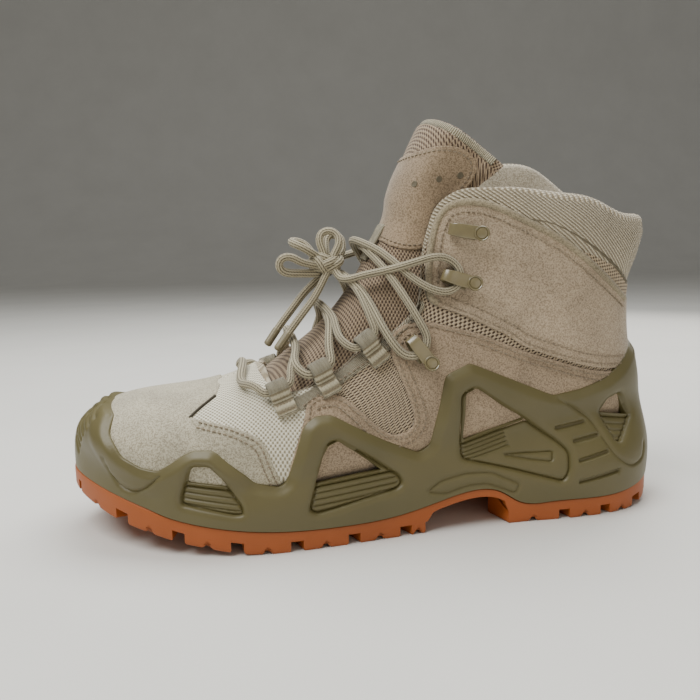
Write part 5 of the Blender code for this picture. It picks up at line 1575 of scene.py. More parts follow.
def make_toe_cap():
    """Suede toe cap with a slit on each side, from one side of the sole over to the other; a strip in each
    slit paints its shadow.
    """
    lateral = near_run(UPPER, TOE_CAP_SIDE, 1.0)
    medial = near_run(UPPER, TOE_CAP_SIDE, -1.0)[::-1]
    for run in (lateral, medial):
        run[:, 0] = np.where(run[:, 0] > COLUMNS, run[:, 0] - RING, run[:, 0])
    ridge = UPPER.nearest([TOE_CAP_RIDGE])
    ridge[:, 0] = np.where(ridge[:, 0] > COLUMNS, ridge[:, 0] - RING, ridge[:, 0])
    seat = straight_run((medial[-1, 0], SEAT_ROW), (lateral[0, 0], SEAT_ROW), 120)
    loop = ring_of(lateral, ridge, medial, np.array([[medial[-1, 0], SEAT_ROW]]), seat,
                   np.array([[lateral[0, 0], SEAT_ROW]]))
    height = suede_height() + 0.06
    rows = []
    stop = int(len(lateral) * TOE_CAP_SEWN)
    for run, turned in ((lateral[:stop], 1.0), (medial[::-1][:stop], -1.0)):
        for distance in TOE_CAP_SEAMS:
            rows.append(sew(UPPER, run, distance, height, turned))
    laid_panel("toe_cap", UPPER, [loop], suede_height(), MATERIALS["toe_suede"],
               relief=together(fold_relief(rows), sunk_under_bumper))
    # A near-black strip along each slit paints the shadow in its gap.
    for mirror, word in ((1.0, "lateral"), (-1.0, "medial")):
        slit = near_run(UPPER, TOE_SLIT, mirror)
        section = rounded_section(0.9, 0.7, 0.4, 3, -0.8)
        vertices, faces = sweep(UPPER.point(slit, 0.9), UPPER.normal_at(slit), section)
        outward(make_mesh(f"toe_slit_shadow_{word}", vertices, faces, [MATERIALS["slit_shadow"]]))


# ---------------------------------------------------------------- the moulded frame
WINDOW_RIMS = (
    # corner points x, z of each window's whole recess, ribbed part included
    ((-91.5, 41.5), (-82.5, 41.5), (-68.5, 23.0), (-68.0, 18.5), (-72.0, 18.0), (-96.0, 23.0),
     (-96.5, 26.5)),
    ((-31.0, 48.0), (-25.5, 50.0), (4.0, 30.0), (6.0, 25.5), (2.5, 22.5), (-36.0, 15.5), (-40.0, 18.0)),
    ((34.5, 65.5), (42.5, 69.0), (69.5, 50.0), (86.0, 39.5), (91.5, 34.0), (90.5, 23.0), (87.0, 18.0),
     (61.5, 26.0), (34.5, 33.5), (34.0, 40.0)),
    ((109.5, 50.5), (116.0, 57.2), (124.5, 59.5), (132.8, 47.0), (129.5, 44.5), (120.5, 35.0), (117.5, 36.0)),
)
WINDOW_RIBS = (
    # x, z of the two ends of the window's lower edge; pitch and number of the lines under it,
    # and their length as a share of its length
    (-97.0, 33.2, -69.0, 29.4, 2.6, 4, 1.0),
    (-42.0, 28.8, 2.0, 32.8, 2.8, 5, 1.0),
    (33.0, 41.0, 72.0, 50.8, 1.9, 5, 0.62),
    (109.0, 49.8, 133.0, 46.4, 3.0, 4, 1.0),
)
HEEL_SLOTS = (
    # x, z of the two ends
    (85.5, 44.5, 100.5, 46.5), (94.0, 38.0, 107.5, 40.0), (95.5, 29.0, 111.0, 32.0),
    (95.5, 18.5, 117.0, 22.0),
)
HEEL_CHEVRON = ((86.5, 58.5), (95.5, 53.5), (105.0, 47.5), (109.5, 39.0), (116.0, 29.0),
                (126.0, 22.5), (135.0, 24.5), (137.0, 32.0))
ARCH_PANEL = ((17.0, 20.0), (24.0, 24.5), (36.5, 27.0), (49.0, 26.5), (64.0, 19.5), (61.5, 15.0),
              (55.0, 18.0), (47.0, 21.0), (38.0, 21.0), (26.0, 18.0))
FIN_MARK = ((56.5, 34.5), (82.5, 34.5), (81.5, 29.5), (71.5, 31.0))
BUMPER_SWOOSH = ((-130.5, 42.0), (-129.5, 38.5), (-128.5, 34.5), (-124.0, 29.0), (-118.0, 27.0),
                 (-111.5, 29.5), (-105.0, 35.5))
TOE_GROOVES = (
    # x, y, z of the upper and the lower end of each groove beside the bumper's tip
    (-134.5, -1.0, 61.0, -134.0, -18.0, 55.5), (-138.0, -1.0, 59.0, -137.0, -17.5, 52.5),
    (-141.0, -1.5, 56.5, -140.0, -15.5, 49.5), (-143.5, -2.0, 53.5, -142.5, -13.0, 46.5),
    (-145.5, -2.5, 49.5, -144.5, -10.5, 43.0), (-147.0, -3.0, 45.5, -146.0, -8.0, 39.5),
)
TOE_MIDDLE = 4.5
TUBE = (3.4, 7.5, 12.0)     # from the toe bumper's top line to its crest, to the crest's end, to its foot
TUBE_DEPTHS = (1.7, 0.9)    # of the top line and of the foot, under the crest
TUBE_START = (-100.0, -112.0)   # x where the chamfer ends, and where it is a full tube
BUMPER_END = -92.0
UNDER_BUMPER = (1.75, 0.5)  # least thickness of the bumper over the upper, at its top line and below
LEAST_DEPTH = 0.2
TIP_DROP = 1.9              # how much flatter the bumper's tip lies than its sides
TIP_REACH = (4.0, 24.0)     # from the tip to where the drop begins to fade, and to its end
CHAMFER_WIDTH = 4.6
CHAMFER_DEPTH = 2.3
RECESS_DEPTH = 1.5
RECESS_BEVEL = (2.2, 0.6)   # width and depth of the soft edge round a recess
OUTLINE = (0.9, 0.55, 1.1)  # groove inside a recess: distance from its edge, half width, depth
# Half width and depth of each groove.
CHEVRON_GROOVE = (0.75, 0.8)
ARCH_GROOVE = (0.7, 0.7)
FIN_GROOVE = (0.5, 0.9)
SWOOSH_GROOVE = (0.55, 0.8)
TOE_GROOVE_SIZE = (1.2, 1.4)
FIN_DEPTH = 0.4
SLOT_DEPTH = 1.5
SLOT_WALL = (0.35, 1.35)    # from a heel slot's middle line to the foot and the top of its wall
LINE_DEPTHS = (1.5, 0.8)    # line under a window, and the lines below it
LINE_WIDTH = 0.5
LINE_START = 1.1            # the first line lies this far under the window's edge
FRAME_CELL = 1.25
SKIRT = ((0.30, 0.25), (0.45, 0.8), (0.50, 3.6))     # outward and downward steps of the frame's edges
FRAME_TOP_TOE = (-131.0, 4.5, 66.0)
FRAME_HEEL_TOP = 86.0


def beside(path, offsets, spacing=0.9, closed=False):
    """Plane points along a path and at offsets on both sides of it."""
    path = np.asarray(path, float)
    if closed:
        path = np.concatenate([path, path[:1]])
    along = evenly(path, spacing, smooth=False)
    tangent = unit(np.gradient(along, axis=0))
    normal = np.stack([-tangent[:, 1], tangent[:, 0]], axis=1)
    return np.concatenate([along + normal * offset for offset in offsets])


RIM_PATHS = [rounded_path(corners, 3.2) for corners in WINDOW_RIMS]
CHEVRON_PATH = rounded_path(HEEL_CHEVRON, 4.0, closed=False)
ARCH_PATH = rounded_path(ARCH_PANEL, 2.0)
FIN_PATH = rounded_path(FIN_MARK, 1.2)
SWOOSH_PATH = rounded_path(BUMPER_SWOOSH, 6.0, closed=False)


def rib_lines(rib):
    """Start and end of each line under a window."""
    x0, z0, x1, z1, pitch, count, share = rib
    start, end = np.array([x0, z0]), np.array([x1, z1])
    down = unit(np.array([z1 - z0, x0 - x1]))
    if down[1] > 0.0:
        down = -down
    lines = [(start + down * LINE_START, end + down * LINE_START)]
    for k in range(1, count):
        step = down * (LINE_START + pitch * k)
        lines.append((start + step, start * (1.0 - share) + end * share + step))
    return lines


def groove(points, path, size, closed=False):
    """Depth of a soft groove along a path; its size is its half width and its depth."""
    half, deep = size
    return deep * np.exp(-(path_distance(points, path, closed) / half) ** 2)


class FrameRelief:
    """How deep the frame's skin lies under its outer face, from its edges, windows, ribs and grooves."""

    def __init__(self, side, top_line):
        self.side = side
        self.top_line = top_line

    def __call__(self, places):
        points = FRAME.point(places)
        flat = points[:, [0, 2]]
        away = path_distance(flat, self.top_line)
        depth = self.rounded_edge(points, away)
        for path, rib in zip(RIM_PATHS, WINDOW_RIBS):
            depth = self.recess(flat, path, rib, depth)
        depth = depth + groove(flat, CHEVRON_PATH, CHEVRON_GROOVE)
        depth = depth + groove(flat, ARCH_PATH, ARCH_GROOVE, True)
        for x0, z0, x1, z1 in HEEL_SLOTS:
            slot = path_distance(flat, [(x0, z0), (x1, z1)])
            depth = depth + SLOT_DEPTH * (1.0 - smooth_step(*SLOT_WALL, slot))
        depth = depth + FIN_DEPTH * smooth_step(0.4, -0.4, signed_distance(flat, FIN_PATH))
        depth = depth + groove(flat, FIN_PATH, FIN_GROOVE, True)
        depth = depth + groove(flat, SWOOSH_PATH, SWOOSH_GROOVE)
        for start, end in toe_groove_ends(self.side):
            depth = depth + groove(points, [start, end], TOE_GROOVE_SIZE)
        return -self.kept_over_upper(points, away, depth)

    def rounded_edge(self, points, away):
        """The chamfer along the top line, which turns into a round tube at the toe."""
        toe = smooth_step(*TUBE_START, points[:, 0])
        chamfer = CHAMFER_DEPTH * (1.0 - smooth_step(-1.2, CHAMFER_WIDTH, away))
        rim = TUBE_DEPTHS[0] * (1.0 - smooth_step(0.0, TUBE[0], away))
        tube = rim + TUBE_DEPTHS[1] * smooth_step(TUBE[1], TUBE[2], away)
        from_tip = np.linalg.norm(points - FRAME_TOP_TOE, axis=1)
        tip = TIP_DROP * (1.0 - smooth_step(*TIP_REACH, from_tip))
        return chamfer * (1.0 - toe) + tube * toe + tip

    def recess(self, flat, path, rib, depth):
        """The depth with one window's recess, the groove inside its edge and its ribs."""
        signed = signed_distance(flat, path)
        depth = np.maximum(depth, RECESS_DEPTH * smooth_step(0.5, -0.7, signed))
        depth = np.maximum(depth, RECESS_BEVEL[1] * (1.0 - smooth_step(0.0, RECESS_BEVEL[0], signed)))
        depth = depth + OUTLINE[2] * np.exp(-((signed + OUTLINE[0]) / OUTLINE[1]) ** 2)
        for number, (start, end) in enumerate(rib_lines(rib)):
            near = path_distance(flat, [start, end])
            line = np.exp(-(near / LINE_WIDTH) ** 2) * smooth_step(-0.4, -1.6, signed)
            depth = depth + LINE_DEPTHS[min(number, 1)] * line
        return depth

    def kept_over_upper(self, points, away, depth):
        """The depth, held back where the bumper would sink into the upper."""
        front = np.flatnonzero(points[:, 0] < BUMPER_END)
        below = smooth_step(2.5, 5.0, away[front])
        margin = UNDER_BUMPER[0] + (UNDER_BUMPER[1] - UNDER_BUMPER[0]) * below
        room = np.array([UPPER.tree.find_nearest(Vector(point))[3] for point in points[front]]) - margin
        depth[front] = np.minimum(depth[front], np.maximum(room, LEAST_DEPTH))
        return depth


def toe_groove_ends(side):
    """Ends of the toe grooves on one side, on the frame's outer face."""
    table = np.array(TOE_GROOVES).reshape(-1, 2, 3)
    if side < 0:
        table[:, :, 1] = 2.0 * TOE_MIDDLE - table[:, :, 1]
    return [tuple(FRAME.point(FRAME.nearest(pair))) for pair in table]


def frame_extra():
    """Finer points of the lattice along the frame's small features."""
    sets = []
    for rim, rib in zip(RIM_PATHS, WINDOW_RIBS):
        sets.append(beside(rim, (-2.0, -1.45, -0.9, -0.35, 0.2, 0.8, 1.6), 0.9, True))
        for start, end in rib_lines(rib):
            row = beside([start, end], (-1.0, -0.5, 0.0, 0.5, 1.0), 0.9)
            sets.append(row[inside_path(row, rim)])
    sets.append(beside(CHEVRON_PATH, (-1.0, -0.5, 0.0, 0.5, 1.0)))
    sets.append(beside(ARCH_PATH, (-0.9, -0.45, 0.0, 0.45, 0.9), 0.9, True))
    for x0, z0, x1, z1 in HEEL_SLOTS:
        ahead = unit(np.array([x1 - x0, z1 - z0]))
        ends = [np.array([x0, z0]) - ahead * 1.2, np.array([x1, z1]) + ahead * 1.2]
        sets.append(beside(ends, (-1.4, -0.9, -0.45, 0.0, 0.45, 0.9, 1.4), 0.8))
    sets.append(beside(FIN_PATH, (-1.0, -0.5, 0.0, 0.5, 1.0), 0.8, True))
    sets.append(beside(SWOOSH_PATH[4:], (-1.0, -0.5, 0.0, 0.5, 1.0)))
    flat = np.concatenate(sets)
    keep = np.ones(len(flat), bool)
    for corners in FRAME_WINDOWS:
        keep &= ~inside_path(flat, np.array(corners))
    return thinned(flat[keep], 0.42)


def toe_extra(side):
    """Finer points across the bumper's toe grooves."""
    rows = []
    for start, end in toe_groove_ends(side):
        along = evenly([start, end], 0.9, smooth=False)
        normal = FRAME.normal_at(FRAME.nearest(along))
        across = np.cross(unit(end - start), normal)
        for offset in (-2.0, -1.3, -0.65, 0.0, 0.65, 1.3, 2.0):
            rows.append(along + across * offset)
    places = FRAME.nearest(thinned(np.concatenate(rows), 0.45))
    return places[places[:, 1] > 1.0]


def thinned(points, spacing):
    """Points with near twins left out."""
    cells = np.round(points / spacing).astype(int)
    _, first = np.unique(cells, axis=0, return_index=True)
    return points[np.sort(first)]


def safe_side(chart, flat, side):
    """Places of the side-view points that the surface has, the others left out."""
    places = []
    for x, z in flat:
        spot, _, index, _ = chart.tree.ray_cast(Vector((x, -side * 150.0, z)), Vector((0.0, side, 0.0)))
        if spot is not None:
            places.append(chart.place_in(index, spot))
    return np.array(places)


def frame_half(side):
    """One side of the frame: skin, skirts round its edges, and their places on the chart."""
    first, last = (0.0, HEEL) if side > 0 else (float(RING), HEEL)
    line = np.array([row for row in FRAME_TOP_LINE if row[0] < 137.0])
    path = evenly(rounded_path(line, 2.2, closed=False), 1.0, smooth=False)
    toe_top = FRAME.nearest([FRAME_TOP_TOE])[0]
    toe_top[0] = first
    heel_rows = np.interp(FRAME_HEEL_TOP, FRAME.grid[:, COLUMNS, 2], np.arange(FRAME.rows))
    heel_top = np.array([last, heel_rows])
    top = near_column(FRAME.from_side(path, side), (first + last) / 2.0)
    over = np.linspace(0.0, 1.0, 14)[1:-1, None]
    bridge = toe_top * (1.0 - over) + top[0] * over
    heel_bridge = top[-1] * (1.0 - over[::2]) + heel_top * over[::2]
    top = np.concatenate([bridge, top, heel_bridge])
    toe_seam = straight_run((first, 0.0), toe_top, 60)
    heel_seam = straight_run(heel_top, (last, 0.0), 70)
    border = straight_run((last, 0.0), (first, 0.0), 330)
    loop = np.concatenate([[[first, 0.0]], toe_seam, [toe_top], top,
                           [heel_top], heel_seam, [[last, 0.0]], border])
    holes = [FRAME.from_side(evenly(np.concatenate([p, p[:1]]), 0.9, smooth=False)[:-1], side)
             for p in (rounded_path(corners, 1.6) for corners in FRAME_WINDOWS)]
    holes = [near_column(hole, (first + last) / 2.0) for hole in holes]
    top_points = FRAME.point(top)[:, [0, 2]]
    relief = FrameRelief(side, top_points)
    extra = near_column(safe_side(FRAME, frame_extra(), side), (first + last) / 2.0)
    fan = near_column(toe_extra(side), first)
    extra = np.concatenate([extra, fan])
    vertices, faces, places = panel_data(FRAME, [loop] + holes, 0.0, FRAME_CELL, edge=((0.0, 1.0),),
                                         relief=relief, extra=extra)
    faces = facing_out(vertices, faces, FRAME, places)
    start = 0
    skirts = []
    top_first = 1 + len(toe_seam)
    top_last = top_first + len(top) + 2
    for number, ring in enumerate([loop] + holes):
        count = len(ring)
        if number == 0:
            pairs = [(i, i + 1) for i in range(top_first, top_last - 1)]
        else:
            pairs = [(start + i, start + (i + 1) % count) for i in range(count)]
        skirts.append(pairs)
        start += count
    return vertices, faces, places, skirts


def make_frame():
    """Midsole, toe bumper and side frame with their windows, ribs and grooves."""
    parts = []
    for side in (LATERAL, MEDIAL):
        vertices, faces, places, skirts = frame_half(side)
        parts.append((vertices, faces))
        for pairs in skirts:
            used = np.unique(np.array(pairs))
            back = {int(v): k for k, v in enumerate(used)}
            normal = FRAME.normal_at(places[used])
            into = skirt_directions(vertices, faces, used, pairs, normal, back)
            rings = [vertices[used]]
            for inset, drop in SKIRT:
                rings.append(vertices[used] + into * inset - normal * drop)
            count = len(used)
            strip = []
            for level in range(len(rings) - 1):
                for a, b in pairs:
                    i, j = level * count + back[a], level * count + back[b]
                    strip.append((i, j, count + j, count + i))
            parts.append((np.concatenate(rings), strip))
    vertices, faces = merge(parts)
    frame_piece = make_mesh("midsole_frame_skin", vertices, faces, [MATERIALS["frame_rubber"]])
    same_way(frame_piece, 0.03 * MM)
    sharpen(frame_piece, 50.0)
    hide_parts("midsole_frame")


def skirt_directions(vertices, faces, used, pairs, normal, back):
    """For each edge point, the direction along the surface away from the skin."""
    ahead = np.zeros((len(used), 3))
    for a, b in pairs:
        step = vertices[b] - vertices[a]
        ahead[back[a]] += step
        ahead[back[b]] += step
    sideways = unit(np.cross(unit(ahead), normal))
    centre = np.zeros((len(used), 3))
    count = np.zeros(len(used))
    wanted = set(int(u) for u in used)
    for face in faces:
        for v in face:
            if int(v) in wanted:
                k = back[int(v)]
                centre[k] += vertices[list(face)].mean(axis=0)
                count[k] += 1
    centre /= np.maximum(count, 1)[:, None]
    away = np.sum(sideways * (vertices[used] - centre), axis=1, keepdims=True)
    return np.where(away < 0.0, -sideways, sideways)


# ---------------------------------------------------------------- the outsole
ARCH_START, ARCH_END = 17.0, 57.5
ARCH_BAND = 3.9             # height of the outsole's band over the arch
LUG_DEPTH = 17.0            # how far a border lug reaches in from the edge
LUG_FOOT = 0.9              # rounding of a lug's lower edges
LUG_GAP = 1.1               # columns of the outline from a groove's middle to its lug
COLUMN_WIDTH = 2.5          # of a column along the outline, about
NOTCH_HEIGHT = 2.8
NOTCH_WIDTH = 2.4           # half the width of the notch at its foot
BAR_CLEARANCE = 9.0         # from the border lugs' inner ends to the bars
HEEL_BARS = (68.0, 91.0, 113.0)


def band_foot(x):
    """Underside of the outsole between its lugs."""
    plain = np.minimum(tread_height(x) + GROOVE_DEPTH, border_height(x) - 2.2)
    arch = border_height(x) - ARCH_BAND
    rise = smooth_step(ARCH_START - 1.0, ARCH_START + 4.0, x)
    fall = smooth_step(ARCH_END + 0.5, ARCH_END - 0.5, x)
    return plain + (np.maximum(arch, plain) - plain) * rise * fall


def column_of(x, side):
    """Chart column of the sole's outline at x on one side."""
    half = PLAN[:COLUMNS + 1, 0] if side > 0 else np.concatenate([PLAN[COLUMNS:, 0], PLAN[:1, 0]])[::-1]
    column = np.interp(x, half, np.arange(COLUMNS + 1))
    return column if side > 0 else RING - column


def outline_at(columns, inset):
    """Plan points of the outline, drawn in by an inset."""
    index = np.arange(RING + 1)
    plan = np.concatenate([PLAN, PLAN[:1]])
    normal = np.concatenate([PLAN_NORMAL, PLAN_NORMAL[:1]])
    columns = np.asarray(columns, float) % RING
    point = np.stack([np.interp(columns, index, plan[:, k]) for k in range(2)], axis=-1)
    outward_way = np.stack([np.interp(columns, index, normal[:, k]) for k in range(2)], axis=-1)
    return point - unit(outward_way) * np.asarray(inset, float).reshape(-1, 1)


def block(plan, foot_inset, top_rise, notch=None):
    """A tread block from its plan outline, set into the band and rounded at its foot."""
    centre = plan.mean(axis=0)
    away = unit(plan - centre)
    rings = []
    levels = ((0.0, top_rise), (0.0, 2.2), (0.0, LUG_FOOT), (foot_inset * 0.5, 0.22), (foot_inset, 0.0))
    for inset, rise in levels:
        ring = plan - away * inset
        low = tread_height(ring[:, 0])
        lift = np.zeros(len(plan)) if notch is None else notch * (1.0 if rise < 2.0 else 0.0)
        height = low + np.maximum(rise, 0.0) if rise != top_rise else band_foot(ring[:, 0]) + 1.2
        rings.append(np.column_stack([ring, height + lift]))
    count = len(plan)
    faces = [tuple(q) for q in grid_faces(len(rings), count, True)]
    faces.append(tuple(range((len(rings) - 1) * count, len(rings) * count)))
    return np.concatenate(rings), faces


def border_lug(low_column, high_column, slant, depth=LUG_DEPTH, inset=0.6):
    """Block along the edge between two columns, with a small notch in the middle of its outer foot."""
    length = abs(high_column - low_column) * COLUMN_WIDTH
    steps = max(11, int(length / 0.9) | 1)
    columns = np.linspace(low_column, high_column, steps)
    outer = outline_at(columns, np.full(steps, inset))
    inner_steps = max(4, steps // 3)
    inner_columns = np.linspace(high_column, low_column, inner_steps) + slant
    inner = outline_at(inner_columns, np.full(inner_steps, depth))
    plan = np.concatenate([outer, inner])
    middle = np.abs(np.linspace(-0.5, 0.5, steps)) * length
    cut = NOTCH_HEIGHT * np.clip(1.0 - middle / NOTCH_WIDTH, 0.0, 1.0)
    notch = np.concatenate([cut, np.zeros(inner_steps)])
    return block(plan, 0.8, 5.0, notch)


def bar(x, side, reach):
    """Slanted block of the tread between the border lugs and the middle."""
    slant = 0.5 * reach
    corners = np.array([(x - 6.0, 4.5), (x + 4.0, 4.5), (x + 4.0 + slant, 4.5 + reach),
                        (x - 6.0 + slant, 4.5 + reach)])
    corners[:, 1] *= side
    path = rounded_path(corners if side > 0 else corners[::-1], 2.0)
    plan = evenly(np.concatenate([path, path[:1]]), 2.2, smooth=False)[:-1]
    return block(plan, 0.7, 5.0, np.full(len(plan), BAR_LIFT))


def outsole_band():
    """The outsole without its lugs: a band round the edge and the skin between its two sides."""
    top = border_height(PLAN[:, 0])
    foot = band_foot(PLAN[:, 0])
    rings = [outline_ring(1.4, top + 0.1), outline_ring(0.7, top - 0.3), outline_ring(0.55, top - 1.2),
             outline_ring(0.55, top * 0.4 + foot * 0.6), outline_ring(0.55, foot + 0.4),
             outline_ring(0.95, foot)]
    across = 10
    cap = []
    for i in range(1, COLUMNS):
        left, right = rings[-1][i], rings[-1][RING - i]
        t = np.linspace(0.0, 1.0, across + 1)[1:-1, None]
        row = left * (1.0 - t) + right * t
        row[:, 2] = band_foot(row[:, 0])
        cap.append(row)
    vertices = np.concatenate(rings + cap)
    faces = [tuple(q) for q in grid_faces(len(rings), RING, True)]
    base, start = (len(rings) - 1) * RING, len(rings) * RING

    def index(i, k):
        if k == 0:
            return base + i
        if k == across:
            return base + RING - i
        return start + (i - 1) * (across - 1) + k - 1

    for i in range(1, COLUMNS - 1):
        for k in range(across):
            faces.append((index(i, k), index(i, k + 1), index(i + 1, k + 1), index(i + 1, k)))
    for tip, i in ((base, 1), (base + COLUMNS, COLUMNS - 1)):
        for k in range(across):
            faces.append((tip, index(i, k), index(i, k + 1)))
    return vertices, faces


def make_outsole():
    """Gum outsole: a band round the edge, border lugs with notches, and slanted bars beneath."""
    parts = [outsole_band()]
    for side in (LATERAL, MEDIAL):
        edges = [edge_column(x, side) for x in FOREFOOT_GROOVES]
        half = LUG_GAP * side
        spans = list(zip(edges, edges[1:])) + [(edges[-1], column_of(ARCH_START - 1.0, side) + half)]
        heel = [edge_column(x, side) for x in HEEL_GROOVES]
        spans += [(column_of(ARCH_END + 1.0, side) - half, heel[0])] + list(zip(heel, heel[1:]))
        for low, high in spans:
            parts.append(border_lug(low + half, high - half, -1.5 * side))
        for groove, following in zip(FOREFOOT_GROOVES[:-1], FOREFOOT_GROOVES[1:]):
            x = (groove + following) / 2.0
            reach = half_width(x, side) - LUG_DEPTH - BAR_CLEARANCE
            if reach > 6.0:
                parts.append(bar(x, side, reach))
        for x in HEEL_BARS:
            parts.append(bar(x, side, max(6.0, half_width(x, side) - LUG_DEPTH - BAR_CLEARANCE)))
    toe = (edge_column(FOREFOOT_GROOVES[0], MEDIAL) - RING + LUG_GAP,
           edge_column(FOREFOOT_GROOVES[0], LATERAL) - LUG_GAP)
    heel = (edge_column(HEEL_GROOVES[-1], LATERAL) + LUG_GAP,
            edge_column(HEEL_GROOVES[-1], MEDIAL) - LUG_GAP)
    for low, high in (toe, heel):
        cuts = np.linspace(low, high, 4)
        for a, b in zip(cuts, cuts[1:]):
            parts.append(border_lug(a + 0.6, b - 0.6, 0.0, 14.0))
    vertices, faces = merge(parts)
    piece = make_mesh("outsole_tread", vertices, faces, [MATERIALS["gum_rubber"]])
    same_way(piece)
    sharpen(piece, 32.0)
    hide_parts("outsole")


def half_width(x, side):
    """Half width of the sole at x on one side."""
    return abs(float(outline_at([column_of(x, side)], [0.0])[0, 1]))


def edge_column(x, side):
    """Column where a slanted groove leaves the sole's edge."""
    return float(column_of(x + GROOVE_SLANT * (half_width(x, side) - 9.0), side))


def make_insole():
    """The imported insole, in cloth."""
    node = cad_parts["insole"]
    node.data.materials.clear()
    node.data.materials.append(MATERIALS["insole_cloth"])


# ---------------------------------------------------------------- the tongue
TONGUE_PATCH = (
    # station, turn of half of the patch's edge, from the middle of its lower edge up
    (0.645, 0.0), (0.649, 0.20), (0.655, 0.43), (0.673, 0.60), (0.700, 0.71), (0.760, 0.78), (0.830, 0.84),
    (0.885, 0.88), (0.912, 0.89), (0.930, 0.84), (0.939, 0.74), (0.935, 0.60), (0.922, 0.46), (0.906, 0.26),
    (0.896, 0.0),
)
TONGUE_HOLES = ((0.832, 0.45), (0.868, 0.61), (0.898, 0.76))
TONGUE_GRID = (90, 61)
TONGUE_LAYER = 1.0          # height of the patch over the tongue
PATCH_STITCH = (2.5, 1.75, 0.34)    # spacing, length and radius of a stitch
TAIL_STITCH = (1.5, 1.2, 0.3)


def tongue_sheets():
    """Outer and inner grids of the padded tongue."""
    table = np.array(TONGUE_ROWS)
    rows, across = TONGUE_GRID
    station = np.linspace(table[0, 0], table[-1, 0], rows)[:, None]
    w = np.linspace(-1.0, 1.0, across)[None, :]
    reach, middle, edge = (np.interp(station, table[:, 0], table[:, c]) for c in (1, 2, 3))
    top_end = smooth_step(0.80, 0.985, station)
    place = station - TONGUE_TOP_DROP * top_end * w * w
    turn = w * reach
    depth = middle + (edge - middle) * smooth_step(0.5, 0.85, np.abs(w))
    point, normal, _ = surface_frame(place, turn)
    thick = TONGUE_THICKNESS * (1.0 - 0.45 * smooth_step(0.6, 1.0, np.abs(w)))
    end = smooth_step(0.0, 0.03, station - table[0, 0]) * smooth_step(0.0, 0.022, table[-1, 0] - station)
    side_end = smooth_step(1.0, 0.90, np.abs(w))
    round_off = 1.0 - (1.0 - end * side_end) ** 2
    middle_depth = depth + thick * 0.5
    outer = point - normal * (middle_depth - thick * 0.5 * round_off)[:, :, None]
    inner = point - normal * (middle_depth + thick * 0.5 * round_off)[:, :, None]
    return outer, inner


def tongue_place(rows):
    """Places on the tongue's chart for stations and turns."""
    table = np.array(TONGUE_ROWS)
    rows = np.asarray(rows, float)
    reach = np.interp(rows[:, 0], table[:, 0], table[:, 1])
    w = rows[:, 1] / reach
    count, across = TONGUE_GRID
    top_end = smooth_step(0.80, 0.985, rows[:, 0])
    station = rows[:, 0] + TONGUE_TOP_DROP * top_end * w * w
    v = (station - table[0, 0]) / (table[-1, 0] - table[0, 0]) * (count - 1)
    return np.stack([(w + 1.0) / 2.0 * (across - 1), v], axis=1)


def make_tongue():
    """Padded tongue: mesh cloth outside, lining behind, a suede patch with punched holes, bound edges."""
    outer, inner = tongue_sheets()
    rows, across = TONGUE_GRID
    half = rows * across
    grid = grid_faces(rows, across)
    back = half + grid[:, ::-1]
    rim = grid_rim(rows, across)
    sides = [(a, half + a, half + b, b) for a, b in zip(rim, rim[1:] + rim[:1])]
    chart = Chart(outer, closed=False)
    if np.sum(chart.normal * (outer - inner)) < 0.0:
        chart.normal = -chart.normal
    uv = weave_uv(chart).reshape(-1, 2)
    faces = [tuple(f) for f in grid] + [tuple(f) for f in back] + sides
    slots = [0] * len(grid) + [1] * len(back) + [0] * len(sides)
    vertices = np.concatenate([outer.reshape(-1, 3), inner.reshape(-1, 3)])
    tongue = make_mesh("tongue_padded", vertices, faces,
                       [MATERIALS["tongue_mesh"], MATERIALS["lining"]], slots, np.concatenate([uv, uv]))
    outward(tongue)
    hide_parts("tongue")

    edge = np.array(TONGUE_PATCH)
    mirrored = edge[::-1][1:-1] * (1.0, -1.0)
    loop = tongue_place(np.concatenate([edge, mirrored]))
    loop = evenly(np.concatenate([loop, loop[:1]]), 1.0)[:-1]
    grid_uv = weave_uv(chart)
    points = chart.point(loop)
    tangent = unit(np.roll(points, -1, axis=0) - np.roll(points, 1, axis=0))
    centre = points.mean(axis=0)
    inward = np.cross(chart.normal_at(loop), tangent)
    inward *= np.sign(np.sum(inward * (centre - points), axis=1).mean())
    row = chart.nearest(points + inward * 2.2)
    laid = chart.point(row, TONGUE_LAYER)
    STITCHES.append(stitch_frames(laid, chart.normal_at(row), *PATCH_STITCH))
    tree = KDTree(len(row))
    for i, point in enumerate(chart.point(row)):
        tree.insert(Vector(point), i)
    tree.balance()

    def relief(places):
        away = np.array([tree.find(Vector(p))[2] for p in chart.point(places)])
        return 0.35 * smooth_step(1.0, 9.0, away) - 0.25 * np.exp(-(away / 0.9) ** 2)

    laid_panel("tongue_patch", chart, [loop], TONGUE_LAYER, MATERIALS["patch_suede"], cell=1.8,
               uv_grid=grid_uv, relief=relief)
    rings = []
    for station, turn in TONGUE_HOLES:
        for side in (1.0, -1.0):
            place = tongue_place([(station, side * turn)])
            rings.append(eyelet(chart.point(place, TONGUE_LAYER + 0.25)[0], chart.normal_at(place)[0]))
    # Rings and floors take the shadow material: painted shade of the punched holes.
    vertices, faces = merge(rings)
    make_mesh("tongue_holes", vertices, faces, [MATERIALS["painted_gap_shadow"]])

    count = 160
    top = np.stack([np.linspace(2.0, across - 3.0, count), np.full(count, rows - 1.6)], axis=1)
    edge_points = (chart.point(top) + chart.point(top, -2.4)) / 2.0
    up = unit(chart.grid[-1].mean(axis=0) - chart.grid[-6].mean(axis=0))
    vertices, faces = sweep(edge_points, np.tile(up, (count, 1)), rounded_section(4.2, 1.4, 1.4, 4, -2.6))
    outward(make_mesh("tongue_binding", vertices, faces, [MATERIALS["webbing"]],
                      uv=strip_uv(edge_points, len(vertices) // count)))


def strip_uv(points, section):
    """Weave coordinates of a swept strip: round its section, and along it."""
    along = np.repeat(chord_lengths(points), section)
    across = np.tile(np.arange(section) * 1.3, len(points))
    return np.stack([across, along], axis=1)


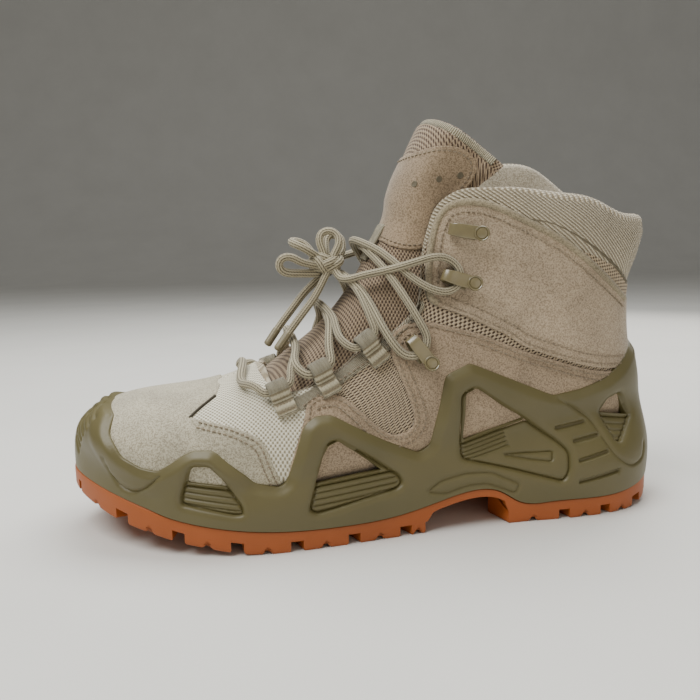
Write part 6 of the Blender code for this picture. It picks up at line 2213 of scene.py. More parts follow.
def eyelet(point, normal, radius=1.25, wire=0.38, turns=14, sides=6):
    """Small raised ring round a punched hole, with a darker floor disc that paints the hole's shade."""
    first = unit(np.cross(normal, (0.3, 0.9, 0.1)))
    second = np.cross(normal, first)
    vertices = []
    for a in np.linspace(0.0, 2.0 * math.pi, turns, endpoint=False):
        radial = first * math.cos(a) + second * math.sin(a)
        for b in np.linspace(0.0, 2.0 * math.pi, sides, endpoint=False):
            vertices.append(point + radial * (radius + wire * math.cos(b)) + normal * wire * math.sin(b))
    faces = [tuple(q) for q in grid_faces(turns, sides, True, True)]
    # A darker disc just over the patch paints the shade inside the hole.
    floor = len(vertices)
    vertices += [point + first * 1.2 * math.cos(a) + second * 1.2 * math.sin(a) + normal * 0.12
                 for a in np.linspace(0.0, 2.0 * math.pi, turns, endpoint=False)]
    faces.append(tuple(range(floor, floor + turns)))
    return np.array(vertices), faces


# ---------------------------------------------------------------- lace hardware
def loop_centre(station, turn):
    """Where the lace runs inside a webbing loop, and the loop's directions."""
    point, normal, along = surface_frame(station, turn)
    towards = np.cross(normal, along)
    if towards @ (last_point(station, 0.0) - point) < 0.0:
        towards = -towards
    rise = GAP + TAPE + LACE_RADIUS + LOOP_SLACK
    return point, normal, along, towards, point + towards * LOOP_REACH + normal * rise


def loop_mesh(station, turn, sides=44, cuts=25):
    """Ribbed webbing folded round the lace, its doubled tail lying on the upper."""
    _, normal, along, towards, centre = loop_centre(station, turn)
    inner_radius = LACE_RADIUS + LOOP_SLACK
    tail = LOOP_REACH + LOOP_TAIL
    angle = np.linspace(-math.pi / 2.0, 1.25 * math.pi - math.pi / 2.0, sides - 6)
    outer_radius = inner_radius + TAPE
    arc = np.stack([outer_radius * np.cos(angle), outer_radius * np.sin(angle)], axis=1)
    start = arc[-1]
    low = -outer_radius + 2.0 * TAPE
    back = np.array([(start[0] - 1.6, low + 1.2), (start[0] - 3.2, low + 0.25), (-tail + 0.5, low),
                     (-tail, low - 0.4), (-tail, -outer_radius + 0.3), (-tail + 0.5, -outer_radius)])
    outer = np.concatenate([arc, back])
    share = np.linspace(0.0, 2.0 * math.pi, sides, endpoint=False) - math.pi / 2.0
    inner = np.stack([inner_radius * np.cos(share), inner_radius * np.sin(share)], axis=1)
    vertices = []
    for t in np.linspace(-1.0, 1.0, cuts):
        ridge = 0.16 * math.cos(t * 5.5 * 2.0 * math.pi) - 0.35 * abs(t) ** 8
        edge = unit(outer)
        for profile in (outer + edge * ridge, inner):
            middle = centre + along * (t * LOOP_WIDTH / 2.0)
            vertices += [middle + towards * a + normal * b for a, b in profile]
    faces = []
    for k in range(cuts - 1):
        for layer in (0, sides):
            for i in range(sides):
                j = (i + 1) % sides
                low_row, high_row = 2 * sides * k + layer, 2 * sides * (k + 1) + layer
                faces.append((low_row + i, low_row + j, high_row + j, high_row + i))
    for base in (0, 2 * sides * (cuts - 1)):
        for i in range(sides):
            j = (i + 1) % sides
            faces.append((base + i, base + sides + i, base + sides + j, base + j))
    uv = [(t * LOOP_WIDTH, k * 1.0) for t in np.linspace(-0.5, 0.5, cuts) for k in list(range(sides)) * 2]
    return np.array(vertices), faces, np.array(uv)


def hook_frame(station, turn, tilt):
    """Foot of a hook just clear of the upper, its normal, the way its arm points, the way across."""
    point, normal, _ = surface_frame(station, turn)
    arm = np.array([math.cos(math.radians(tilt)), 0.0, -math.sin(math.radians(tilt))])
    arm -= normal * (arm @ normal)
    arm /= np.linalg.norm(arm)
    across = np.cross(normal, arm)
    heights = []
    above = 20.0
    for a in (-3.4, 0.0, 4.5, 9.0):
        for b in (-0.5, 0.0, 0.5):
            start = point + arm * a + across * (b * HOOK_WIDTH) + normal * above
            hit = UPPER.tree.ray_cast(Vector(start), Vector(-normal))
            if hit[0] is not None:
                heights.append(above - hit[3])
    return point + normal * max(heights), normal, arm, across


def hook_mesh(station, turn, tilt):
    """Bent strap with softened edges, a rivet in its foot and a rimmed button on its arm."""
    point, normal, arm, across = hook_frame(station, turn, tilt)
    low = GAP + HOOK_PLATE / 2.0
    high = GAP + HOOK_PLATE * 1.5 + HOOK_MOUTH
    bend = [(9.4, low), (6.0, low), (2.0, low), (-0.6, low + 0.1), (-2.2, low + 1.0),
            (-2.9, (low + high) / 2.0), (-2.2, high - 1.0), (-0.6, high - 0.1), (3.0, high), (7.0, high),
            (HOOK_LENGTH - 1.0, high + 0.1)]
    path = evenly(bend, 0.55)
    points = point + arm * path[:, :1] + normal * path[:, 1:]
    tangent = unit(np.gradient(points, axis=0))
    facing = np.cross(tangent, across)
    half, thick, soft = HOOK_WIDTH / 2.0, HOOK_PLATE / 2.0, 0.42
    corners = [(half, -thick), (half, thick), (-half, thick), (-half, -thick)]
    section = rounded_path(corners, soft, steps=4)
    waist = 1.0 - 0.16 * np.exp(-((path[:, 0] + 2.5) / 3.5) ** 2)
    grid, faces = sweep(points, facing, section)
    centre = np.repeat(points, len(section), axis=0)
    offset = (grid - centre) @ across
    grid = grid + across * (offset * (np.repeat(waist, len(section)) - 1.0))[:, None]
    parts = [(grid, faces)]
    top = point + arm * HOOK_LENGTH + normal * (high + 0.35)
    foot = point + arm * 5.4 + normal * (low + thick)
    for profile, place, radial in ((HOOK_BUTTON, top, 28), (HOOK_RIVET, foot, 16)):
        vertices = [place + normal * h + (arm * math.cos(a) + across * math.sin(a)) * r
                    for r, h in profile
                    for a in np.linspace(0.0, 2.0 * math.pi, radial, endpoint=False)]
        parts.append((np.array(vertices), [tuple(q) for q in grid_faces(len(profile), radial, True)]))
    return merge(parts)


def make_hardware():
    """Webbing loops, bent metal hooks and the webbing keeper on the tongue."""
    for side, word in ((LATERAL, "lateral"), (MEDIAL, "medial")):
        for number, (station, turn) in enumerate(LACE_LOOPS, 1):
            vertices, faces, uv = loop_mesh(station, side * turn)
            piece = make_mesh(f"loop_{word}_{number}", vertices, faces, [MATERIALS["webbing"]], uv=uv)
            outward(piece)
            sharpen(piece, 50.0)
            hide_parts(f"lace_loop_{word}_{number}")
            sew_tail(station, side * turn)
        for number, (station, turn, tilt) in enumerate(LACE_HOOKS, 1):
            vertices, faces = hook_mesh(station, side * turn, tilt)
            piece = make_mesh(f"hook_{word}_{number}", vertices, faces, [MATERIALS["hook_enamel"]])
            outward(piece)
            sharpen(piece, 40.0)
            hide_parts(f"lace_hook_{word}_{number}")
    make_keeper()


def sew_tail(station, turn):
    """Two rows of stitches over a loop's tail."""
    _, normal, along, towards, centre = loop_centre(station, turn)
    for back in (3.0, 6.6):
        rise = TAPE - LACE_RADIUS - LOOP_SLACK + 0.12
        place = centre - towards * (LOOP_REACH + back) + normal * rise
        row = np.array([place - along * LOOP_WIDTH * 0.42, place + along * LOOP_WIDTH * 0.42])
        STITCHES.append(stitch_frames(row, np.array([normal, normal]), *TAIL_STITCH))


def make_keeper():
    """Ribbed webbing sewn along the middle of the tongue."""
    rows, columns = KEEPER_GRID
    stations = np.linspace(*KEEPER_STATIONS, rows)
    width = np.linspace(-0.5, 0.5, columns) * KEEPER_WIDTH
    ridge = KEEPER_RIDGE * np.cos(np.linspace(-0.5, 0.5, columns) * KEEPER_RIBS * 2.0 * math.pi)
    share = np.linspace(0.0, 1.0, rows)
    end = KEEPER_END * (1.0 - smooth_step(0.0, 0.06, share) * smooth_step(1.0, 0.94, share))
    grids = []
    for layer in (GAP + TAPE, GAP):
        turn = width * KEEPER_TURN_PER_MM
        lift = layer + (ridge[None, :] - end[:, None] if layer > GAP else np.zeros(KEEPER_GRID))
        point, normal, _ = surface_frame(stations[:, None], turn[None, :])
        grids.append(point + normal * lift[:, :, None])
    half = rows * columns
    grid = grid_faces(rows, columns)
    rim = grid_rim(rows, columns)
    faces = [tuple(f) for f in grid] + [tuple(f) for f in half + grid[:, ::-1]]
    faces += [(a, half + a, half + b, b) for a, b in zip(rim, rim[1:] + rim[:1])]
    vertices = np.concatenate([g.reshape(-1, 3) for g in grids])
    uv = np.stack(np.meshgrid(width, stations * 300.0), axis=-1).reshape(-1, 2)
    keeper = outward(make_mesh("tongue_keeper", vertices, faces, [MATERIALS["webbing"]],
                               uv=np.concatenate([uv, uv])))
    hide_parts("tongue_lace_keeper")


# ---------------------------------------------------------------- the lace
LOWEST_BAR = 0.300          # station of the bar nearest the toe
STRAND_RISE = 4.1           # height over the last of a strand between two loops
CROSSING_RISE = 2.6         # of the lower strand where two cross
KEEPER_RISE = 4.4           # of the lower strand where two cross over the keeper
LACE_STEP = 4.6             # from the lower to the upper strand of a crossing
KNOT_CENTRE = (-23.3, -5.4, 126.2)
KNOT_RADII = (8.2, 7.5, 5.6)
KNOT_GAP = 0.35             # between the knot and the face of a cord's end
KNOT_LEAD = 3.2             # how far a cord runs straight out from the knot
# The two halves' last runs to the knot, x, y, z, then the way from the knot's middle to where they meet it.
LATERAL_RUN = ((17.5, -33.0, 127.5), (9.0, -30.8, 125.0), (-1.0, -25.5, 122.4), (-8.5, -21.2, 120.6))
LATERAL_PORT = (0.55, -0.65, -0.45)
MEDIAL_RUN = ((-6.0, 18.5, 131.5), (-14.0, 12.8, 129.0))
MEDIAL_PORT = (0.35, 0.90, -0.05)
# Free parts of the lace, listed: the way it leaves the knot, points x, y, z, the way it comes back.
BOW_LOOPS = {
    "lace_bow_near_1": (
        (-0.85, -0.50, 0.0),
        ((-37.3, -12.9, 128.1), (-41.8, -14.0, 130.1), (-45.9, -14.0, 129.1),
         (-46.9, -13.4, 125.7), (-44.5, -12.4, 123.1), (-39.8, -11.2, 122.3)),
        (-0.75, -0.20, -0.55)),
    "lace_bow_near_2": (
        (-0.75, -0.30, 0.60),
        ((-33.3, -10.0, 133.5), (-37.5, -8.8, 135.7), (-39.9, -5.0, 137.1),
         (-38.3, -1.0, 137.7), (-33.7, 0.4, 136.3)),
        (-0.75, 0.45, 0.50)),
    "lace_bow_far_1": (
        (-0.20, 0.05, 0.95),
        ((-26.1, -4.0, 138.3), (-24.7, -3.0, 141.5), (-20.9, -3.0, 142.6),
         (-17.2, -4.0, 140.3), (-16.7, -6.0, 136.3)),
        (0.60, -0.40, 0.70)),
    "lace_bow_far_2": (
        (0.10, 0.65, 0.70),
        ((-22.3, 4.0, 136.1), (-20.9, 6.8, 139.5), (-17.3, 8.4, 140.9),
         (-13.9, 8.0, 138.9), (-13.3, 6.2, 135.1), (-14.3, 3.4, 132.1)),
        (0.75, 0.60, 0.35)),
}
LACE_ENDS = {
    "lace_end_near": (
        (-0.10, -0.60, -0.75),
        ((-30.2, -13.4, 110.8), (-36.2, -16.0, 103.4), (-42.0, -18.2, 96.4),
         (-47.0, -20.2, 90.2), (-49.4, -21.0, 87.0))),
    "lace_end_far": (
        (-0.35, 0.15, -0.85),
        ((-34.6, -5.4, 112.2), (-40.4, -7.6, 105.4), (-46.2, -9.6, 98.4),
         (-51.2, -11.2, 91.8), (-53.6, -12.0, 88.4))),
}
LOOP_EXIT = 0.031           # station step from a loop's middle to where the lace leaves it
LACE_WIDE, LACE_HIGH = 2.15, 1.85   # half width and half height of the cord
AGLET_LENGTH = 9.0
KNOT_REACH = 2.6            # how far the cords' ends run on inside the knot
KNOT_TURNS = (
    # x, y, z of the turn's middle from the knot's, slope of its front in degrees, half length, half depth
    ((3.4, 0.2, -0.6), 48.0, 5.0, 5.2), ((0.2, 0.0, 0.6), 40.0, 5.2, 5.6),
    ((-3.0, -0.4, -0.2), -38.0, 4.6, 5.0), ((-0.6, 0.6, -2.2), 4.0, 6.2, 4.4),
    ((0.6, 1.2, 2.4), -8.0, 5.6, 4.2),
)


def through_loop(index, side):
    """The lace's run through one webbing loop, from its toe end to its collar end."""
    station, turn = LACE_LOOPS[index]
    _, _, along, towards, centre = loop_centre(station, side * turn)
    run = ((-8.0, 4.4), (-5.6, 0.3), (-2.0, -0.4), (2.0, -0.4), (5.6, 0.3), (8.0, 4.4))
    return [centre + along * a + towards * b for a, b in run]


def round_hook(index, side):
    """The lace's turn round the inside of a hook, entering from below."""
    station, turn, tilt = LACE_HOOKS[index]
    point, normal, arm, across = hook_frame(station, side * turn, tilt)
    if across[2] < 0.0:
        across = -across
    height = GAP + HOOK_PLATE + HOOK_MOUTH / 2.0
    path = ((-4.5, -8.0, 1.3), (1.5, -6.6, 0.0), (4.6, -3.6, 0.0), (5.6, 0.0, 0.0),
            (4.6, 3.6, 0.0), (1.5, 6.6, 0.0), (-4.5, 8.0, 1.3))
    return [point + normal * (height + lift) + arm * a + across * b for a, b, lift in path]


def strand(start, end, over, rise):
    """Points from one side to the other across the tongue; over says which lace is on top."""
    crossing = rise + (LACE_STEP if over else 0.0)
    points = []
    for t in (0.22, 0.37, 0.5, 0.63, 0.78):
        station = start[0] + (end[0] - start[0]) * t
        turn = start[1] + (end[1] - start[1]) * t
        middle = math.exp(-((t - 0.5) / 0.17) ** 2)
        points.append(raised(station, turn, STRAND_RISE + (crossing - STRAND_RISE) * middle))
    return points


def knot_port(way):
    """The point where a cord leaves the knot in a given way, and a second one straight out from it."""
    radii = np.array(KNOT_RADII)
    offset = np.array(way) / np.linalg.norm(np.array(way) / radii)
    out = offset / radii ** 2
    out /= np.linalg.norm(out)
    start = np.array(KNOT_CENTRE) + offset + out * KNOT_GAP
    return [start, start + out * KNOT_LEAD]


def lace_half(side, over_first):
    """One half of the lace: from the middle of the lowest bar up to the knot."""
    route = [raised(LOWEST_BAR, side * 0.22, 3.6), raised(LOWEST_BAR, side * 0.55, 3.8)]
    over = over_first
    for index in range(3):
        route += through_loop(index, side)
        station, turn = LACE_LOOPS[index]
        start = (station + LOOP_EXIT, side * turn * 0.88)
        if index < 2:
            end = (LACE_LOOPS[index + 1][0] - LOOP_EXIT, -side * LACE_LOOPS[index + 1][1] * 0.88)
        else:
            end = (LACE_HOOKS[0][0] - 0.020, -side * LACE_HOOKS[0][1] * 0.80)
        route += strand(start, end, over, CROSSING_RISE)
        over = not over
        side = -side
    route += round_hook(0, side)
    start = (LACE_HOOKS[0][0] + 0.045, side * LACE_HOOKS[0][1] * 0.72)
    end = (LACE_HOOKS[1][0] - 0.042, -side * LACE_HOOKS[1][1] * 0.80)
    route += strand(start, end, over, KEEPER_RISE)
    side = -side
    route += round_hook(1, side)
    if side > 0.0:
        route += [np.array(p) for p in LATERAL_RUN] + knot_port(LATERAL_PORT)[::-1]
    else:
        route += [raised(LACE_HOOKS[1][0] - 0.012, side * 0.52, 7.5)]
        route += [np.array(p) for p in MEDIAL_RUN] + knot_port(MEDIAL_PORT)[::-1]
    return route


def into_knot(points, at_start, at_end):
    """The route with its ends carried on a little into the knot."""
    points = [np.array(p) for p in points]
    if at_start:
        points = [points[0] - unit(points[1] - points[0]) * KNOT_REACH] + points
    if at_end:
        points = points + [points[-1] + unit(points[-1] - points[-2]) * KNOT_REACH]
    return points


def cord_section(sides=40):
    """Oval section with soft lengthwise ribs."""
    angle = np.linspace(0.0, 2.0 * math.pi, sides, endpoint=False)
    swell = 1.0 - 0.085 * (0.5 - 0.5 * np.cos(LACE_RIBS * angle)) ** 2
    return np.stack([LACE_WIDE * np.cos(angle) * swell, LACE_HIGH * np.sin(angle) * swell], axis=1)


def cord_mesh(route, first_normal, spacing=0.8):
    """A ribbed cord along a route: vertices, faces, weave coordinates and its middle line."""
    points = evenly(route, spacing)
    section = cord_section()
    taper = np.ones(len(points))
    taper[[0, -1]] = 0.80
    normals = carried_normals(points, np.asarray(first_normal, float))
    vertices, faces = sweep(points, normals, section, taper=taper)
    return vertices, faces, cord_uv(points, len(section)), points


def cord_uv(points, sides):
    """Coordinates on a cord: from 0 to 1 round it, and millimetres along it."""
    round_it = np.tile(np.arange(sides) / sides, len(points))
    return np.stack([round_it, np.repeat(chord_lengths(points), sides)], axis=1)


def make_crossings():
    """The lace's bars and crossings, through the loops and round the hooks to the knot."""
    lateral, medial = lace_half(1.0, False), lace_half(-1.0, True)
    route = into_knot(lateral[::-1] + medial, True, True)
    vertices, faces, uv, _ = cord_mesh(route, (0.0, 0.0, 1.0))
    piece = outward(make_mesh("lace_laid", vertices, faces, [MATERIALS["lace"]], uv=uv))
    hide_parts("lace_crossings")


def make_knot():
    """Tied knot: turns of cord drawn tight round each other."""
    section = cord_section()
    parts, uvs = [], []
    turn = np.linspace(0.0, 2.0 * math.pi, 60, endpoint=False)
    for (x, y, z), slope, long_way, deep in KNOT_TURNS:
        centre = np.array(KNOT_CENTRE) + (x, y, z)
        first = np.array([math.cos(math.radians(slope)), 0.0, math.sin(math.radians(slope))])
        second = np.array([0.0, 1.0, 0.0])
        path = centre + np.outer(np.cos(turn), first) * long_way + np.outer(np.sin(turn), second) * deep
        path += np.cross(first, second) * (0.9 * np.sin(2.0 * turn))[:, None]
        vertices, faces = sweep(path, unit(path - centre), section, closed=True)
        parts.append((vertices, faces))
        uvs.append(cord_uv(path, len(section)))
    vertices, faces = merge(parts)
    knot = outward(make_mesh("knot_wound", vertices, faces, [MATERIALS["lace"]], uv=np.concatenate(uvs)))
    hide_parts("lace_knot")
    return knot


def free_cord(name, node, route, with_pieces):
    """A free part of the lace, built along its route."""
    vertices, faces, uv, points = cord_mesh(route, (0.0, 0.3, 1.0))
    piece = outward(make_mesh(name, vertices, faces, [MATERIALS["lace"]], uv=uv))
    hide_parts(node)
    return piece


def aglet(name, route):
    """Sleeve bound round a lace's end."""
    points = evenly(route, 0.5)
    distance = chord_lengths(points)
    tip = points[distance > distance[-1] - AGLET_LENGTH]
    ahead = unit(points[-1] - points[-4])
    tip = np.concatenate([tip, points[-1:] + ahead * np.array([[0.5], [0.9]])])
    angle = np.linspace(0.0, 2.0 * math.pi, 18, endpoint=False)
    section = np.stack([2.15 * np.cos(angle), 1.95 * np.sin(angle)], axis=1)
    taper = np.ones(len(tip))
    taper[0], taper[-2], taper[-1] = 0.96, 0.9, 0.6
    vertices, faces = sweep(tip, carried_normals(tip, np.array([0.0, 0.3, 1.0])), section, taper=taper)
    return outward(make_mesh(name, vertices, faces, [MATERIALS["lace_tip"]]))


def make_lace():
    """The whole lace: what is laid on the boot, the knot, its bow and its hanging ends."""
    make_crossings()
    carried = [make_knot()]
    for node, (leaving, points, returning) in BOW_LOOPS.items():
        route = into_knot(knot_port(leaving)[:1] + list(points) + knot_port(returning)[:1], True, True)
        free_cord(node.replace("lace_", ""), node, route, carried)
        carried = []
    for node, (leaving, points) in LACE_ENDS.items():
        route = into_knot(knot_port(leaving)[:1] + list(points), True, False)
        word = node.replace("lace_", "")
        free_cord(word, node, route, [aglet(f"aglet_{word}", route)])


# ---------------------------------------------------------------- stage
CAMERA_PLACE = (-69.59, -357.52, 132.15)
CAMERA_YAW = 9.23           # degrees to the right of straight across the boot
CAMERA_PITCH = 7.82
CAMERA_ROLL = -0.971
WALL_HEIGHT = 3.0           # of the backdrop that the floor runs up into
WALL_BEND = 1.5             # radius of the bend between them


def make_camera(stage):
    """Camera low in front of the lateral side, a little towards the toe."""
    data = bpy.data.cameras.new("camera")
    data.lens = stage.lens
    data.sensor_width = 36.0
    data.clip_start = 0.01
    camera = bpy.data.objects.new("camera", data)
    bpy.context.scene.collection.objects.link(camera)
    bpy.context.scene.camera = camera
    turn = Matrix.Rotation(math.radians(-CAMERA_YAW), 4, "Z")
    tilt = Matrix.Rotation(math.radians(90.0 - CAMERA_PITCH), 4, "X")
    roll = Matrix.Rotation(math.radians(CAMERA_ROLL), 4, "Z")
    camera.matrix_world = Matrix.Translation(Vector(CAMERA_PLACE) * MM) @ turn @ tilt @ roll


def area_light(name, place, target, size, power, colour):
    """A soft rectangular light at a place, facing the target."""
    data = bpy.data.lights.new(name, "AREA")
    data.shape = "RECTANGLE"
    data.size, data.size_y = size
    data.energy = power
    data.color = colour
    light = bpy.data.objects.new(name, data)
    bpy.context.scene.collection.objects.link(light)
    light.location = place
    light.rotation_euler = (Vector(target) - Vector(place)).to_track_quat("-Z", "Y").to_euler()
    return light


def make_stage(stage):
    """Pale floor that bends up into a backdrop, soft lights and an even sky."""
    half = stage.floor_depth
    ground = [(-half, 0.0), (half, 0.0)]
    bend = [(half + WALL_BEND * math.sin(turn), WALL_BEND - WALL_BEND * math.cos(turn))
            for turn in np.linspace(0.0, math.pi / 2.0, 25)[1:]]
    profile = ground + bend + [(half + WALL_BEND, WALL_BEND + WALL_HEIGHT)]
    wide = 3.0 * half
    vertices = [(x, y, z) for y, z in profile for x in (-wide, wide)]
    faces = [(2 * row, 2 * row + 1, 2 * row + 3, 2 * row + 2) for row in range(len(profile) - 1)]
    mesh = bpy.data.meshes.new("floor")
    mesh.from_pydata(vertices, [], faces)
    mesh.polygons.foreach_set("use_smooth", [True] * len(faces))
    floor = bpy.data.objects.new("floor", mesh)
    bpy.context.scene.collection.objects.link(floor)
    s = Shader("floor_paper", roughness=0.75)
    s.bump(s.noise(220.0, 3.0, 0.6), 0.06, 0.0008)
    tone = s.ramp(s.noise(5.0, 3.0, 0.6), ((0.3, (0.66, 0.65, 0.61)), (0.7, (0.70, 0.69, 0.65))))
    mesh.materials.append(s.done(tone))
    target = (0.0, 0.0, 0.08)
    power = stage.light_power
    area_light("key_light", (-0.60, -0.30, 1.15), target, (0.8, 0.8), power, (1.0, 0.995, 0.98))
    area_light("top_light", (0.15, 0.40, 1.25), target, (1.1, 0.8), power, (0.98, 1.0, 1.0))
    area_light("fill_light", (0.45, -1.10, 0.45), target, (1.0, 0.8), 0.14 * power, (1.0, 0.88, 0.74))
    area_light("rim_light", (0.75, 0.75, 0.55), target, (0.8, 0.6), 0.27 * power, (1.0, 0.97, 0.92))
    world = bpy.context.scene.world or bpy.data.worlds.new("sky")
    bpy.context.scene.world = world
    world.use_nodes = True
    sky = world.node_tree.nodes["Background"]
    sky.inputs["Color"].default_value = (0.90, 0.89, 0.86, 1.0)
    sky.inputs["Strength"].default_value = stage.sky_strength


# ---------------------------------------------------------------- settings
class BootSizes(bpy.types.PropertyGroup):
    """Sizes of the sewing, and of the panels laid on the upper."""

    stitch_spacing: bpy.props.FloatProperty(
        name="Stitch spacing", description="From the start of one stitch to the next",
        default=0.0025, min=0.0015, max=0.006, unit="LENGTH", precision=4)
    stitch_length: bpy.props.FloatProperty(
        name="Stitch length", description="Length of thread that shows at each stitch",
        default=0.0018, min=0.0008, max=0.005, unit="LENGTH", precision=4)
    thread_radius: bpy.props.FloatProperty(
        name="Thread radius", description="Half the thickness of the sewing thread",
        default=0.00036, min=0.0001, max=0.001, unit="LENGTH", precision=5)
    suede_height: bpy.props.FloatProperty(
        name="Suede height", description="How far the suede panels stand out from the upper",
        default=0.00125, min=0.0008, max=0.002, unit="LENGTH", precision=5)
    mesh_height: bpy.props.FloatProperty(
        name="Mesh height", description="How far the mesh panels stand out from the upper",
        default=0.00045, min=0.0003, max=0.001, unit="LENGTH", precision=5)


class BootColours(bpy.types.PropertyGroup):
    """Main colours, each a linear colour of a clean surface."""

    toe_suede: bpy.props.FloatVectorProperty(
        name="Toe suede", description="Suede of the toe cap",
        default=(0.48, 0.44, 0.325), min=0.0, max=1.0, subtype="COLOR")
    quarter_suede: bpy.props.FloatVectorProperty(
        name="Quarter suede", description="Suede of the side, between the frame and the ankle",
        default=(0.36, 0.275, 0.185), min=0.0, max=1.0, subtype="COLOR")
    ankle_suede: bpy.props.FloatVectorProperty(
        name="Ankle suede", description="Suede of the ankle panel",
        default=(0.44, 0.35, 0.245), min=0.0, max=1.0, subtype="COLOR")
    tongue_suede: bpy.props.FloatVectorProperty(
        name="Tongue suede", description="Suede of the patch at the top of the tongue",
        default=(0.34, 0.255, 0.165), min=0.0, max=1.0, subtype="COLOR")
    vamp_mesh: bpy.props.FloatVectorProperty(
        name="Vamp mesh", description="Threads of the fine mesh over the forefoot",
        default=(0.82, 0.78, 0.63), min=0.0, max=1.0, subtype="COLOR")
    tongue_mesh: bpy.props.FloatVectorProperty(
        name="Tongue mesh", description="Threads of the coarse mesh of the tongue",
        default=(0.38, 0.285, 0.185), min=0.0, max=1.0, subtype="COLOR")
    collar_cloth: bpy.props.FloatVectorProperty(
        name="Collar cloth", description="Ribs of the cloth round the padded collar",
        default=(0.68, 0.60, 0.44), min=0.0, max=1.0, subtype="COLOR")
    frame_rubber: bpy.props.FloatVectorProperty(
        name="Frame", description="Moulded frame round the sole",
        default=(0.106, 0.088, 0.030), min=0.0, max=1.0, subtype="COLOR")
    gum_rubber: bpy.props.FloatVectorProperty(
        name="Outsole", description="Gum rubber of the outsole",
        default=(0.34, 0.080, 0.010), min=0.0, max=1.0, subtype="COLOR")
    lace: bpy.props.FloatVectorProperty(
        name="Lace", description="Plaited cover of the lace",
        default=(0.43, 0.38, 0.255), min=0.0, max=1.0, subtype="COLOR")
    hook_enamel: bpy.props.FloatVectorProperty(
        name="Hooks", description="Enamel of the lace hooks and loops",
        default=(0.165, 0.135, 0.065), min=0.0, max=1.0, subtype="COLOR")


class BootStage(bpy.types.PropertyGroup):
    """Camera, floor and lights."""

    lens: bpy.props.FloatProperty(
        name="Lens", description="Focal length of the camera",
        default=36.77, min=10.0, max=200.0, unit="CAMERA")
    floor_depth: bpy.props.FloatProperty(
        name="Floor depth", description="Flat floor in front of and behind the boot",
        default=3.0, min=1.0, max=20.0, unit="LENGTH")
    light_power: bpy.props.FloatProperty(
        name="Light power", description="Power of the key light; the others follow it",
        default=18.0, min=0.0, max=200.0, unit="POWER")
    sky_strength: bpy.props.FloatProperty(
        name="Sky strength", description="Strength of the even light from all round",
        default=0.26, min=0.0, max=5.0)


# ---------------------------------------------------------------- operators
class BOOT_OT_stage(bpy.types.Operator):
    """Add the camera, the floor and the lights"""

    bl_idname = "boot.stage"
    bl_label = "Stage"

    def execute(self, context):
        ready_materials()
        make_camera(context.scene.boot_stage)
        make_stage(context.scene.boot_stage)
        return {"FINISHED"}


class BOOT_OT_lace(bpy.types.Operator):
    """Run the lace through its loops and hooks, and tie it in a bow"""

    bl_idname = "boot.lace"
    bl_label = "Lace"

    def execute(self, context):
        ready_materials()
        make_lace()
        return {"FINISHED"}


class BOOT_OT_shell(bpy.types.Operator):
    """Make the upper's inner shell: lining, padded collar and ribbed collar cloth"""

    bl_idname = "boot.shell"
    bl_label = "Shell and collar"

    def execute(self, context):
        ready_materials()
        make_shell()
        return {"FINISHED"}


class BOOT_OT_panels(bpy.types.Operator):
    """Lay the suede and mesh panels on the upper"""

    bl_idname = "boot.panels"
    bl_label = "Panels"

    def execute(self, context):
        ready_materials()
        make_panels()
        return {"FINISHED"}


class BOOT_OT_frame(bpy.types.Operator):
    """Mould the frame with its windows, ribs and grooves round the sole"""

    bl_idname = "boot.frame"
    bl_label = "Frame"

    def execute(self, context):
        ready_materials()
        make_frame()
        return {"FINISHED"}


class BOOT_OT_outsole(bpy.types.Operator):
    """Mould the outsole and its lugs"""

    bl_idname = "boot.outsole"
    bl_label = "Outsole"

    def execute(self, context):
        ready_materials()
        make_outsole()
        return {"FINISHED"}


class BOOT_OT_insole(bpy.types.Operator):
    """Lay the insole inside the boot"""

    bl_idname = "boot.insole"
    bl_label = "Insole"

    def execute(self, context):
        ready_materials()
        make_insole()
        return {"FINISHED"}


class BOOT_OT_tongue(bpy.types.Operator):
    """Make the padded tongue, its patch with punched holes, and its binding"""

    bl_idname = "boot.tongue"
    bl_label = "Tongue"

    def execute(self, context):
        ready_materials()
        make_tongue()
        return {"FINISHED"}


class BOOT_OT_hardware(bpy.types.Operator):
    """Make the webbing loops and the lace hooks"""

    bl_idname = "boot.hardware"
    bl_label = "Loops and hooks"

    def execute(self, context):
        ready_materials()
        make_hardware()
        return {"FINISHED"}


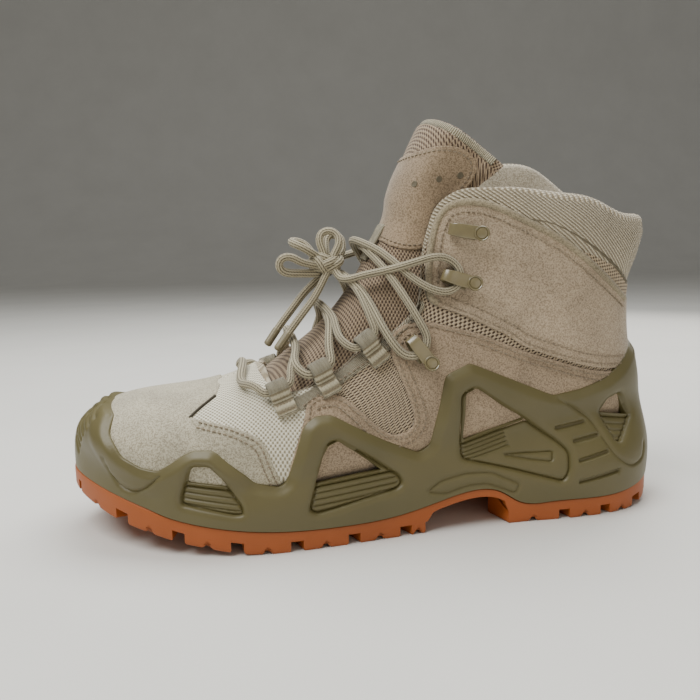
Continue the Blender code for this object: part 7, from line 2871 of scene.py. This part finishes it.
class BOOT_OT_stitches(bpy.types.Operator):
    """Sew every row that the panels, tongue and loops have laid out"""

    bl_idname = "boot.stitches"
    bl_label = "Stitches"

    def execute(self, context):
        ready_materials()
        if not STITCHES:
            raise RuntimeError("make the panels before the stitches")
        make_stitches()
        return {"FINISHED"}


OPERATORS = (BOOT_OT_stage, BOOT_OT_lace, BOOT_OT_shell, BOOT_OT_panels, BOOT_OT_frame, BOOT_OT_outsole,
             BOOT_OT_insole, BOOT_OT_tongue, BOOT_OT_hardware, BOOT_OT_stitches)


class BOOT_PT_sidebar(bpy.types.Panel):
    """The boot's settings, and a button for each group of pieces"""

    bl_idname = "BOOT_PT_sidebar"
    bl_label = "Hiking boot"
    bl_space_type = "VIEW_3D"
    bl_region_type = "UI"
    bl_category = "Boot"

    def draw(self, context):
        scene = context.scene
        for group in (scene.boot_sizes, scene.boot_colours, scene.boot_stage):
            box = self.layout.box()
            for name in type(group).__annotations__:
                box.prop(group, name)
        column = self.layout.column(align=True)
        for operator in OPERATORS:
            column.operator(operator.bl_idname)


CLASSES = (BootSizes, BootColours, BootStage, *OPERATORS, BOOT_PT_sidebar)


def register():
    for cls in CLASSES:
        bpy.utils.register_class(cls)
    bpy.types.Scene.boot_sizes = bpy.props.PointerProperty(type=BootSizes)
    bpy.types.Scene.boot_colours = bpy.props.PointerProperty(type=BootColours)
    bpy.types.Scene.boot_stage = bpy.props.PointerProperty(type=BootStage)


def unregister():
    del bpy.types.Scene.boot_stage
    del bpy.types.Scene.boot_colours
    del bpy.types.Scene.boot_sizes
    for cls in reversed(CLASSES):
        bpy.utils.unregister_class(cls)


def main():
    """Make every piece."""
    register()
    bpy.ops.boot.stage()
    bpy.ops.boot.lace()
    bpy.ops.boot.shell()
    bpy.ops.boot.panels()
    bpy.ops.boot.frame()
    bpy.ops.boot.outsole()
    bpy.ops.boot.insole()
    bpy.ops.boot.tongue()
    bpy.ops.boot.hardware()
    bpy.ops.boot.stitches()


if __name__ == "__main__":
    main()
